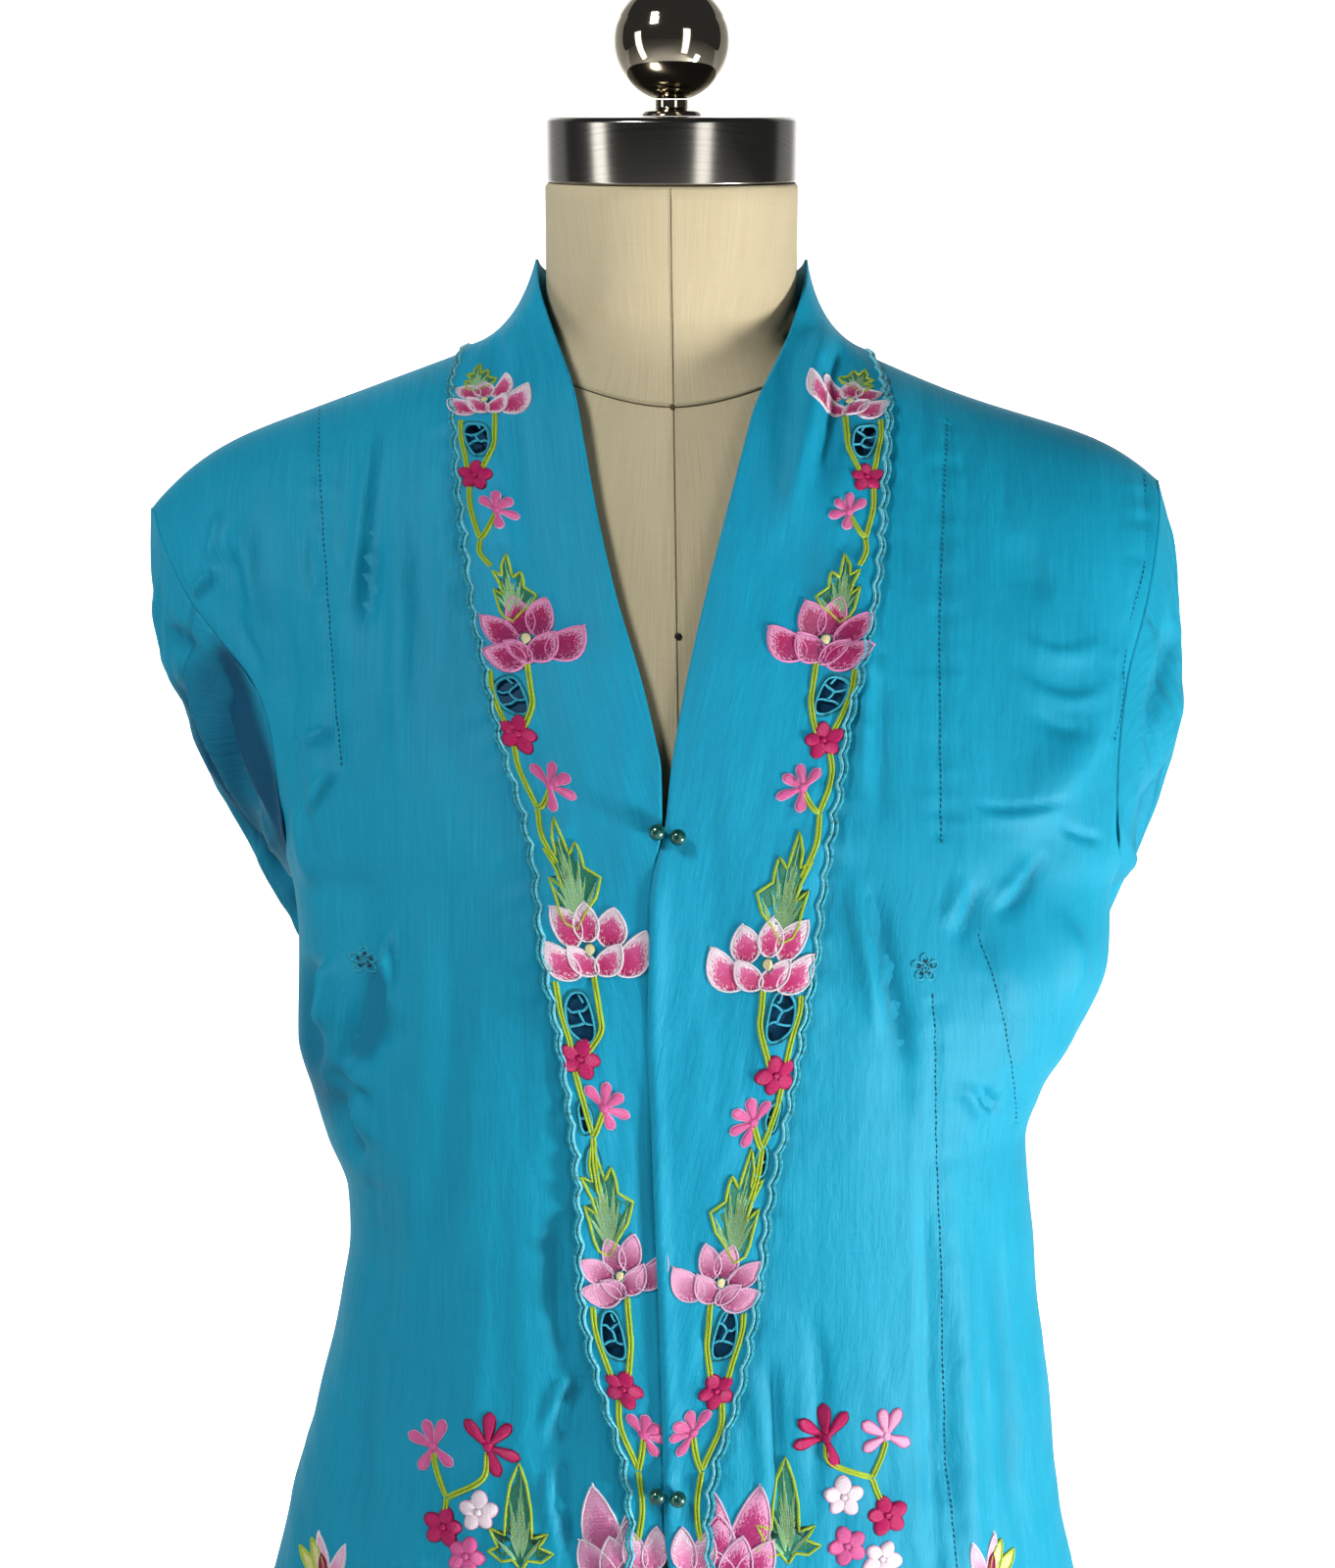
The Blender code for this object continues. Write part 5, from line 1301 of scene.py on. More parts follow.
def finish_cloth(piece, u, v, painted_shade, look):
    """UV in metres for the weave, and the mark of painted shade for what lies in the dark."""
    def both(values):
        inner = values[::SHELL_STEP, ::SHELL_STEP]
        return np.concatenate([values.reshape(-1, *values.shape[2:]), inner.reshape(-1, *values.shape[2:])])
    add_uv(piece, "cloth", both(np.stack([u, v], axis=-1)))
    add_value(piece, "painted_shade", both(np.broadcast_to(painted_shade, u.shape)))
    piece.data.materials.append(look)


def back_cloth():
    x, level, y = finer_panel(back_grid(), *BACK_FINER, back=True)
    edge = ease(np.minimum(np.arange(x.shape[1]), np.arange(x.shape[1])[::-1])[None, :] / 10)
    move = back_relief(x, level) * edge
    points = np.stack([x, y, level], axis=-1) + skin_normal(x, level, True) * move[..., None]
    inward = -grid_normals(points)
    inward *= np.sign(-inward[60:, :, 1].sum())
    inward[0, :, 1] = 0
    points[..., 1] += SEAM / 2
    made = shell("back_cloth", points, unit(inward))
    along = round_length(points)
    finish_cloth(made, along - along[:, x.shape[1] // 2, None], level, np.zeros(x.shape), COTTON)
    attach(made, "root")
    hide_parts("back")
    return made


SLEEVE_CREASES = {
    # the wearer's right sleeve, seen from the front: x, level
    (-1, "front"): (
        (-194.6, 68.4, -187, 42.7, -178.4, 17, -166.8, -12.7, -157.3, -42.2, -12.5, 7, 7, 16),
        (-217.8, 61.9, -206.3, 37.6, -193.6, 13.2, -178.5, -17.5, -162.2, -40.4, 6.6, 3.5, 4.5, 40),
        (-223.1, 48.6, -212.5, 24.3, -201, 2.2, -186, -26.5, -171.1, -47.5, -10, 5, 6, 20),
        (-230.2, 64.1, -223.1, 39.8, -210.3, 13.3, -193.1, -17.7, -175, -47.7, 6.2, 3.5, 4.5, 40),
        (-227.5, 30.9, -218.7, 9.7, -205.5, -12.4, -188.2, -37.1, -7.5, 5, 6, 25),
        (-231.1, 88.4, -230.2, 66.3, -224.9, 44.2, 2.6, 4, 6, 30),
        (-183.4, 101.2, -176.7, 84.3, -174.1, 63.3, -4.5, 7, 7, 30),
        (-210.2, 77.8, -199.9, 83.4, -186, 89.4, 3.6, 4, 5, 30),
        (-221.4, 70.7, -214.3, 64.1, -204, 57.7, -4, 4, 5, 35),
    ),
    (-1, "back"): (
        (-210, 90, -190, 20, -160, -60, -5, 8, 10, 25),
        (-190, 100, -165, 30, -135, -50, 4.5, 8, 10, 25),
        (-170, 70, -140, -10, -115, -90, -4.5, 7, 9, 25),
        (-150, -90, -135, -130, -100, -150, 3.5, 7, 10, 30),
        (-145, -150, -130, -190, -95, -210, -3.5, 7, 10, 30),
        (-130, -190, -115, -260, -120, -360, 3, 8, 10, 30),
        (-105, -230, -100, -300, -105, -400, -3, 7, 9, 30),
    ),
    # the wearer's left sleeve, smoother
    (1, "front"): (
        (230, 70, 212, 35, 205, 24, -3, 4, 7, 25),
        (233, 50, 218, 15, 204, -10, 3, 6, 9, 30),
        (225, 15, 212, -15, 201, -40, -2.8, 6, 7, 30),
        (215, -15, 206, -45, 200, -75, 2.5, 6, 7, 30),
    ),
    (1, "back"): (
        (205, 80, 185, 10, 155, -60, -4.5, 8, 10, 25),
        (185, 90, 160, 20, 130, -50, 4.5, 8, 10, 25),
        (165, 50, 145, -20, 115, -90, -4, 7, 9, 25),
        (165, -100, 140, -140, 100, -155, 3.5, 7, 10, 30),
        (155, -160, 135, -200, 100, -215, -3.5, 7, 10, 30),
        (130, -200, 118, -270, 122, -360, 3, 8, 10, 30),
        (108, -230, 100, -310, 105, -400, -3, 7, 9, 30),
    ),
}


SLEEVE_CALM = 60         # how often the rings under the arm are eased towards their neighbours


def tube_normals(points):
    """Outward unit normals of a tube, ring by ring."""
    normals = grid_normals(points, closed=True)
    middle = points.mean(axis=1, keepdims=True)
    return normals * np.sign(np.sum(normals * (points - middle)))


def sleeve_cloth(side, name):
    points = finer(sleeve_grid(side), *SLEEVE_FINER, closed=True)
    normals = tube_normals(points)
    x, level = points[..., 0], points[..., 2]
    ahead = ease((-normals[..., 1] + 0.25) / 0.5)
    move = 1.35 * creases(SLEEVE_CREASES[(side, "front")], x, level) * ahead
    move = move + 1.2 * creases(SLEEVE_CREASES[(side, "back")], x, level) * (1 - ahead)
    # soft waves, and gathers beside the armhole
    along = np.arange(points.shape[0])[:, None] / SLEEVE_FINER[0]
    move = move + 0.0014 * ripple(points[..., 1] + x + 0.4 * level, level, 0.020, 0.045, 21 + side)
    move = move + 0.0005 * ripple(points[..., 1] + x, level, 0.008, 0.030, 31 + side)
    gather = np.exp(-((along - 0.9) / 0.9) ** 2)
    turn = np.arange(points.shape[1])[None, :] / points.shape[1] * math.tau
    move = move + 0.0012 * gather * ripple(turn * 40 + 0 * along, along * 1.0, 0.9, 1.6, 41 + side)
    move = move * ease(along / 1.2) * ease((along.max() - along) / 0.3 + 0.4)
    points = points + normals * move[..., None]
    # clear of the body, and calm under the arm
    clear = 0.0062 * np.clip(along / 1.6, 0, 1)
    low = ease((0.095 - points[..., 2]) / 0.035) * ease(along / 0.7)
    points = points + (pushed_out(points, clear) - points) * low[..., None]
    calm = points.copy()
    for _ in range(SLEEVE_CALM):
        calm[1:-1] = (calm[:-2] + 2 * calm[1:-1] + calm[2:]) / 4
    share = ease(along / 0.3) * ease((3.4 - along) / 1.2) * ease(-points[..., 2] / 0.03)
    points = points + (calm - points) * share[..., None]
    made = shell(name, points, unit(-tube_normals(points)), closed=True)
    around = np.linalg.norm(np.diff(points, axis=1, append=points[:, :1]), axis=-1)
    u = np.cumsum(around, axis=1)
    v = np.cumsum(np.linalg.norm(np.diff(points, axis=0, prepend=points[:1]), axis=-1), axis=0)
    # painted shade: cloth darkened in the valleys of the front folds and, on the right sleeve, in the broad
    # fold by the armhole
    valleys = [row for row in SLEEVE_CREASES[side, "front"] if row[HEIGHT] < 0]
    dark = np.clip(-creases(valleys, x, level) / 0.009, 0, 1)
    if side < 0:
        dark = np.maximum(dark, 0.62 * creases(ARM_SHADE, x, level))
    dark = dark * ahead
    finish_cloth(made, u, v, 0.92 * dark, COTTON)
    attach(made, "root")
    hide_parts(name.replace("_cloth", ""))
    return made


# Folds of the lapels: down and in, in turn.
LAPEL_CREASES = {
    -1: (
        (10, 20, 40, 22, 75, 16, -3, 4, 6, 30),
        (10, 28, 40, 32, 80, 26, 2, 6, 6, 30),
    ),
    1: (
        (10, 30, 50, 34, 90, 38, 150, 44, 5, 6, 8, 30),
        (12, 20, 50, 23, 85, 27, 130, 36, -4.5, 5, 6, 30),
    ),
}


def lapel_relief(side, down, inside):
    """Folds of a lapel's own cloth, on top of those of the front under it."""
    move = creases(LAPEL_CREASES[side], down, inside)
    move = move + 0.00055 * ripple(inside, down, 0.008, 0.040, 51 + side)
    move = move + 0.0009 * ripple(inside, down, 0.019, 0.070, 57 + side)
    edge = np.exp(-((inside / 0.006) ** 2))
    return move + edge * 0.00045 * ripple(inside, down, 0.020, 0.007, 53 + side)


LAP = 0.0022             # how far the wearer's left lapel laps over the right one
LAP_RISE = 0.0017
LAPEL_STEP = 0.0024      # between the points of a lapel


def lap_share(down):
    """Where along the lapel it laps over the other: between the beads and a bit past them."""
    return ease((np.asarray(down) - 0.268) / 0.03) * ease((0.60 - np.asarray(down)) / 0.06)


def lapel_place(side, down, inside, off=0.0):
    """A place on a lapel, 'off' metres off its outer side."""
    band = BAND[side]
    down, inside = np.asarray(down, float), np.asarray(inside, float)
    at = band.base(down, inside)
    n = band.normal(down, inside)
    share = ease((down - 0.055) / 0.04)
    move = front_relief(at[..., 0], at[..., 2]) * share
    move = move + lapel_relief(side, down, inside) * ease(down / 0.02)
    if side > 0:
        over = inside - band.width(down) + 0.0055
        move = move + LAP_RISE * ease(over / 0.0055) * lap_share(down)
    return at + n * np.asarray(off + move + LIFT + BAND_WALL)[..., None]


# Openings of the cutwork on both lapels: centre down and in, half length, half width, turn.
PATCHES = (
    (0.0905, 0.0112, 0.0078, 0.0048, 4.0),
    (0.2118, 0.0108, 0.0080, 0.0054, 8.0),
    (0.3440, 0.0115, 0.0096, 0.0050, -4.0),
    (0.3848, 0.0072, 0.0052, 0.0022, 4.0),
    (0.4035, 0.0082, 0.0056, 0.0022, 0.0),
    (0.4745, 0.0118, 0.0092, 0.0042, -3.0),
)


def spun(u, v, degrees):
    """Flat measures turned by an angle."""
    t = math.radians(degrees)
    return np.stack([u * math.cos(t) - v * math.sin(t), u * math.sin(t) + v * math.cos(t)], axis=-1)


def patch_ring(patch, count=22, grow=0.0):
    """Outline of one opening: a rounded, slightly uneven shape."""
    down, inside, long, wide, turn = patch
    a = np.arange(count) / count * math.tau
    r = 1 + 0.07 * np.sin(3 * a + down * 90) + 0.05 * np.cos(2 * a + down * 50)
    u = (long + grow) * r * np.sign(np.cos(a)) * np.abs(np.cos(a)) ** 0.8
    v = (wide + grow) * r * np.sign(np.sin(a)) * np.abs(np.sin(a)) ** 0.8
    return np.array([down, inside]) + spun(u, v, turn)


def inside_shape(points, ring):
    """Which points lie inside a closed outline."""
    x, y = points[:, 0], points[:, 1]
    found = np.zeros(len(points), bool)
    for (x0, y0), (x1, y1) in zip(ring, np.roll(ring, -1, axis=0)):
        if y0 == y1:
            continue
        hit = ((y0 > y) != (y1 > y)) & (x < (x1 - x0) * (y - y0) / (y1 - y0) + x0)
        found ^= hit
    return found


def lapel_cloth(side, name):
    """A lapel: its flat outline with the openings, laid on the front or up the neck."""
    band = BAND[side]
    end = band.length
    rim = np.arange(0, end + 1e-9, end / round(end / (SCALLOP / 8)))
    outline = [(d, -scallop(d)) for d in rim]
    outline += [(end, f * float(band.width(end))) for f in np.linspace(0, 1, 7)[1:-1]]
    back = np.linspace(end, 0, 300)
    outline += list(zip(back, band.width(back) + (LAP * lap_share(back) if side > 0 else 0.0)))
    outline += [(0.0, f * float(band.width(0.0))) for f in np.linspace(1, 0, 24)[1:-1]]
    outline = np.array(outline)
    rings = [patch_ring(p) for p in PATCHES]
    points = [tuple(p) for p in outline]
    edges = [(k, (k + 1) % len(outline)) for k in range(len(outline))]
    for ring in rings:
        first = len(points)
        points += [tuple(p) for p in ring]
        edges += [(first + k, first + (k + 1) % len(ring)) for k in range(len(ring))]
    fill = []
    for r, d in enumerate(np.arange(0.002, end - 0.001, LAPEL_STEP)):
        wide = float(band.width(d))
        count = max(int(wide / LAPEL_STEP), 2)
        v = wide * (np.arange(count) + 0.5 + 0.25 * (r % 2)) / (count + 0.25)
        fill.append(np.stack([np.full(count, d), v], axis=1))
    fill = np.concatenate(fill)
    hidden = np.zeros(len(fill), bool)
    for patch in PATCHES:
        hidden |= inside_shape(fill, patch_ring(patch, grow=0.0007))
    fill = fill[~hidden & (fill[:, 1] > 0.0012)]
    points += [tuple(p) for p in fill]
    flat, _, tris, _, _, _ = delaunay_2d_cdt([Vector(p) for p in points], edges, [], 0, 1e-7)
    flat = np.array([tuple(p) for p in flat])
    tris = np.array([tuple(t) for t in tris])
    centre = flat[tris].mean(axis=1)
    keep = inside_shape(centre, outline)
    for ring in rings:
        keep &= ~inside_shape(centre, ring)
    tris = tris[keep]
    high = lapel_place(side, flat[:, 0], flat[:, 1])
    low = lapel_place(side, flat[:, 0], flat[:, 1], -BAND_WALL * 0.8)
    count = len(flat)
    faces = [tuple(int(i) for i in t) for t in tris]
    faces += [tuple(int(i) + count for i in t[::-1]) for t in tris]
    seen = set()
    for tri in tris:
        a, b, c = (int(v) for v in tri)
        seen |= {(a, b), (b, c), (c, a)}
    for a, b in sorted(seen):
        if (b, a) not in seen:
            faces.append((b, a, a + count, b + count))
    made = make(name, np.concatenate([high, low]), faces)
    add_uv(made, "cloth", np.concatenate([flat[:, ::-1], flat[:, ::-1]]))
    add_value(made, "painted_shade", np.zeros(2 * count))
    made.data.materials.append(LAPEL_COTTON)
    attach(made, "root")
    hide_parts(name.replace("_cloth", ""))
    return made


def collar_cloth():
    points, inward = collar_back_grid()
    points = finer(points, *COLLAR_FINER)
    inward = unit(finer(inward, *COLLAR_FINER))
    made = shell("collar_back_cloth", points, inward, wall=BAND_WALL)
    u = np.cumsum(np.linalg.norm(np.diff(points, axis=0, prepend=points[:1]), axis=-1), axis=0)
    v = np.cumsum(np.linalg.norm(np.diff(points, axis=1, prepend=points[:, :1]), axis=-1), axis=1)
    finish_cloth(made, v, u, np.zeros(u.shape), LAPEL_COTTON)
    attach(made, "root")
    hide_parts("collar_back")
    return made


# Embroidery.

MAGENTA = srgb(188, 14, 100)
CRIMSON = srgb(140, 6, 70)
PINK = srgb(222, 104, 164)
ROSE = srgb(204, 60, 138)
BLUSH = srgb(230, 146, 194)
PALE = srgb(234, 170, 206)
WHITE = srgb(238, 222, 232)
LIME = srgb(176, 200, 58)
OLIVE = srgb(112, 136, 34)
STRAW = srgb(206, 206, 128)
TEAL = srgb(16, 122, 128)
FERN = srgb(58, 138, 96)
MIST = srgb(190, 234, 206)
LILAC = srgb(226, 188, 214)
PLUM = srgb(150, 26, 96)
SEA = srgb(150, 220, 180)
AQUA = srgb(64, 182, 208)
PALE_AQUA = srgb(128, 216, 234)
CREAM = srgb(238, 226, 168)
CLOTH_BLUE = srgb(10, 124, 162)


def beside(path, closed=False):
    """Unit directions to the side of a flat path at its points."""
    run = np.roll(path, -1, axis=0) - np.roll(path, 1, axis=0) if closed else np.gradient(path, axis=0)
    run = unit(run)
    return np.stack([-run[:, 1], run[:, 0]], axis=1)


DOME_RINGS = np.array([1.0, 0.94, 0.82, 0.6, 0.32])   # sizes of the rings of a filled patch


class Stitching:
    """Raised stitched patches on one surface, gathered into one mesh. Places are flat
    (a, b) measures of that surface in metres."""

    def __init__(self, surface):
        self.surface = surface
        self.flat, self.off, self.faces = [], [], []
        self.dye, self.dye_two, self.mottle, self.uv = [], [], [], []
        self.count = 0

    def add(self, flat, off, faces, dye, dye_two, mottle, uv):
        count = len(flat)
        dye_two = dye if dye_two is None else dye_two
        self.flat.append(flat)
        self.off.append(np.broadcast_to(np.asarray(off, float), (count,)))
        self.faces += [tuple(int(i) + self.count for i in f) for f in faces]
        for store, value in ((self.dye, dye), (self.dye_two, dye_two)):
            store.append(np.broadcast_to(np.asarray(value, float), (count, 4)))
        self.mottle.append(np.broadcast_to(np.asarray(mottle, float), (count,)))
        self.uv.append(uv)
        self.count += count

    def strip(self, path, width, height, dye, closed=False, base=0.0, dye_two=None, mottle=0.0, arch=5):
        """A band of satin stitches along a path, rounded across."""
        path = np.asarray(path, float)
        count = len(path)
        side = beside(path, closed)
        across = np.linspace(-1, 1, arch)
        rise = np.sqrt(np.maximum(1 - across**2, 0))
        wide = np.broadcast_to(np.asarray(width, float), (count,)) / 2
        flat = path[:, None] + side[:, None] * (across[None, :, None] * wide[:, None, None])
        high = np.broadcast_to(np.asarray(height, float), (count,))
        off = base + rise[None] * high[:, None] - 0.00012 * (1 - rise[None])
        if not closed:
            off[[0, -1]] = base - 0.0001
        along = lengths(path)
        uv = np.stack([np.broadcast_to(across[None] * wide[:, None], (count, arch)),
                       np.broadcast_to(along[:, None], (count, arch))], axis=-1) * 1000
        faces = []
        for r in range(count if closed else count - 1):
            s = (r + 1) % count
            for c in range(arch - 1):
                faces.append((r * arch + c, r * arch + c + 1, s * arch + c + 1, s * arch + c))
        self.add(flat.reshape(-1, 2), off.ravel(), faces, dye, dye_two, mottle, uv.reshape(-1, 2))

    def dome(self, outline, height, dye, axis=(0, 1), base=0.0, dye_two=None, mottle=0.0, far=None,
             flat_top=0.6, fading=0.0):
        """A filled patch inside an outline; 'far' is the colour towards the axis' end."""
        outline = np.asarray(outline, float)
        count = len(outline)
        centre = outline.mean(axis=0)
        shares = DOME_RINGS
        rise = (1 - shares**4) ** flat_top
        flat = [centre + (outline - centre) * s for s in shares] + [centre[None]]
        off = np.append(base + height * rise, base + height)
        off[0] = base - 0.0001
        points = [count] * len(shares) + [1]
        off = np.repeat(off, points)
        flat = np.concatenate(flat)
        faces = []
        for r in range(len(shares) - 1):
            for c in range(count):
                d = (c + 1) % count
                faces.append((r * count + c, r * count + d, (r + 1) * count + d, (r + 1) * count + c))
        last = (len(shares) - 1) * count
        faces += [(last + c, last + (c + 1) % count, last + count) for c in range(count)]
        axis = np.asarray(axis, float) / np.hypot(*axis)
        along = (flat - centre) @ axis
        across = (flat - centre) @ np.array([axis[1], -axis[0]])
        uv = np.stack([across, along], axis=1) * 1000
        dye = np.asarray(dye, float)
        ring = np.repeat(np.append(shares, 0.0), points)
        tall = ease((along - along.min()) / max(along.max() - along.min(), 1e-9))
        mottle = mottle + fading * (1.15 * ring**2 + 0.9 * tall - 0.75)
        if far is not None:
            dye = dye * (1 - tall[:, None]) + np.asarray(far) * tall[:, None]
        self.add(flat, off, faces, dye, dye_two, mottle, uv)

    def build(self, name, slot="lapel_cotton"):
        flat, off = np.concatenate(self.flat), np.concatenate(self.off)
        made = make(name, self.surface(flat[:, 0], flat[:, 1], off), self.faces)
        add_uv(made, "thread", np.concatenate(self.uv))
        add_colour(made, "dye", np.concatenate(self.dye))
        add_colour(made, "dye_two", np.concatenate(self.dye_two))
        add_value(made, "mottle", np.concatenate(self.mottle))
        made.data.materials.append(THREAD)
        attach(made, "root")
        return made


class Spot:
    """A small flat frame on a surface: u towards the centre front, v up, in millimetres."""

    def __init__(self, stitches, a, b, across, up):
        self.stitches, self.at = stitches, np.array([a, b])
        self.across, self.up = np.array(across), np.array(up)

    def to(self, points, size=1.0, turn=0.0):
        points = np.asarray(points, float) * size
        c, s = math.cos(turn), math.sin(turn)
        u = points[:, 0] * c + points[:, 1] * s
        v = -points[:, 0] * s + points[:, 1] * c
        return self.at + (u[:, None] * self.across + v[:, None] * self.up) * 0.001

    def way(self, turn):
        """Direction on the surface of something turned clockwise from up."""
        return math.sin(turn) * self.across + math.cos(turn) * self.up


def band_spot(stitches, side, down, inside):
    """A frame on a lapel that stays upright where the lapel leans."""
    band = BAND[side]
    run = band.base(down + 0.004, inside) - band.base(down - 0.004, inside)
    lean = math.atan2(-side * run[0], -run[2])
    return Spot(stitches, down, inside, (math.sin(lean), math.cos(lean)), (-math.cos(lean), math.sin(lean)))


def front_spot(stitches, side, x, level):
    return Spot(stitches, x, level, (-side, 0.0), (0.0, 1.0))


def curve(points, times=6):
    return between_points(np.asarray(points, float), times)


def circle(count, radius, tall=None, at=(0, 0)):
    """Points round a circle, or round an oval where 'tall' is its other radius."""
    turn = np.linspace(0, math.tau, count + 1)[:-1]
    return np.stack([at[0] + radius * np.cos(turn), at[1] + (tall or radius) * np.sin(turn)], 1)


def petal_outline(base, tip, width, bend, count):
    """A pointed petal."""
    base, tip = np.array(base, float), np.array(tip, float)
    run = tip - base
    length = np.hypot(*run)
    way, side = run / length, np.array([run[1], -run[0]]) / length
    t = (1 - np.cos(np.linspace(0, math.pi, count))) / 2
    half = t**0.60 * (1 - t) ** 0.82
    half = half / half.max() * width / 2
    middle = base + way * (t * length)[:, None] + side * (bend * 4 * t * (1 - t))[:, None]
    right = middle + side * half[:, None]
    left = middle - side * half[:, None]
    return np.concatenate([right, left[-2:0:-1]])


def finger_outline(length, width):
    """A long petal, widest near its round end, pointing up from the flower's middle."""
    t = np.linspace(0, 1, 9)
    end = np.sqrt(np.maximum(1 - np.clip((t - 0.74) / 0.26, 0, 1) ** 2, 0.02))
    half = width / 2 * (0.42 + 0.58 * ease(t / 0.7)) * end
    y = 1.2 + t * (length - 1.2)
    return np.concatenate([np.stack([half, y], 1), np.stack([-half, y], 1)[::-1]])


# Petals of the two kinds of lotus, in millimetres from the flower's place.
LOTUS_ONE = (
    # base, tip, width, bend, layer
    ((-0.5, 1.5), (-6.5, 18.5), 10.0, 0.6, 0),
    ((4.5, 2.5), (7.0, 21.0), 9.6, -0.5, 1),
    ((9.0, -5.5), (23.2, 11.5), 10.8, 1.6, 1),
    ((-3.6, -1.5), (-19.4, 8.0), 9.8, -1.0, 1),
    ((0.5, -9.5), (-18.6, -7.5), 10.6, -1.0, 2),
    ((2.2, -8.4), (11.6, 6.2), 9.4, 0.8, 2),
    ((2.6, -9.6), (-9.4, -2.2), 6.8, 0.6, 3),
)
LOTUS_TWO = (
    ((-5.2, 1.0), (-16.6, 15.6), 9.8, 1.4, 0),
    ((-0.5, 3.4), (-2.6, 19.2), 9.2, 0.0, 1),
    ((7.2, 2.2), (9.8, 18.2), 10.4, 0.4, 0),
    ((11.0, -8.4), (22.6, 10.2), 10.4, 2.0, 1),
    ((-4.5, -11.4), (-18.6, 1.2), 10.6, -1.6, 2),
    ((3.0, -9.0), (-9.0, 1.0), 8.2, -1.0, 3),
    ((3.0, -9.0), (12.0, 3.6), 8.0, 1.0, 3),
)


def lotus(spot, petals, rim, near, far, speck, size=1.0, heart=True, seed=1, fading=0.13):
    """A lotus flower: mottled petals with a satin rim, and a drop-shaped heart."""
    rng = np.random.RandomState(seed)
    work = spot.stitches
    for base, tip, width, bend, layer in sorted(petals, key=lambda p: p[4]):
        shake = rng.uniform(-0.5, 0.5, 2)
        outline = petal_outline(base, np.array(tip) + shake, width * rng.uniform(1.08, 1.18), bend, 13)
        lift = 0.00016 * layer
        run = np.array(tip) - np.array(base)
        way = spot.way(math.atan2(run[0], run[1]))
        fill = spot.to(outline, size)
        work.dome(fill, 0.00050, near, way, lift, speck, 0.40 + 0.04 * rng.rand(), far, fading=fading)
        work.strip(fill, 0.00105 * size**0.5, 0.00078, rim, True, lift, dye_two=far, mottle=0.12)
        point = spot.to([np.array(tip) * 0.98 - run * 0.02, np.array(tip) + run * 0.045], size)
        work.strip(between_points(point, 3), 0.0009, 0.0007, rim, base=lift)
    if heart:
        drop = petal_outline((0.6, -3.0), (-0.4, 2.4), 4.2, 0, 8)[::-1] * np.array([1, -1])
        work.dome(spot.to(drop, size), 0.0008, CREAM, spot.way(0.2), 0.0007, WHITE, 0.4)
        work.strip(spot.to(drop, size * 1.05), 0.0006, 0.0009, TEAL, closed=True, base=0.0003)


def finger_flower(spot, dye, rim, angles, length, width, seed):
    """A flower of long satin petals."""
    rng = np.random.RandomState(seed)
    work = spot.stitches
    for angle in angles:
        turn = math.radians(angle)
        size = rng.uniform(0.93, 1.07)
        shape = finger_outline(length * size, width * rng.uniform(0.92, 1.08))
        fill = spot.to(shape, 1.0, turn)
        work.dome(fill, 0.0010, dye, spot.way(turn), 0.0, rim, 0.10, flat_top=0.5)
        work.strip(spot.to(shape * np.array([1.06, 1.0]), 1.0, turn), 0.00055, 0.00055, rim, True)
    work.dome(spot.to(circle(10, 1.9)), 0.0014, dye, spot.way(0.4), 0.0, rim, 0.25)


def round_flower(spot, dye, dark, turn, size, seed):
    """A small flower of five round satin petals."""
    rng = np.random.RandomState(seed)
    work = spot.stitches
    for k in range(5):
        a = math.tau * k / 5 + turn + rng.uniform(-0.09, 0.09)
        grow = size * rng.uniform(0.92, 1.08)
        t = np.linspace(0, math.tau, 15)[:-1]
        shape = np.stack([3.15 * np.sin(t) * (1 + 0.12 * np.cos(t)), 4.7 - 3.7 * np.cos(t)], axis=1)
        work.dome(spot.to(shape, grow, a), 0.0012, dye, spot.way(a), 0.0, dark, 0.14, flat_top=0.5)
        work.strip(spot.to(shape, grow, a), 0.0005, 0.0005, dark, True)
    work.dome(spot.to(circle(9, 1.5), size), 0.0017, dye, spot.way(0.9), 0.0, dark, 0.3)


# Outlines of the leaves, in millimetres up from the foot.
LEAF = ((0, 0), (-5, 1.5), (-7.5, 5), (-9.5, 10.5), (-12.2, 17), (-6.4, 13.8), (-8.6, 19.5),
        (-13.6, 27), (-8.2, 25.2), (-9.2, 31), (-7.4, 38.5), (-4.2, 30), (-2.6, 25.5), (0.8, 30),
        (2.4, 26.5), (3.4, 21.5), (10.4, 18.4), (8, 11.2), (4.4, 7))
TALL_LEAF = ((0, 0), (-2.8, 4), (-8.2, 3.2), (-13, 6.6), (-7.2, 9), (-11, 14.5), (-4.6, 12.6),
             (-4.4, 24), (-2.6, 34), (0.4, 42.5), (4.2, 34), (5.8, 24), (6.6, 14), (13, 16.4),
             (9.4, 9), (13.6, 7.2), (8, 3.4), (3.4, 4.2))


# Veins towards each point of a leaf: how far they reach, and their two colours.
VEINS = ((0.92, SEA, LIME), (0.80, LIME, MIST), (0.66, MIST, SEA), (0.50, SEA, STRAW))


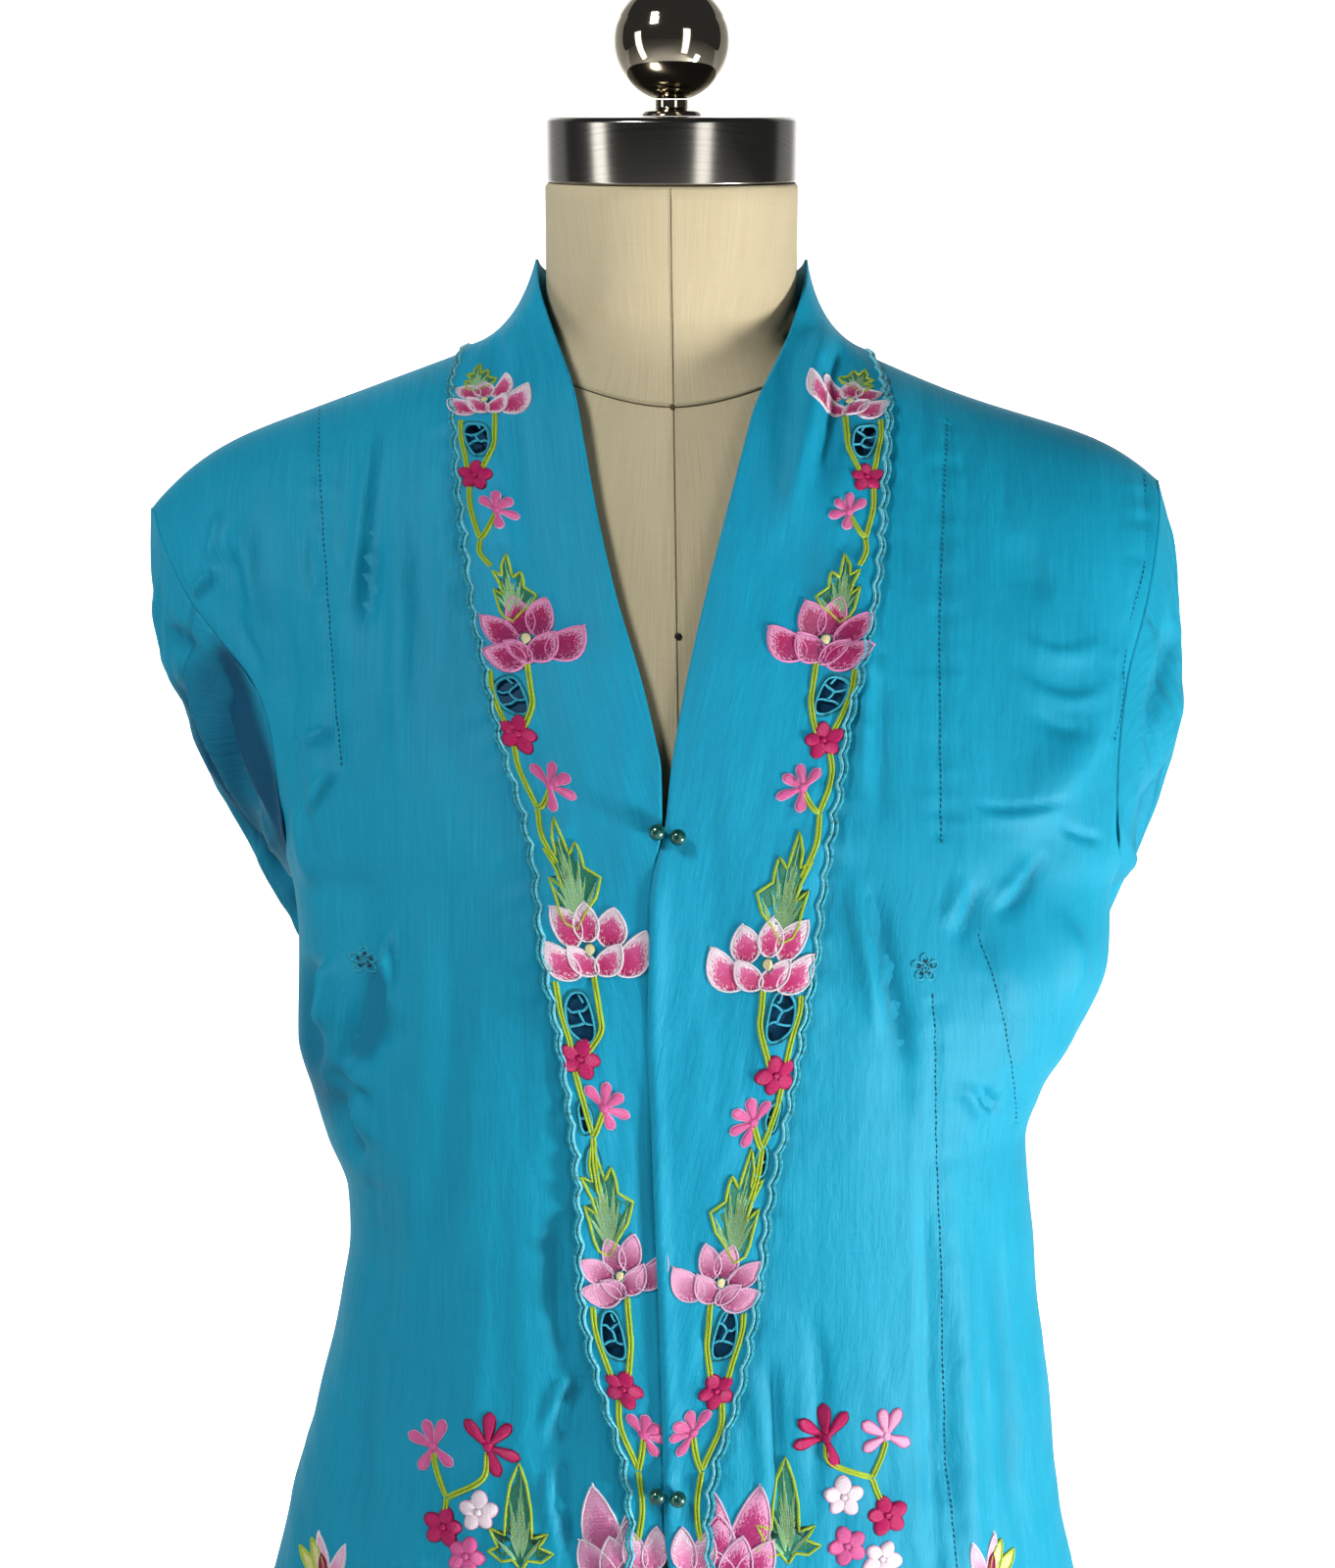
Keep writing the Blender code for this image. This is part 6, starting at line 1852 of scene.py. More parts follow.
def leaf(spot, shape, size, turn, flip=1.0):
    """A serrated leaf: a satin rim, fine veins in two colours each, and a darker ground."""
    work = spot.stitches
    shape = np.asarray(shape, float) * np.array([flip, 1.0])
    outline = []
    for a, b in zip(shape, np.roll(shape, -1, axis=0)):
        for t in np.linspace(0, 1, 4)[:-1]:
            outline.append(a + (b - a) * t)
    outline = np.array(outline)
    ring = spot.to(outline, size, turn)
    middle = shape.mean(axis=0)
    ground = spot.to(middle + (shape - middle) * 0.93, size, turn)
    work.dome(ground, 0.00012, TEAL, spot.way(turn), dye_two=FERN, mottle=0.52)
    tall = shape[:, 1].max()
    tops = [p for p in shape if p[1] > 0.33 * tall]
    for k, top in enumerate(tops):
        for share, dye, other in VEINS:
            start = np.array([0.3 * flip, 2.0]) + (top - np.array([0, 2.0])) * 0.12
            bend = (start + top) / 2 + np.array([(share - 0.7) * 7.0 * (1 if k % 2 else -1), 0])
            end = start + (top - start) * share + (bend - (start + top) / 2) * 0.6
            vein = spot.to(curve([start, (start + bend) / 2, end], 3), size, turn)
            work.strip(vein, 0.00070, 0.00050, dye, arch=3, dye_two=other, mottle=0.46)
    lift = np.abs(np.sin(np.arange(len(ring)) * 0.9)) * 0.0002
    work.strip(ring, 0.00125 + lift, 0.00080, LIME, closed=True, dye_two=OLIVE, mottle=0.36)


def stem(work, path):
    """Two rows of satin stitches side by side."""
    path = curve(path)
    side = beside(path)
    for s in (-1, 1):
        work.strip(path + side * s * 0.0006, 0.001344, 0.00085, LIME, dye_two=OLIVE, mottle=0.30)


def cutwork(work, patch, seed):
    """The corded rim of an opening and the thread bars across it."""
    ring = patch_ring(patch, 26, 0.0003)
    work.strip(ring, 0.0011, 0.00075, AQUA, closed=True, base=-0.0001, dye_two=PALE_AQUA, mottle=0.3)
    work.strip(patch_ring(patch, 26, 0.0014), 0.0007, 0.0004, TEAL, closed=True, dye_two=AQUA, mottle=0.35)
    down, inside, long, wide, turn = patch
    if long < 0.006:
        bars = [((-0.1, -1.0), (0.0, 1.0))]
    else:
        one, two = (-0.25, -0.1), (0.22, 0.25)
        bars = [((-0.42, -1.0), one), (one, (-0.62, 0.95)), (one, two), (two, (0.30, 1.0)),
                (two, (0.42, -0.95)), ((-1.0, 0.1), (-0.62, 0.4))]
    rng = np.random.RandomState(seed)
    for a, b in bars:
        a, b = np.array(a) + rng.uniform(-0.08, 0.08, 2) * 0.5, np.array(b)
        mid = (a + b) / 2 + rng.uniform(-0.12, 0.12, 2)
        line = between_points(np.array([a, mid, b]), 4) * np.array([long, wide])
        path = np.array([down, inside]) + spun(line[:, 0], line[:, 1], turn)
        work.strip(path, 0.00105, 0.0006, AQUA, base=-0.0004, dye_two=PALE_AQUA, mottle=0.42)


# The flower groups of each lapel, each from its lotus down: places down and in, in
# millimetres.
GROUPS = {
    # lotus, magenta flower, pink flower, fork of the stems
    -1: ((68.7, 15.9, 109.5, 9.3, 126.9, 17.2, 140, 8.5),
         (187.2, 21.7, 228.6, 9.3, 251, 16, 260, 8),
         (317.2, 20.5, 360.7, 8.5, 380.6, 15, 392.5, 9.5),
         (450.4, 17.6, 496, 10.5, 514.6, 12.5, 529, 7)),
    1: ((67.5, 18, 109.6, 9.5, 127.6, 16.5, 140, 8.5),
        (187.5, 18.5, 231.7, 10.5, 251.9, 16.6, 262, 8),
        (323.2, 20.2, 367.6, 9, 386.7, 14.5, 398, 9),
        (453.3, 17, 496.7, 10.5, 513.6, 14.6, 529, 7)),
}
# Their shapes, the same on both lapels.
GROUP_SHAPES = (
    # opening; leaf's stretch, size and turn; sizes of the lotus and the magenta flower;
    # length of the pink flower's petals, and their angles clockwise from up
    (0, 1.0, 0.62, 0.18, 0.84, 0.90, 9.0, (-52, -4, 42, 98, 168)),
    (1, 1.0, 0.80, 0.05, 1.0, 1.0, 10.6, (-46, 4, 48, 100, 172)),
    (2, 1.26, 0.92, 0.0, 0.98, 1.0, 10.0, (-40, 8, 52, 104, 158)),
    (5, 1.42, 0.86, 0.02, 0.82, 0.92, 9.6, (-38, 10, 48, 84, 140)),
)
# The top of the flower at the foot of a lapel, and its bud: how far down, petals and dyes.
FOOT_FLOWERS = (
    (0.592, (((0, -8), (-4.6, 9), 7, 0.6, 0), ((1, -8), (4.6, 12.5), 8, -0.6, 1),
             ((0.5, -9), (0.2, 4), 7, 0, 2)), (WHITE, MAGENTA, WHITE, PALE), 1.0, 4),
    (0.560, (((-2, -10), (-6.5, 7.5), 9.5, -0.8, 0), ((2, -10), (5, 9), 9.5, 0.8, 1)),
     (LILAC, PINK, LILAC, WHITE), 0.9, 5),
)
FOOT = np.array((0.592, 0.006))


def on_lapel(side):
    return Stitching(lambda down, inside, off: lapel_place(side, down, inside, off))


def lapel_flowers(side, name):
    """The flowers, leaves and stems of a lapel, and the rims and bars of its openings."""
    work = on_lapel(side)
    groups = [places(row) for row in GROUPS[side]]
    for k, (flower, magenta, pink, fork) in enumerate(groups):
        opening, stretch, leaf_size, leaf_turn, size, round_size, length, angles = GROUP_SHAPES[k]
        seed = 10 * k + side + 5
        patch = PATCHES[opening]
        down, inside, long, wide, _ = patch
        low, high = inside - wide, inside + wide
        # the two stems round the opening, then those to the pink flower and the next leaf
        stem(work, [(flower[0] + 0.012, low - 0.0016), (down - 0.002, low - 0.0022),
                    (down + long, low - 0.0010), magenta - (0.002, 0.003)])
        stem(work, [(flower[0] + 0.008, high + 0.0042), (down - 0.003, high + 0.0032),
                    (down + long * 0.6, high + 0.0020), magenta + (-0.001, 0.0022)])
        stem(work, [magenta + (0.004, -0.003), ((magenta[0] + fork[0]) / 2, fork[1] - 0.0025), fork])
        stem(work, [pink + (0.001, 0), (pink + fork) / 2 + (0.003, -0.001), fork])
        last = groups[k + 1][0] if k + 1 < len(groups) else FOOT
        reach = last[0] - 0.034
        stem(work, [fork, ((fork[0] + reach) / 2, fork[1] - 0.0006), (reach, last[1] * 0.5 + 0.001)])
        cutwork(work, patch, seed)
        at = band_spot(work, side, *(flower - (0.0085, 0.0040)))
        leaf(at, np.array(LEAF) * np.array([1.0, stretch]), leaf_size, leaf_turn)
        at = band_spot(work, side, *flower)
        if k % 2 == 0:
            lotus(at, LOTUS_TWO, WHITE, MAGENTA, PINK, WHITE, size, seed=seed, fading=0.25)
        else:
            rim, far = (BLUSH, MAGENTA) if k < 3 else (LILAC, PALE)
            lotus(at, LOTUS_ONE, rim, PLUM, far, PALE, size, seed=seed, fading=0.22)
        round_flower(band_spot(work, side, *magenta), MAGENTA, CRIMSON, 0.1 * k, round_size, seed)
        finger_flower(band_spot(work, side, *pink), PINK, PALE, angles, length, 4.0, seed)
    for patch in PATCHES[3:5]:
        cutwork(work, patch, 77)
    for down, petals, dyes, size, seed in FOOT_FLOWERS:
        at = band_spot(work, side, down, 0.0075)
        lotus(at, petals, *dyes, size, heart=False, seed=seed)
    return work.build(name)


def cord_edge(side, name):
    """The corded, scalloped edge of a lapel, with short threads across its two cords."""
    work = on_lapel(side)
    end = BAND[side].length
    d = np.arange(0.0, end, 0.0016)
    edge = -scallop(d)
    wander = 0.0004 * ripple(d, d * 0, 0.011, 1, 61 + side)
    work.strip(np.stack([d, edge + 0.0008], 1), 0.0019, 0.0010, AQUA, dye_two=TEAL, mottle=0.48)
    inner = np.stack([d, edge + 0.0024 + wander], 1)
    work.strip(inner, 0.0015, 0.0012, PALE_AQUA, dye_two=TEAL, mottle=0.42)
    rng = np.random.RandomState(71 + side)
    for at in np.arange(0.001, end - 0.002, 0.0017):
        a = at + rng.uniform(-0.0008, 0.0008)
        s = float(-scallop(np.array(a)))
        out = rng.uniform(-0.0011, 0.0004)
        path = [(a, s + 0.0028), (a + rng.uniform(-0.0010, 0.0010), s + 0.0014),
                (a + rng.uniform(-0.0015, 0.0015), s + out)]
        work.strip(curve(path, 2), 0.00036, 0.0004, CLOTH_BLUE, arch=3, dye_two=AQUA, mottle=0.46)
    return work.build(name)


# The flowers over the hem: places as distance from the centre and level, in millimetres,
# the colours and petals of the two long-petalled flowers, and the small round ones.
HEM_FLOWERS = {
    -1: dict(first=(96.1, -271.6), second=(73.2, -269.6), join=(90.1, -291.2), low=(91.3, -302.9),
             tall=(59.2, -318), lotus=(20, -297.3), outer=(143.9, -324),
             dyes=((PINK, PALE), (MAGENTA, CRIMSON)),
             petals=((-68, -20, 22, 128, 208), (-42, 4, 46, 108, 158)),
             rounds=(((76.7, -295.9), WHITE, PALE), ((81.8, -313.8), PINK, ROSE)),
             rim=WHITE, far=BLUSH, fading=0.30),
    1: dict(first=(89.3, -265.9), second=(64.5, -265.6), join=(83.1, -282.3), low=(89.2, -297.7),
            tall=(49, -315), lotus=(27, -297.3), outer=(133.3, -320),
            dyes=((PALE, PINK), (MAGENTA, CRIMSON)),
            petals=((60, 10, -28, 118, 248), (56, 4, -40, 100, -162)),
            rounds=(((71.5, -289.4), WHITE, PALE), ((72.9, -309.1), PINK, ROSE),
                    ((87, -315), WHITE, PALE)),
            rim=LILAC, far=ROSE, fading=0.24),
}
# Petals of the cut lotus at the centre, and of the three parts of the flower at the side.
BIG_LOTUS = (((0, -20), (-9.5, 13), 13, -1.6, 0), ((2, -22), (9, 12), 10, 1, 0),
             ((4, -24), (7, 3), 13, 0.5, 1), ((0, -26), (14, -8), 12, 1.5, 2),
             ((-1, -24), (-15, -8), 11, -1.5, 2), ((2, -27), (-3, -6), 11, 0, 3))
SIDE_FLOWER = (
    ((((0, -9), (-3, 9), 4.6, 0.6, 0), ((2, -9), (9, 7), 5, 1, 0)), (WHITE, PINK, WHITE, PALE)),
    ((((-1, -9), (-12, 0), 5.4, -1, 0), ((-1, -9.5), (-6, 5), 4.6, 0.4, 1)),
     (LIME, STRAW, CREAM, LIME)),
    ((((1, -9), (-1.5, 1), 3.4, 0, 2),), (CRIMSON, CRIMSON, MAGENTA, CRIMSON)),
)


def front_flowers(side, name):
    """The flowers over the hem of a front, cut by the lapel's edge at its inner side."""
    work = Stitching(front_place)
    plan = HEM_FLOWERS[side]
    first, second, join, low = (places(plan[k])[0] for k in ("first", "second", "join", "low"))

    def at(place):
        x, level = places(place)[0]
        return front_spot(work, side, side * x, level)

    def stalk(*path):
        stem(work, np.array(path) * np.array([side, 1]))

    stalk(first - (0, 0.002), (first + join) / 2 + (0.001, 0), join)
    stalk(second - (0, 0.002), (second[0] + 0.002, second[1] * 0.4 + join[1] * 0.6), join)
    stalk(join, (join + low) / 2, low + (0, 0.004))
    finger_flower(at(plan["first"]), *plan["dyes"][0], plan["petals"][0], 11.4, 4.2, 3)
    finger_flower(at(plan["second"]), *plan["dyes"][1], plan["petals"][1], 13.0, 4.6, 4)
    round_flower(at(plan["low"]), MAGENTA, CRIMSON, 0.2, 1.0, 6)
    for k, (place, dye, rim) in enumerate(plan["rounds"]):
        round_flower(at(place), dye, rim, 0.4 * k, 0.98, 8 + k)
    leaf(at(plan["tall"]), TALL_LEAF, 1.0, 0.02 * side, flip=side)
    rim, far = plan["rim"], plan["far"]
    lotus(at(plan["lotus"]), BIG_LOTUS, rim, PLUM, far, PALE, 1.05, False, 9, plan["fading"])
    wing = at(plan["outer"])
    for k, (petals, colours) in enumerate(SIDE_FLOWER):
        lotus(wing, petals, *colours, heart=False, seed=11 + k)
    return work.build(name, "turquoise_cotton")


# Small sewing.

def stitch_nodes(name):
    """Geometry nodes that set one stitch on every point, turned and sized by its values."""
    tree = bpy.data.node_groups.new(name, "GeometryNodeTree")
    made = tree.interface
    for label, kind in (("Geometry", "Geometry"), ("Stitch", "Object"), ("Size", "Float"),
                        ("Material", "Material")):
        made.new_socket(label, in_out="INPUT", socket_type="NodeSocket" + kind)
    made.new_socket("Geometry", in_out="OUTPUT", socket_type="NodeSocketGeometry")
    n = Nodes(tree)
    start, end = n.add("NodeGroupInput"), n.add("NodeGroupOutput")
    thing = n.add("GeometryNodeObjectInfo")
    n.put(thing.inputs["Object"], start.outputs["Stitch"])
    turn = n.add("GeometryNodeInputNamedAttribute", data_type="FLOAT_VECTOR")
    turn.inputs["Name"].default_value = "turn"
    size = n.add("GeometryNodeInputNamedAttribute", data_type="FLOAT")
    size.inputs["Name"].default_value = "size"
    put = n.add("GeometryNodeInstanceOnPoints")
    n.put(put.inputs["Points"], start.outputs["Geometry"])
    n.put(put.inputs["Instance"], thing.outputs["Geometry"])
    n.put(put.inputs["Rotation"], turn.outputs["Attribute"])
    n.put(put.inputs["Scale"], n.math("MULTIPLY", size.outputs["Attribute"], start.outputs["Size"]))
    real = n.add("GeometryNodeRealizeInstances")
    n.put(real.inputs[0], put.outputs[0])
    look = n.add("GeometryNodeSetMaterial")
    n.put(look.inputs["Geometry"], real.outputs[0])
    n.put(look.inputs["Material"], start.outputs["Material"])
    n.put(end.inputs[0], look.outputs[0])
    return tree


def one_stitch():
    """A stitch 1 mm long, arched, along X; Z is off the cloth."""
    rings, faces = [], []
    arch = ((-0.52, -0.10, 0.06), (-0.40, 0.06, 0.13), (0.0, 0.13, 0.15), (0.40, 0.06, 0.13),
            (0.52, -0.10, 0.06))
    for x, z, r in arch:
        for c in range(6):
            a = math.tau * c / 6
            rings.append((x, r * math.cos(a), z + r * math.sin(a)))
    for k in range(4):
        for c in range(6):
            d = (c + 1) % 6
            faces.append((k * 6 + c, k * 6 + d, k * 6 + 6 + d, k * 6 + 6 + c))
    faces += [tuple(range(5, -1, -1)), tuple(range(24, 30))]
    return make("stitch_pattern", np.array(rings), faces, lift=False)


def stitched(name, sewn, look, tree, pattern, length):
    """Separate stitches as one plain mesh. 'sewn' has groups of places, ways along the
    stitches, ways off the cloth, and sizes."""
    points, forward, outward, sizes = (np.concatenate(part) for part in zip(*sewn))
    forward = unit(forward)
    side = unit(np.cross(unit(outward), forward))
    outward = np.cross(forward, side)
    turns = [np.arctan2(side[:, 2], outward[:, 2]), np.arcsin(np.clip(-forward[:, 2], -1, 1)),
             np.arctan2(forward[:, 1], forward[:, 0])]
    base = bpy.data.meshes.new(name + "_points")
    base.from_pydata([tuple(p) for p in points + np.array([0, 0, DATUM])], [], [])
    turn = base.attributes.new("turn", "FLOAT_VECTOR", "POINT")
    turn.data.foreach_set("vector", np.stack(turns, 1).astype(np.float32).ravel())
    holder = in_scene(name + "_points", base)
    add_value(holder, "size", sizes)
    step = holder.modifiers.new("stitches", "NODES")
    step.node_group = tree
    values = {"Stitch": pattern, "Size": length, "Material": look}
    for item in tree.interface.items_tree:
        if item.item_type == "SOCKET" and item.in_out == "INPUT" and item.name in values:
            step[item.identifier] = values[item.name]
    bpy.context.view_layer.update()
    graph = bpy.context.evaluated_depsgraph_get()
    mesh = bpy.data.meshes.new_from_object(holder.evaluated_get(graph))
    bpy.data.objects.remove(holder)
    made = in_scene(name, mesh)
    if not mesh.materials:
        mesh.materials.append(look)
    mesh.shade_smooth()
    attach(made, "root")
    return made


def on_path(path, at, values=None):
    """Points of a path at distances along it, or the values that go with its points."""
    along = lengths(path)
    values = path if values is None else values
    return np.stack([np.interp(at, along, column) for column in values.T], axis=-1)


def sewn_lines():
    """Seam and dart stitches of the fronts, and the topstitching of the cuffs."""
    tree, pattern = stitch_nodes("stitches"), one_stitch()
    rng = np.random.RandomState(91)
    ahead = 0.0008
    sewn = []
    for row in FRONT_SEAMS[:3] + FRONT_SEAMS[4:]:
        path = between_points(places(row), 8)
        s = np.arange(0.001, lengths(path)[-1], 0.0024)
        (x, z), (x2, z2) = on_path(path, s).T, on_path(path, s + ahead).T
        good = (z > -0.385) & (z < ridge(x) - 0.003)
        here, there = front_place(x, z, 0.00015), front_place(x2, z2, 0.00015)
        sewn.append((here[good], (there - here)[good], skin_normal(x, z)[good],
                     rng.uniform(0.85, 1.1, good.sum())))
    stitched("seam_stitches", sewn, SEAM_THREAD, tree, pattern, 0.00155)
    sewn = []
    for side in (-1, 1):
        rings = finer(sleeve_grid(side), 4, 3, closed=True)
        normals = tube_normals(rings)
        ring = np.concatenate([rings[-3], rings[-3][:1]])
        normals = np.concatenate([normals[-3], normals[-3][:1]])
        s = np.arange(0, lengths(ring)[-1] - 0.001, 0.0026)
        here, out = on_path(ring, s), on_path(ring, s, normals)
        sewn.append((here + unit(out) * 0.0004, on_path(ring, s + ahead) - here, out, np.ones(len(s))))
    stitched("cuff_stitches", sewn, SEAM_THREAD, tree, pattern, 0.0017)
    bpy.data.objects.remove(pattern)


def star_eyelets():
    """The two small openwork flowers at the ends of the shoulder darts."""
    work = Stitching(front_place)
    for side, x, level in ((-1, -0.1268, -0.0727), (1, 0.1045, -0.0744)):
        spot = front_spot(work, side, x, level)
        for k in range(5):
            a = math.tau * k / 5
            t = np.linspace(0, math.tau, 11)[:-1]
            shape = np.stack([1.7 * np.sin(t), 3.6 - 2.0 * np.cos(t)], axis=1)
            # painted shade: a flat dark patch inside each petal stands for the shade seen through its
            # opening
            work.dome(spot.to(shape * 0.62, 1, a), 0.0002, srgb(2, 66, 96), spot.way(a), 0.0001)
            work.strip(spot.to(shape, 1, a), 0.0009, 0.0006, AQUA, True, 0.0, CLOTH_BLUE, 0.42)
        work.strip(spot.to(circle(8, 1.0)), 0.0008, 0.0006, AQUA, True, 0.0, CLOTH_BLUE, 0.42)
    return work.build("star_eyelets", "turquoise_cotton")


def hem_edge(side, name):
    """The scalloped cord along the hem of a front."""
    flat = finer(front_grid(side)[..., [0, 2]], *FRONT_FINER)
    work = Stitching(front_place)
    row = flat[-6]
    s = np.arange(0.002, lengths(row)[-1] * 0.985, 0.0016)
    x, level = on_path(row, s).T
    level = level + scallop(s) * 0.8
    work.strip(np.stack([x, level], 1), 0.0014, 0.0010, PALE_AQUA, dye_two=AQUA, mottle=0.36)
    work.strip(np.stack([x, level - 0.0022], 1), 0.0020, 0.0006, AQUA, dye_two=CLOTH_BLUE, mottle=0.32)
    return work.build(name, "turquoise_cotton")


# The dress form.

def turned(name, profile, look, axis_at=(0.0, 0.0), lean=0.0, sides=96):
    """A piece turned from (radius, height) rows round an upright or leaning axis."""
    points, faces, rings = [], [], []
    along = np.array([0.0, -lean, 1.0]) / math.hypot(1, lean)
    forward = np.array([0.0, 1.0, lean]) / math.hypot(1, lean)
    origin = np.array([axis_at[0], axis_at[1], 0.0])
    for radius, height in profile:
        here = origin + along * height
        if radius == 0:
            rings.append([len(points)])
            points.append(here)
            continue
        rings.append(list(range(len(points), len(points) + sides)))
        for k in range(sides):
            a = math.tau * k / sides
            points.append(here + radius * (math.cos(a) * np.array([1.0, 0, 0]) + math.sin(a) * forward))
    for low, high in zip(rings, rings[1:]):
        for k in range(sides):
            j = (k + 1) % sides
            if len(low) == 1:
                faces.append((low[0], high[j], high[k]))
            elif len(high) == 1:
                faces.append((low[k], low[j], high[0]))
            else:
                faces.append((low[k], low[j], high[j], high[k]))
    made = make(name + "_finish", points, faces)
    made.data.materials.append(look)
    made.data.set_sharp_from_angle(angle=math.radians(35))
    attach(made, "root")
    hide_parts(name)
    return made


def rounded(profile, radius):
    """A profile with its corners rounded."""
    out = [profile[0]]
    for before, at, after in zip(profile, profile[1:], profile[2:]):
        p, q, r = np.array(before, float), np.array(at, float), np.array(after, float)
        a, b = p - q, r - q
        la, lb = np.hypot(*a), np.hypot(*b)
        cut = min(radius, la * 0.45, lb * 0.45)
        start, end = q + a / la * cut, q + b / lb * cut
        for t in np.linspace(0, 1, 4):
            out.append(tuple(start * (1 - t) ** 2 + 2 * q * t * (1 - t) + end * t**2))
    out.append(profile[-1])
    return out


def form_surface(angle, level):
    """How far the form's surface is at a level, in each direction, before the neck's lean."""
    r = form_radius(angle, level)
    n = neck_distance(angle, level)
    if level > 0.22:
        r = n
    elif level > 0.08:
        r = (r**14 + n**14) ** (1 / 14)
    return r


def leaned(x, y, level):
    """A point of the form, tilted with the neck where it belongs to it."""
    tilt = np.clip((level - 0.20) / 0.03, 0, 1) * NECK_LEAN
    return np.stack([x, y, level + tilt * (y - neck_axis_y(level))], axis=-1)


def form_cover():
    """The form's linen cover, from the hips to the top of the neck."""
    angle = np.arange(144) * math.tau / 144
    levels = np.concatenate([[FORM_BOTTOM, FORM_BOTTOM + 0.003],
                             np.linspace(FORM_BOTTOM + 0.010, -0.06, 46),
                             np.linspace(-0.05, 0.246, 74),
                             [0.254, 0.261, NECK_TOP - 0.0015, NECK_TOP]])
    rows = []
    for k, level in enumerate(levels):
        r = form_surface(angle, level) * (0.985 if k == 0 else 1)
        if k == len(levels) - 1:
            r = r - 0.0012
        rows.append(leaned(r * np.cos(angle), r * np.sin(angle), level))
    rows = np.array(rows)
    faces = grid_faces(len(levels), len(angle), 0, closed=True)
    points = list(rows.reshape(-1, 3)) + [rows[0].mean(axis=0), rows[-1].mean(axis=0)]
    low, high = len(points) - 2, len(points) - 1
    last = (len(levels) - 1) * len(angle)
    for c in range(len(angle)):
        d = (c + 1) % len(angle)
        faces.append((low, c, d))
        faces.append((high, last + d, last + c))
    made = make("dress_form", points, faces)
    u = np.append(np.tile(angle * 0.16, len(levels)), (0, 0))
    v = np.append(np.repeat(levels, len(angle)), (FORM_BOTTOM, NECK_TOP))
    add_uv(made, "cloth", np.stack([u, v], 1))
    made.data.materials.append(LINEN)
    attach(made, "root")
    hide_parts("form_body")
    return made


FORM_LEVELS = np.linspace(-0.04, NECK_TOP, 70)
FORM_ANGLES = np.linspace(-math.pi / 2 - 1.0, -math.pi / 2 + 1.0, 61)


def form_front():
    """The front of the form: for some levels, how far it is at each x."""
    wide = np.linspace(-0.05, 0.05, 41)
    rows = []
    for level in FORM_LEVELS:
        r = form_surface(FORM_ANGLES, float(level))
        rows.append(np.interp(wide, r * np.cos(FORM_ANGLES), r * np.sin(FORM_ANGLES)))
    return wide, np.array(rows)


def form_place(x, level, off):
    """A place on the front of the form."""
    wide, rows = form_front()
    k = np.clip(np.searchsorted(FORM_LEVELS, level) - 1, 0, len(FORM_LEVELS) - 2)
    t = (level - FORM_LEVELS[k]) / (FORM_LEVELS[1] - FORM_LEVELS[0])
    c = np.clip(np.searchsorted(wide, x) - 1, 0, len(wide) - 2)
    u = (x - wide[c]) / (wide[1] - wide[0])
    low = rows[k, c] * (1 - u) + rows[k, c + 1] * u
    high = rows[k + 1, c] * (1 - u) + rows[k + 1, c + 1] * u
    at = leaned(x, low * (1 - t) + high * t, level)
    at[..., 1] -= off
    return at


def form_seams():
    """The centre seam, the neck seam with its knot, and a pin."""
    work = Stitching(form_place)
    dark, light = srgb(96, 84, 60), srgb(206, 194, 160)
    z = np.linspace(NECK_TOP - 0.0004, -0.03, 90)
    x = 0.0008 + (NECK_TOP - z) * 0.0125
    work.strip(np.stack([x, z], 1), 0.0011, 0.00030, light, arch=5)
    work.strip(np.stack([x + 0.0005, z], 1), 0.0004, 0.00042, dark, arch=3)
    turn = np.linspace(-0.046, 0.046, 50)
    level = 0.1625 + 0.0098 * (np.abs(turn) / 0.038) ** 1.7 - 0.002
    work.strip(np.stack([turn + 0.0016, level], 1), 0.0008, 0.00045, dark, arch=5)
    work.strip(np.stack([turn + 0.0016, level + 0.0012], 1), 0.0016, 0.00035, light, arch=5)
    work.dome(circle(8, 0.0012, 0.0015, (0.0021, 0.1606)), 0.0012, dark)
    work.dome(circle(12, 0.0016, at=(0.0044, 0.0607)), 0.0012, srgb(34, 32, 30))
    return work.build("form_seams", "linen")


def raised(profile, rise):
    """A profile moved up."""
    return [(radius, rise + height) for radius, height in profile]


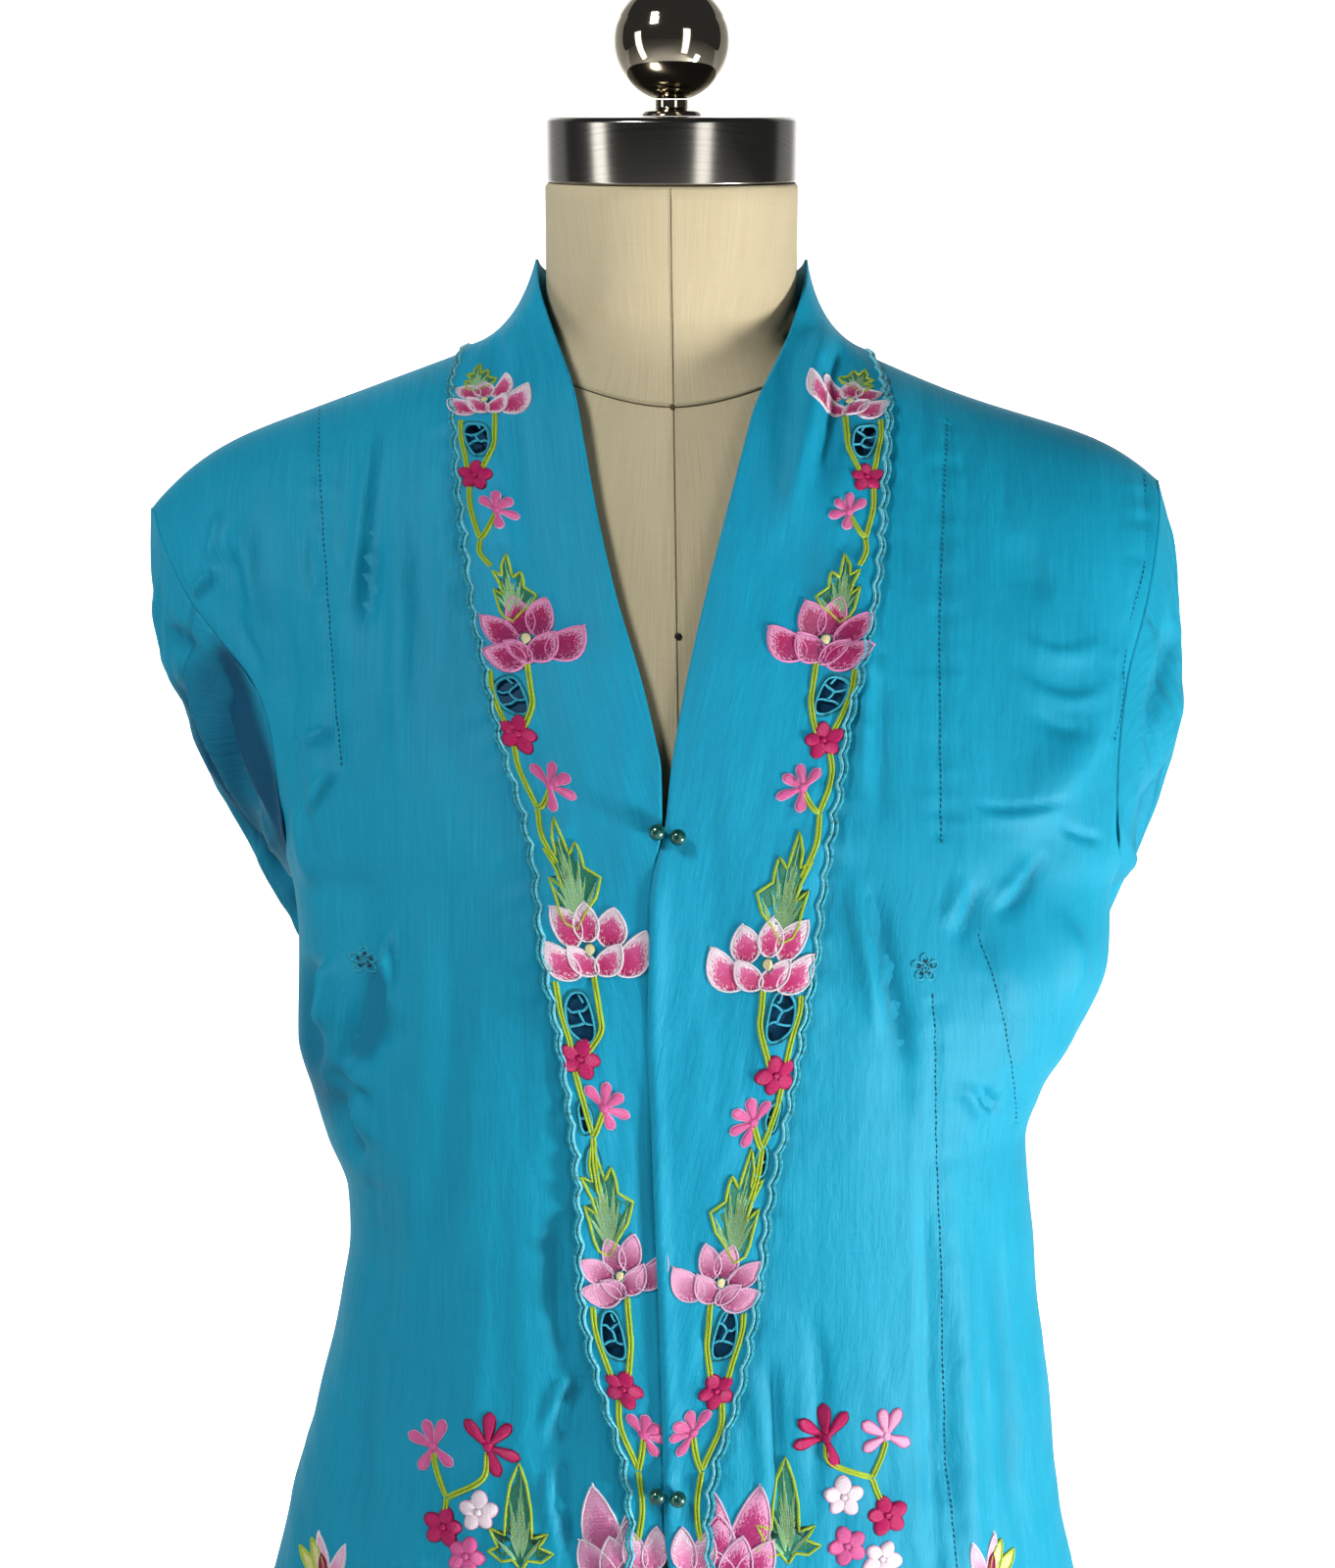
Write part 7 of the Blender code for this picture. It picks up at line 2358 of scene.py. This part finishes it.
def metal_parts():
    """The neck's cap, stem and ball, and the flange, the pole and the base under the form."""
    stretch = math.hypot(1, NECK_LEAN)
    start = NECK_TOP * stretch
    foot = (NECK_X, neck_axis_y(0.0))
    g, h = SEAM, CAP_HEIGHT
    wide = CAP_RADIUS
    cap = [(0, g), (wide - 0.0006, g), (wide, g + 0.0008), (wide, h - 0.0016), (wide - 0.0018, h), (0, h)]
    turned("neck_cap", raised(rounded(cap, 0.0007), start), STEEL, foot, NECK_LEAN, 128)
    low = h + SEAM
    top = h + BALL_RISE - BALL_RADIUS + 0.0045
    disc = [(0, low), (0.013, low), (0.0134, low + 0.0006), (0.0122, low + 0.002),
            (STEM_RADIUS + 0.001, low + 0.0028), (STEM_RADIUS, low + 0.0036),
            (STEM_RADIUS, top + 0.0011), (0, top + 0.0011)]
    turned("neck_stem", raised(rounded(disc, 0.0003), start), CHROME, foot, NECK_LEAN, 48)
    cut = math.asin((STEM_RADIUS + 0.0006) / BALL_RADIUS)
    ball = [(0, top + SEAM + BALL_RADIUS - BALL_RADIUS * math.cos(cut))]
    groove = 0.62
    for k in range(49):
        a = cut + (math.pi - cut) * k / 48
        out = 0.0 if k == 48 else BALL_RADIUS * math.sin(a)
        dip = 0.0005 * math.exp(-(((a / math.pi - groove) / 0.008) ** 2))
        ball.append((max(out - dip, 0.0), top + SEAM + BALL_RADIUS - BALL_RADIUS * math.cos(a)))
    turned("neck_ball", raised(ball, start), CHROME, foot, NECK_LEAN, 96)
    foot = FORM_BOTTOM - SEAM
    flange = [(0, foot - 0.010), (FLANGE_RADIUS - 0.002, foot - 0.010), (FLANGE_RADIUS, foot - 0.008),
              (FLANGE_RADIUS, foot), (0, foot)]
    turned("pole_flange", rounded(flange, 0.0008), STEEL)
    begin = BASE_HEIGHT + SEAM - DATUM
    pole = [(0, begin), (POLE_RADIUS, begin), (POLE_RADIUS, foot - 0.010 - SEAM), (0, foot - 0.010 - SEAM)]
    turned("pole", pole, STEEL, sides=64)
    base = [(0, 0), (BASE_RADIUS - 0.0015, 0), (BASE_RADIUS, 0.0015), (BASE_RADIUS, BASE_HEIGHT - 0.003),
            (BASE_RADIUS - 0.003, BASE_HEIGHT), (0.028, BASE_HEIGHT), (0, BASE_HEIGHT)]
    turned("base", raised(rounded(base, 0.0008), -DATUM), BASE_STEEL, sides=160)


def beads():
    for name, x, level in BEADS:
        y = float(body(x, level)) - LIFT - BAND_WALL - SEAM - BEAD_RADIUS - 0.0009
        profile = []
        for k in range(17):
            a = math.pi * k / 16
            out = 0.0 if k in (0, 16) else BEAD_RADIUS * math.sin(a)
            profile.append((out, level - BEAD_RADIUS * math.cos(a)))
        turned(name, profile, PEARL, (x, y), 0.0, 28)


# Studio.

# The camera's place in metres, and its lens and the height of its picture in millimetres.
CAMERA, LENS, SENSOR = (0.0, -1.2, 0.82), 61.36, 36.0
LIGHTS = (
    # name, place, height on the middle axis that it points at, width, height, watts, tint
    ("key", (1.25, -0.62, 0.16), 0.66, 0.26, 0.26, 28, (1.0, 0.985, 0.96)),
    ("fill", (-0.90, -1.25, 1.95), 0.86, 0.38, 0.38, 21, (0.97, 0.99, 1.0)),
    ("strip_right", (0.73, -1.31, 0.75), 0.80, 0.36, 1.3, 3.6, (1, 1, 1)),
    ("strip_left", (-1.39, -0.56, 0.75), 0.80, 0.36, 1.3, 4.0, (1, 1, 1)),
)


def studio():
    """A pale floor that curves up behind, four lights, the camera and the look."""
    mesh = bpy.data.meshes.new("floor")
    curve_up = ((-6.0, 0.0), (-1.0, 0.0), (1.2, 0.0), (2.0, 0.04), (2.6, 0.24), (3.0, 0.64), (3.2, 1.2),
                (3.24, 2.4), (3.24, 6.4))
    points = [(x, y, z) for y, z in curve_up for x in (-8.0, 8.0)]
    faces = [(2 * k, 2 * k + 1, 2 * k + 3, 2 * k + 2) for k in range(len(curve_up) - 1)]
    mesh.from_pydata(points, [], faces)
    mesh.shade_smooth()
    floor = in_scene("floor", mesh)
    made, n, shader = new_material("pale floor")
    settle(shader, Base_Color=(0.86, 0.86, 0.86, 1), Roughness=0.8, Emission_Color=(1, 1, 1, 1))
    where = n.add("ShaderNodeSeparateXYZ")
    n.put(where.inputs[0], object_place(n))
    glow = n.range(where.outputs[1], 1.0, 1.35, 0.0, 0.95)
    aside = n.math("DIVIDE", n.math("ABSOLUTE", where.outputs[0]), n.math("ADD", where.outputs[1], 1.2))
    fade = n.range(aside, 0.30, 0.57, 1.0, 0.25)
    n.put(shader.inputs["Emission Strength"], n.math("MULTIPLY", glow, fade))
    mesh.materials.append(made)
    for name, at, aim, width, height, power, tint in LIGHTS:
        data = bpy.data.lights.new(name, "AREA")
        data.shape = "RECTANGLE"
        data.size, data.size_y = width, height
        data.energy, data.color = power, tint
        lamp = in_scene(name, data)
        lamp.location = at
        lamp.rotation_euler = (Vector((0, 0, aim)) - Vector(at)).to_track_quat("-Z", "Y").to_euler()
    world = bpy.data.worlds.new("studio")
    world.use_nodes = True
    colour, strength = world.node_tree.nodes["Background"].inputs[:2]
    colour.default_value = (0.80, 0.86, 0.92, 1)
    strength.default_value = 0.07
    bpy.context.scene.world = world
    scene = bpy.context.scene
    scene.view_settings.view_transform = "Standard"
    scene.view_settings.look = "Medium High Contrast"
    data = bpy.data.cameras.new("camera")
    data.sensor_fit, data.sensor_height, data.lens = "VERTICAL", SENSOR, LENS
    camera = in_scene("camera", data)
    camera.location = CAMERA
    camera.rotation_euler = (math.pi / 2, 0, 0)
    scene.camera = camera


def main():
    studio()
    form_cover()
    form_seams()
    metal_parts()
    beads()
    sides = ((-1, "right"), (1, "left"))
    for side, name in sides:
        front_cloth(side, f"front_{name}_cloth")
    back_cloth()
    for side, name in sides:
        sleeve_cloth(side, f"sleeve_{name}_cloth")
    for side, name in sides:
        lapel_cloth(side, f"lapel_{name}_cloth")
    collar_cloth()
    for side, name in sides:
        lapel_flowers(side, "flowers_" + name)
        cord_edge(side, "cord_" + name)
        front_flowers(side, "hem_flowers_" + name)
        hem_edge(side, "hem_cord_" + name)
    star_eyelets()
    sewn_lines()


main()
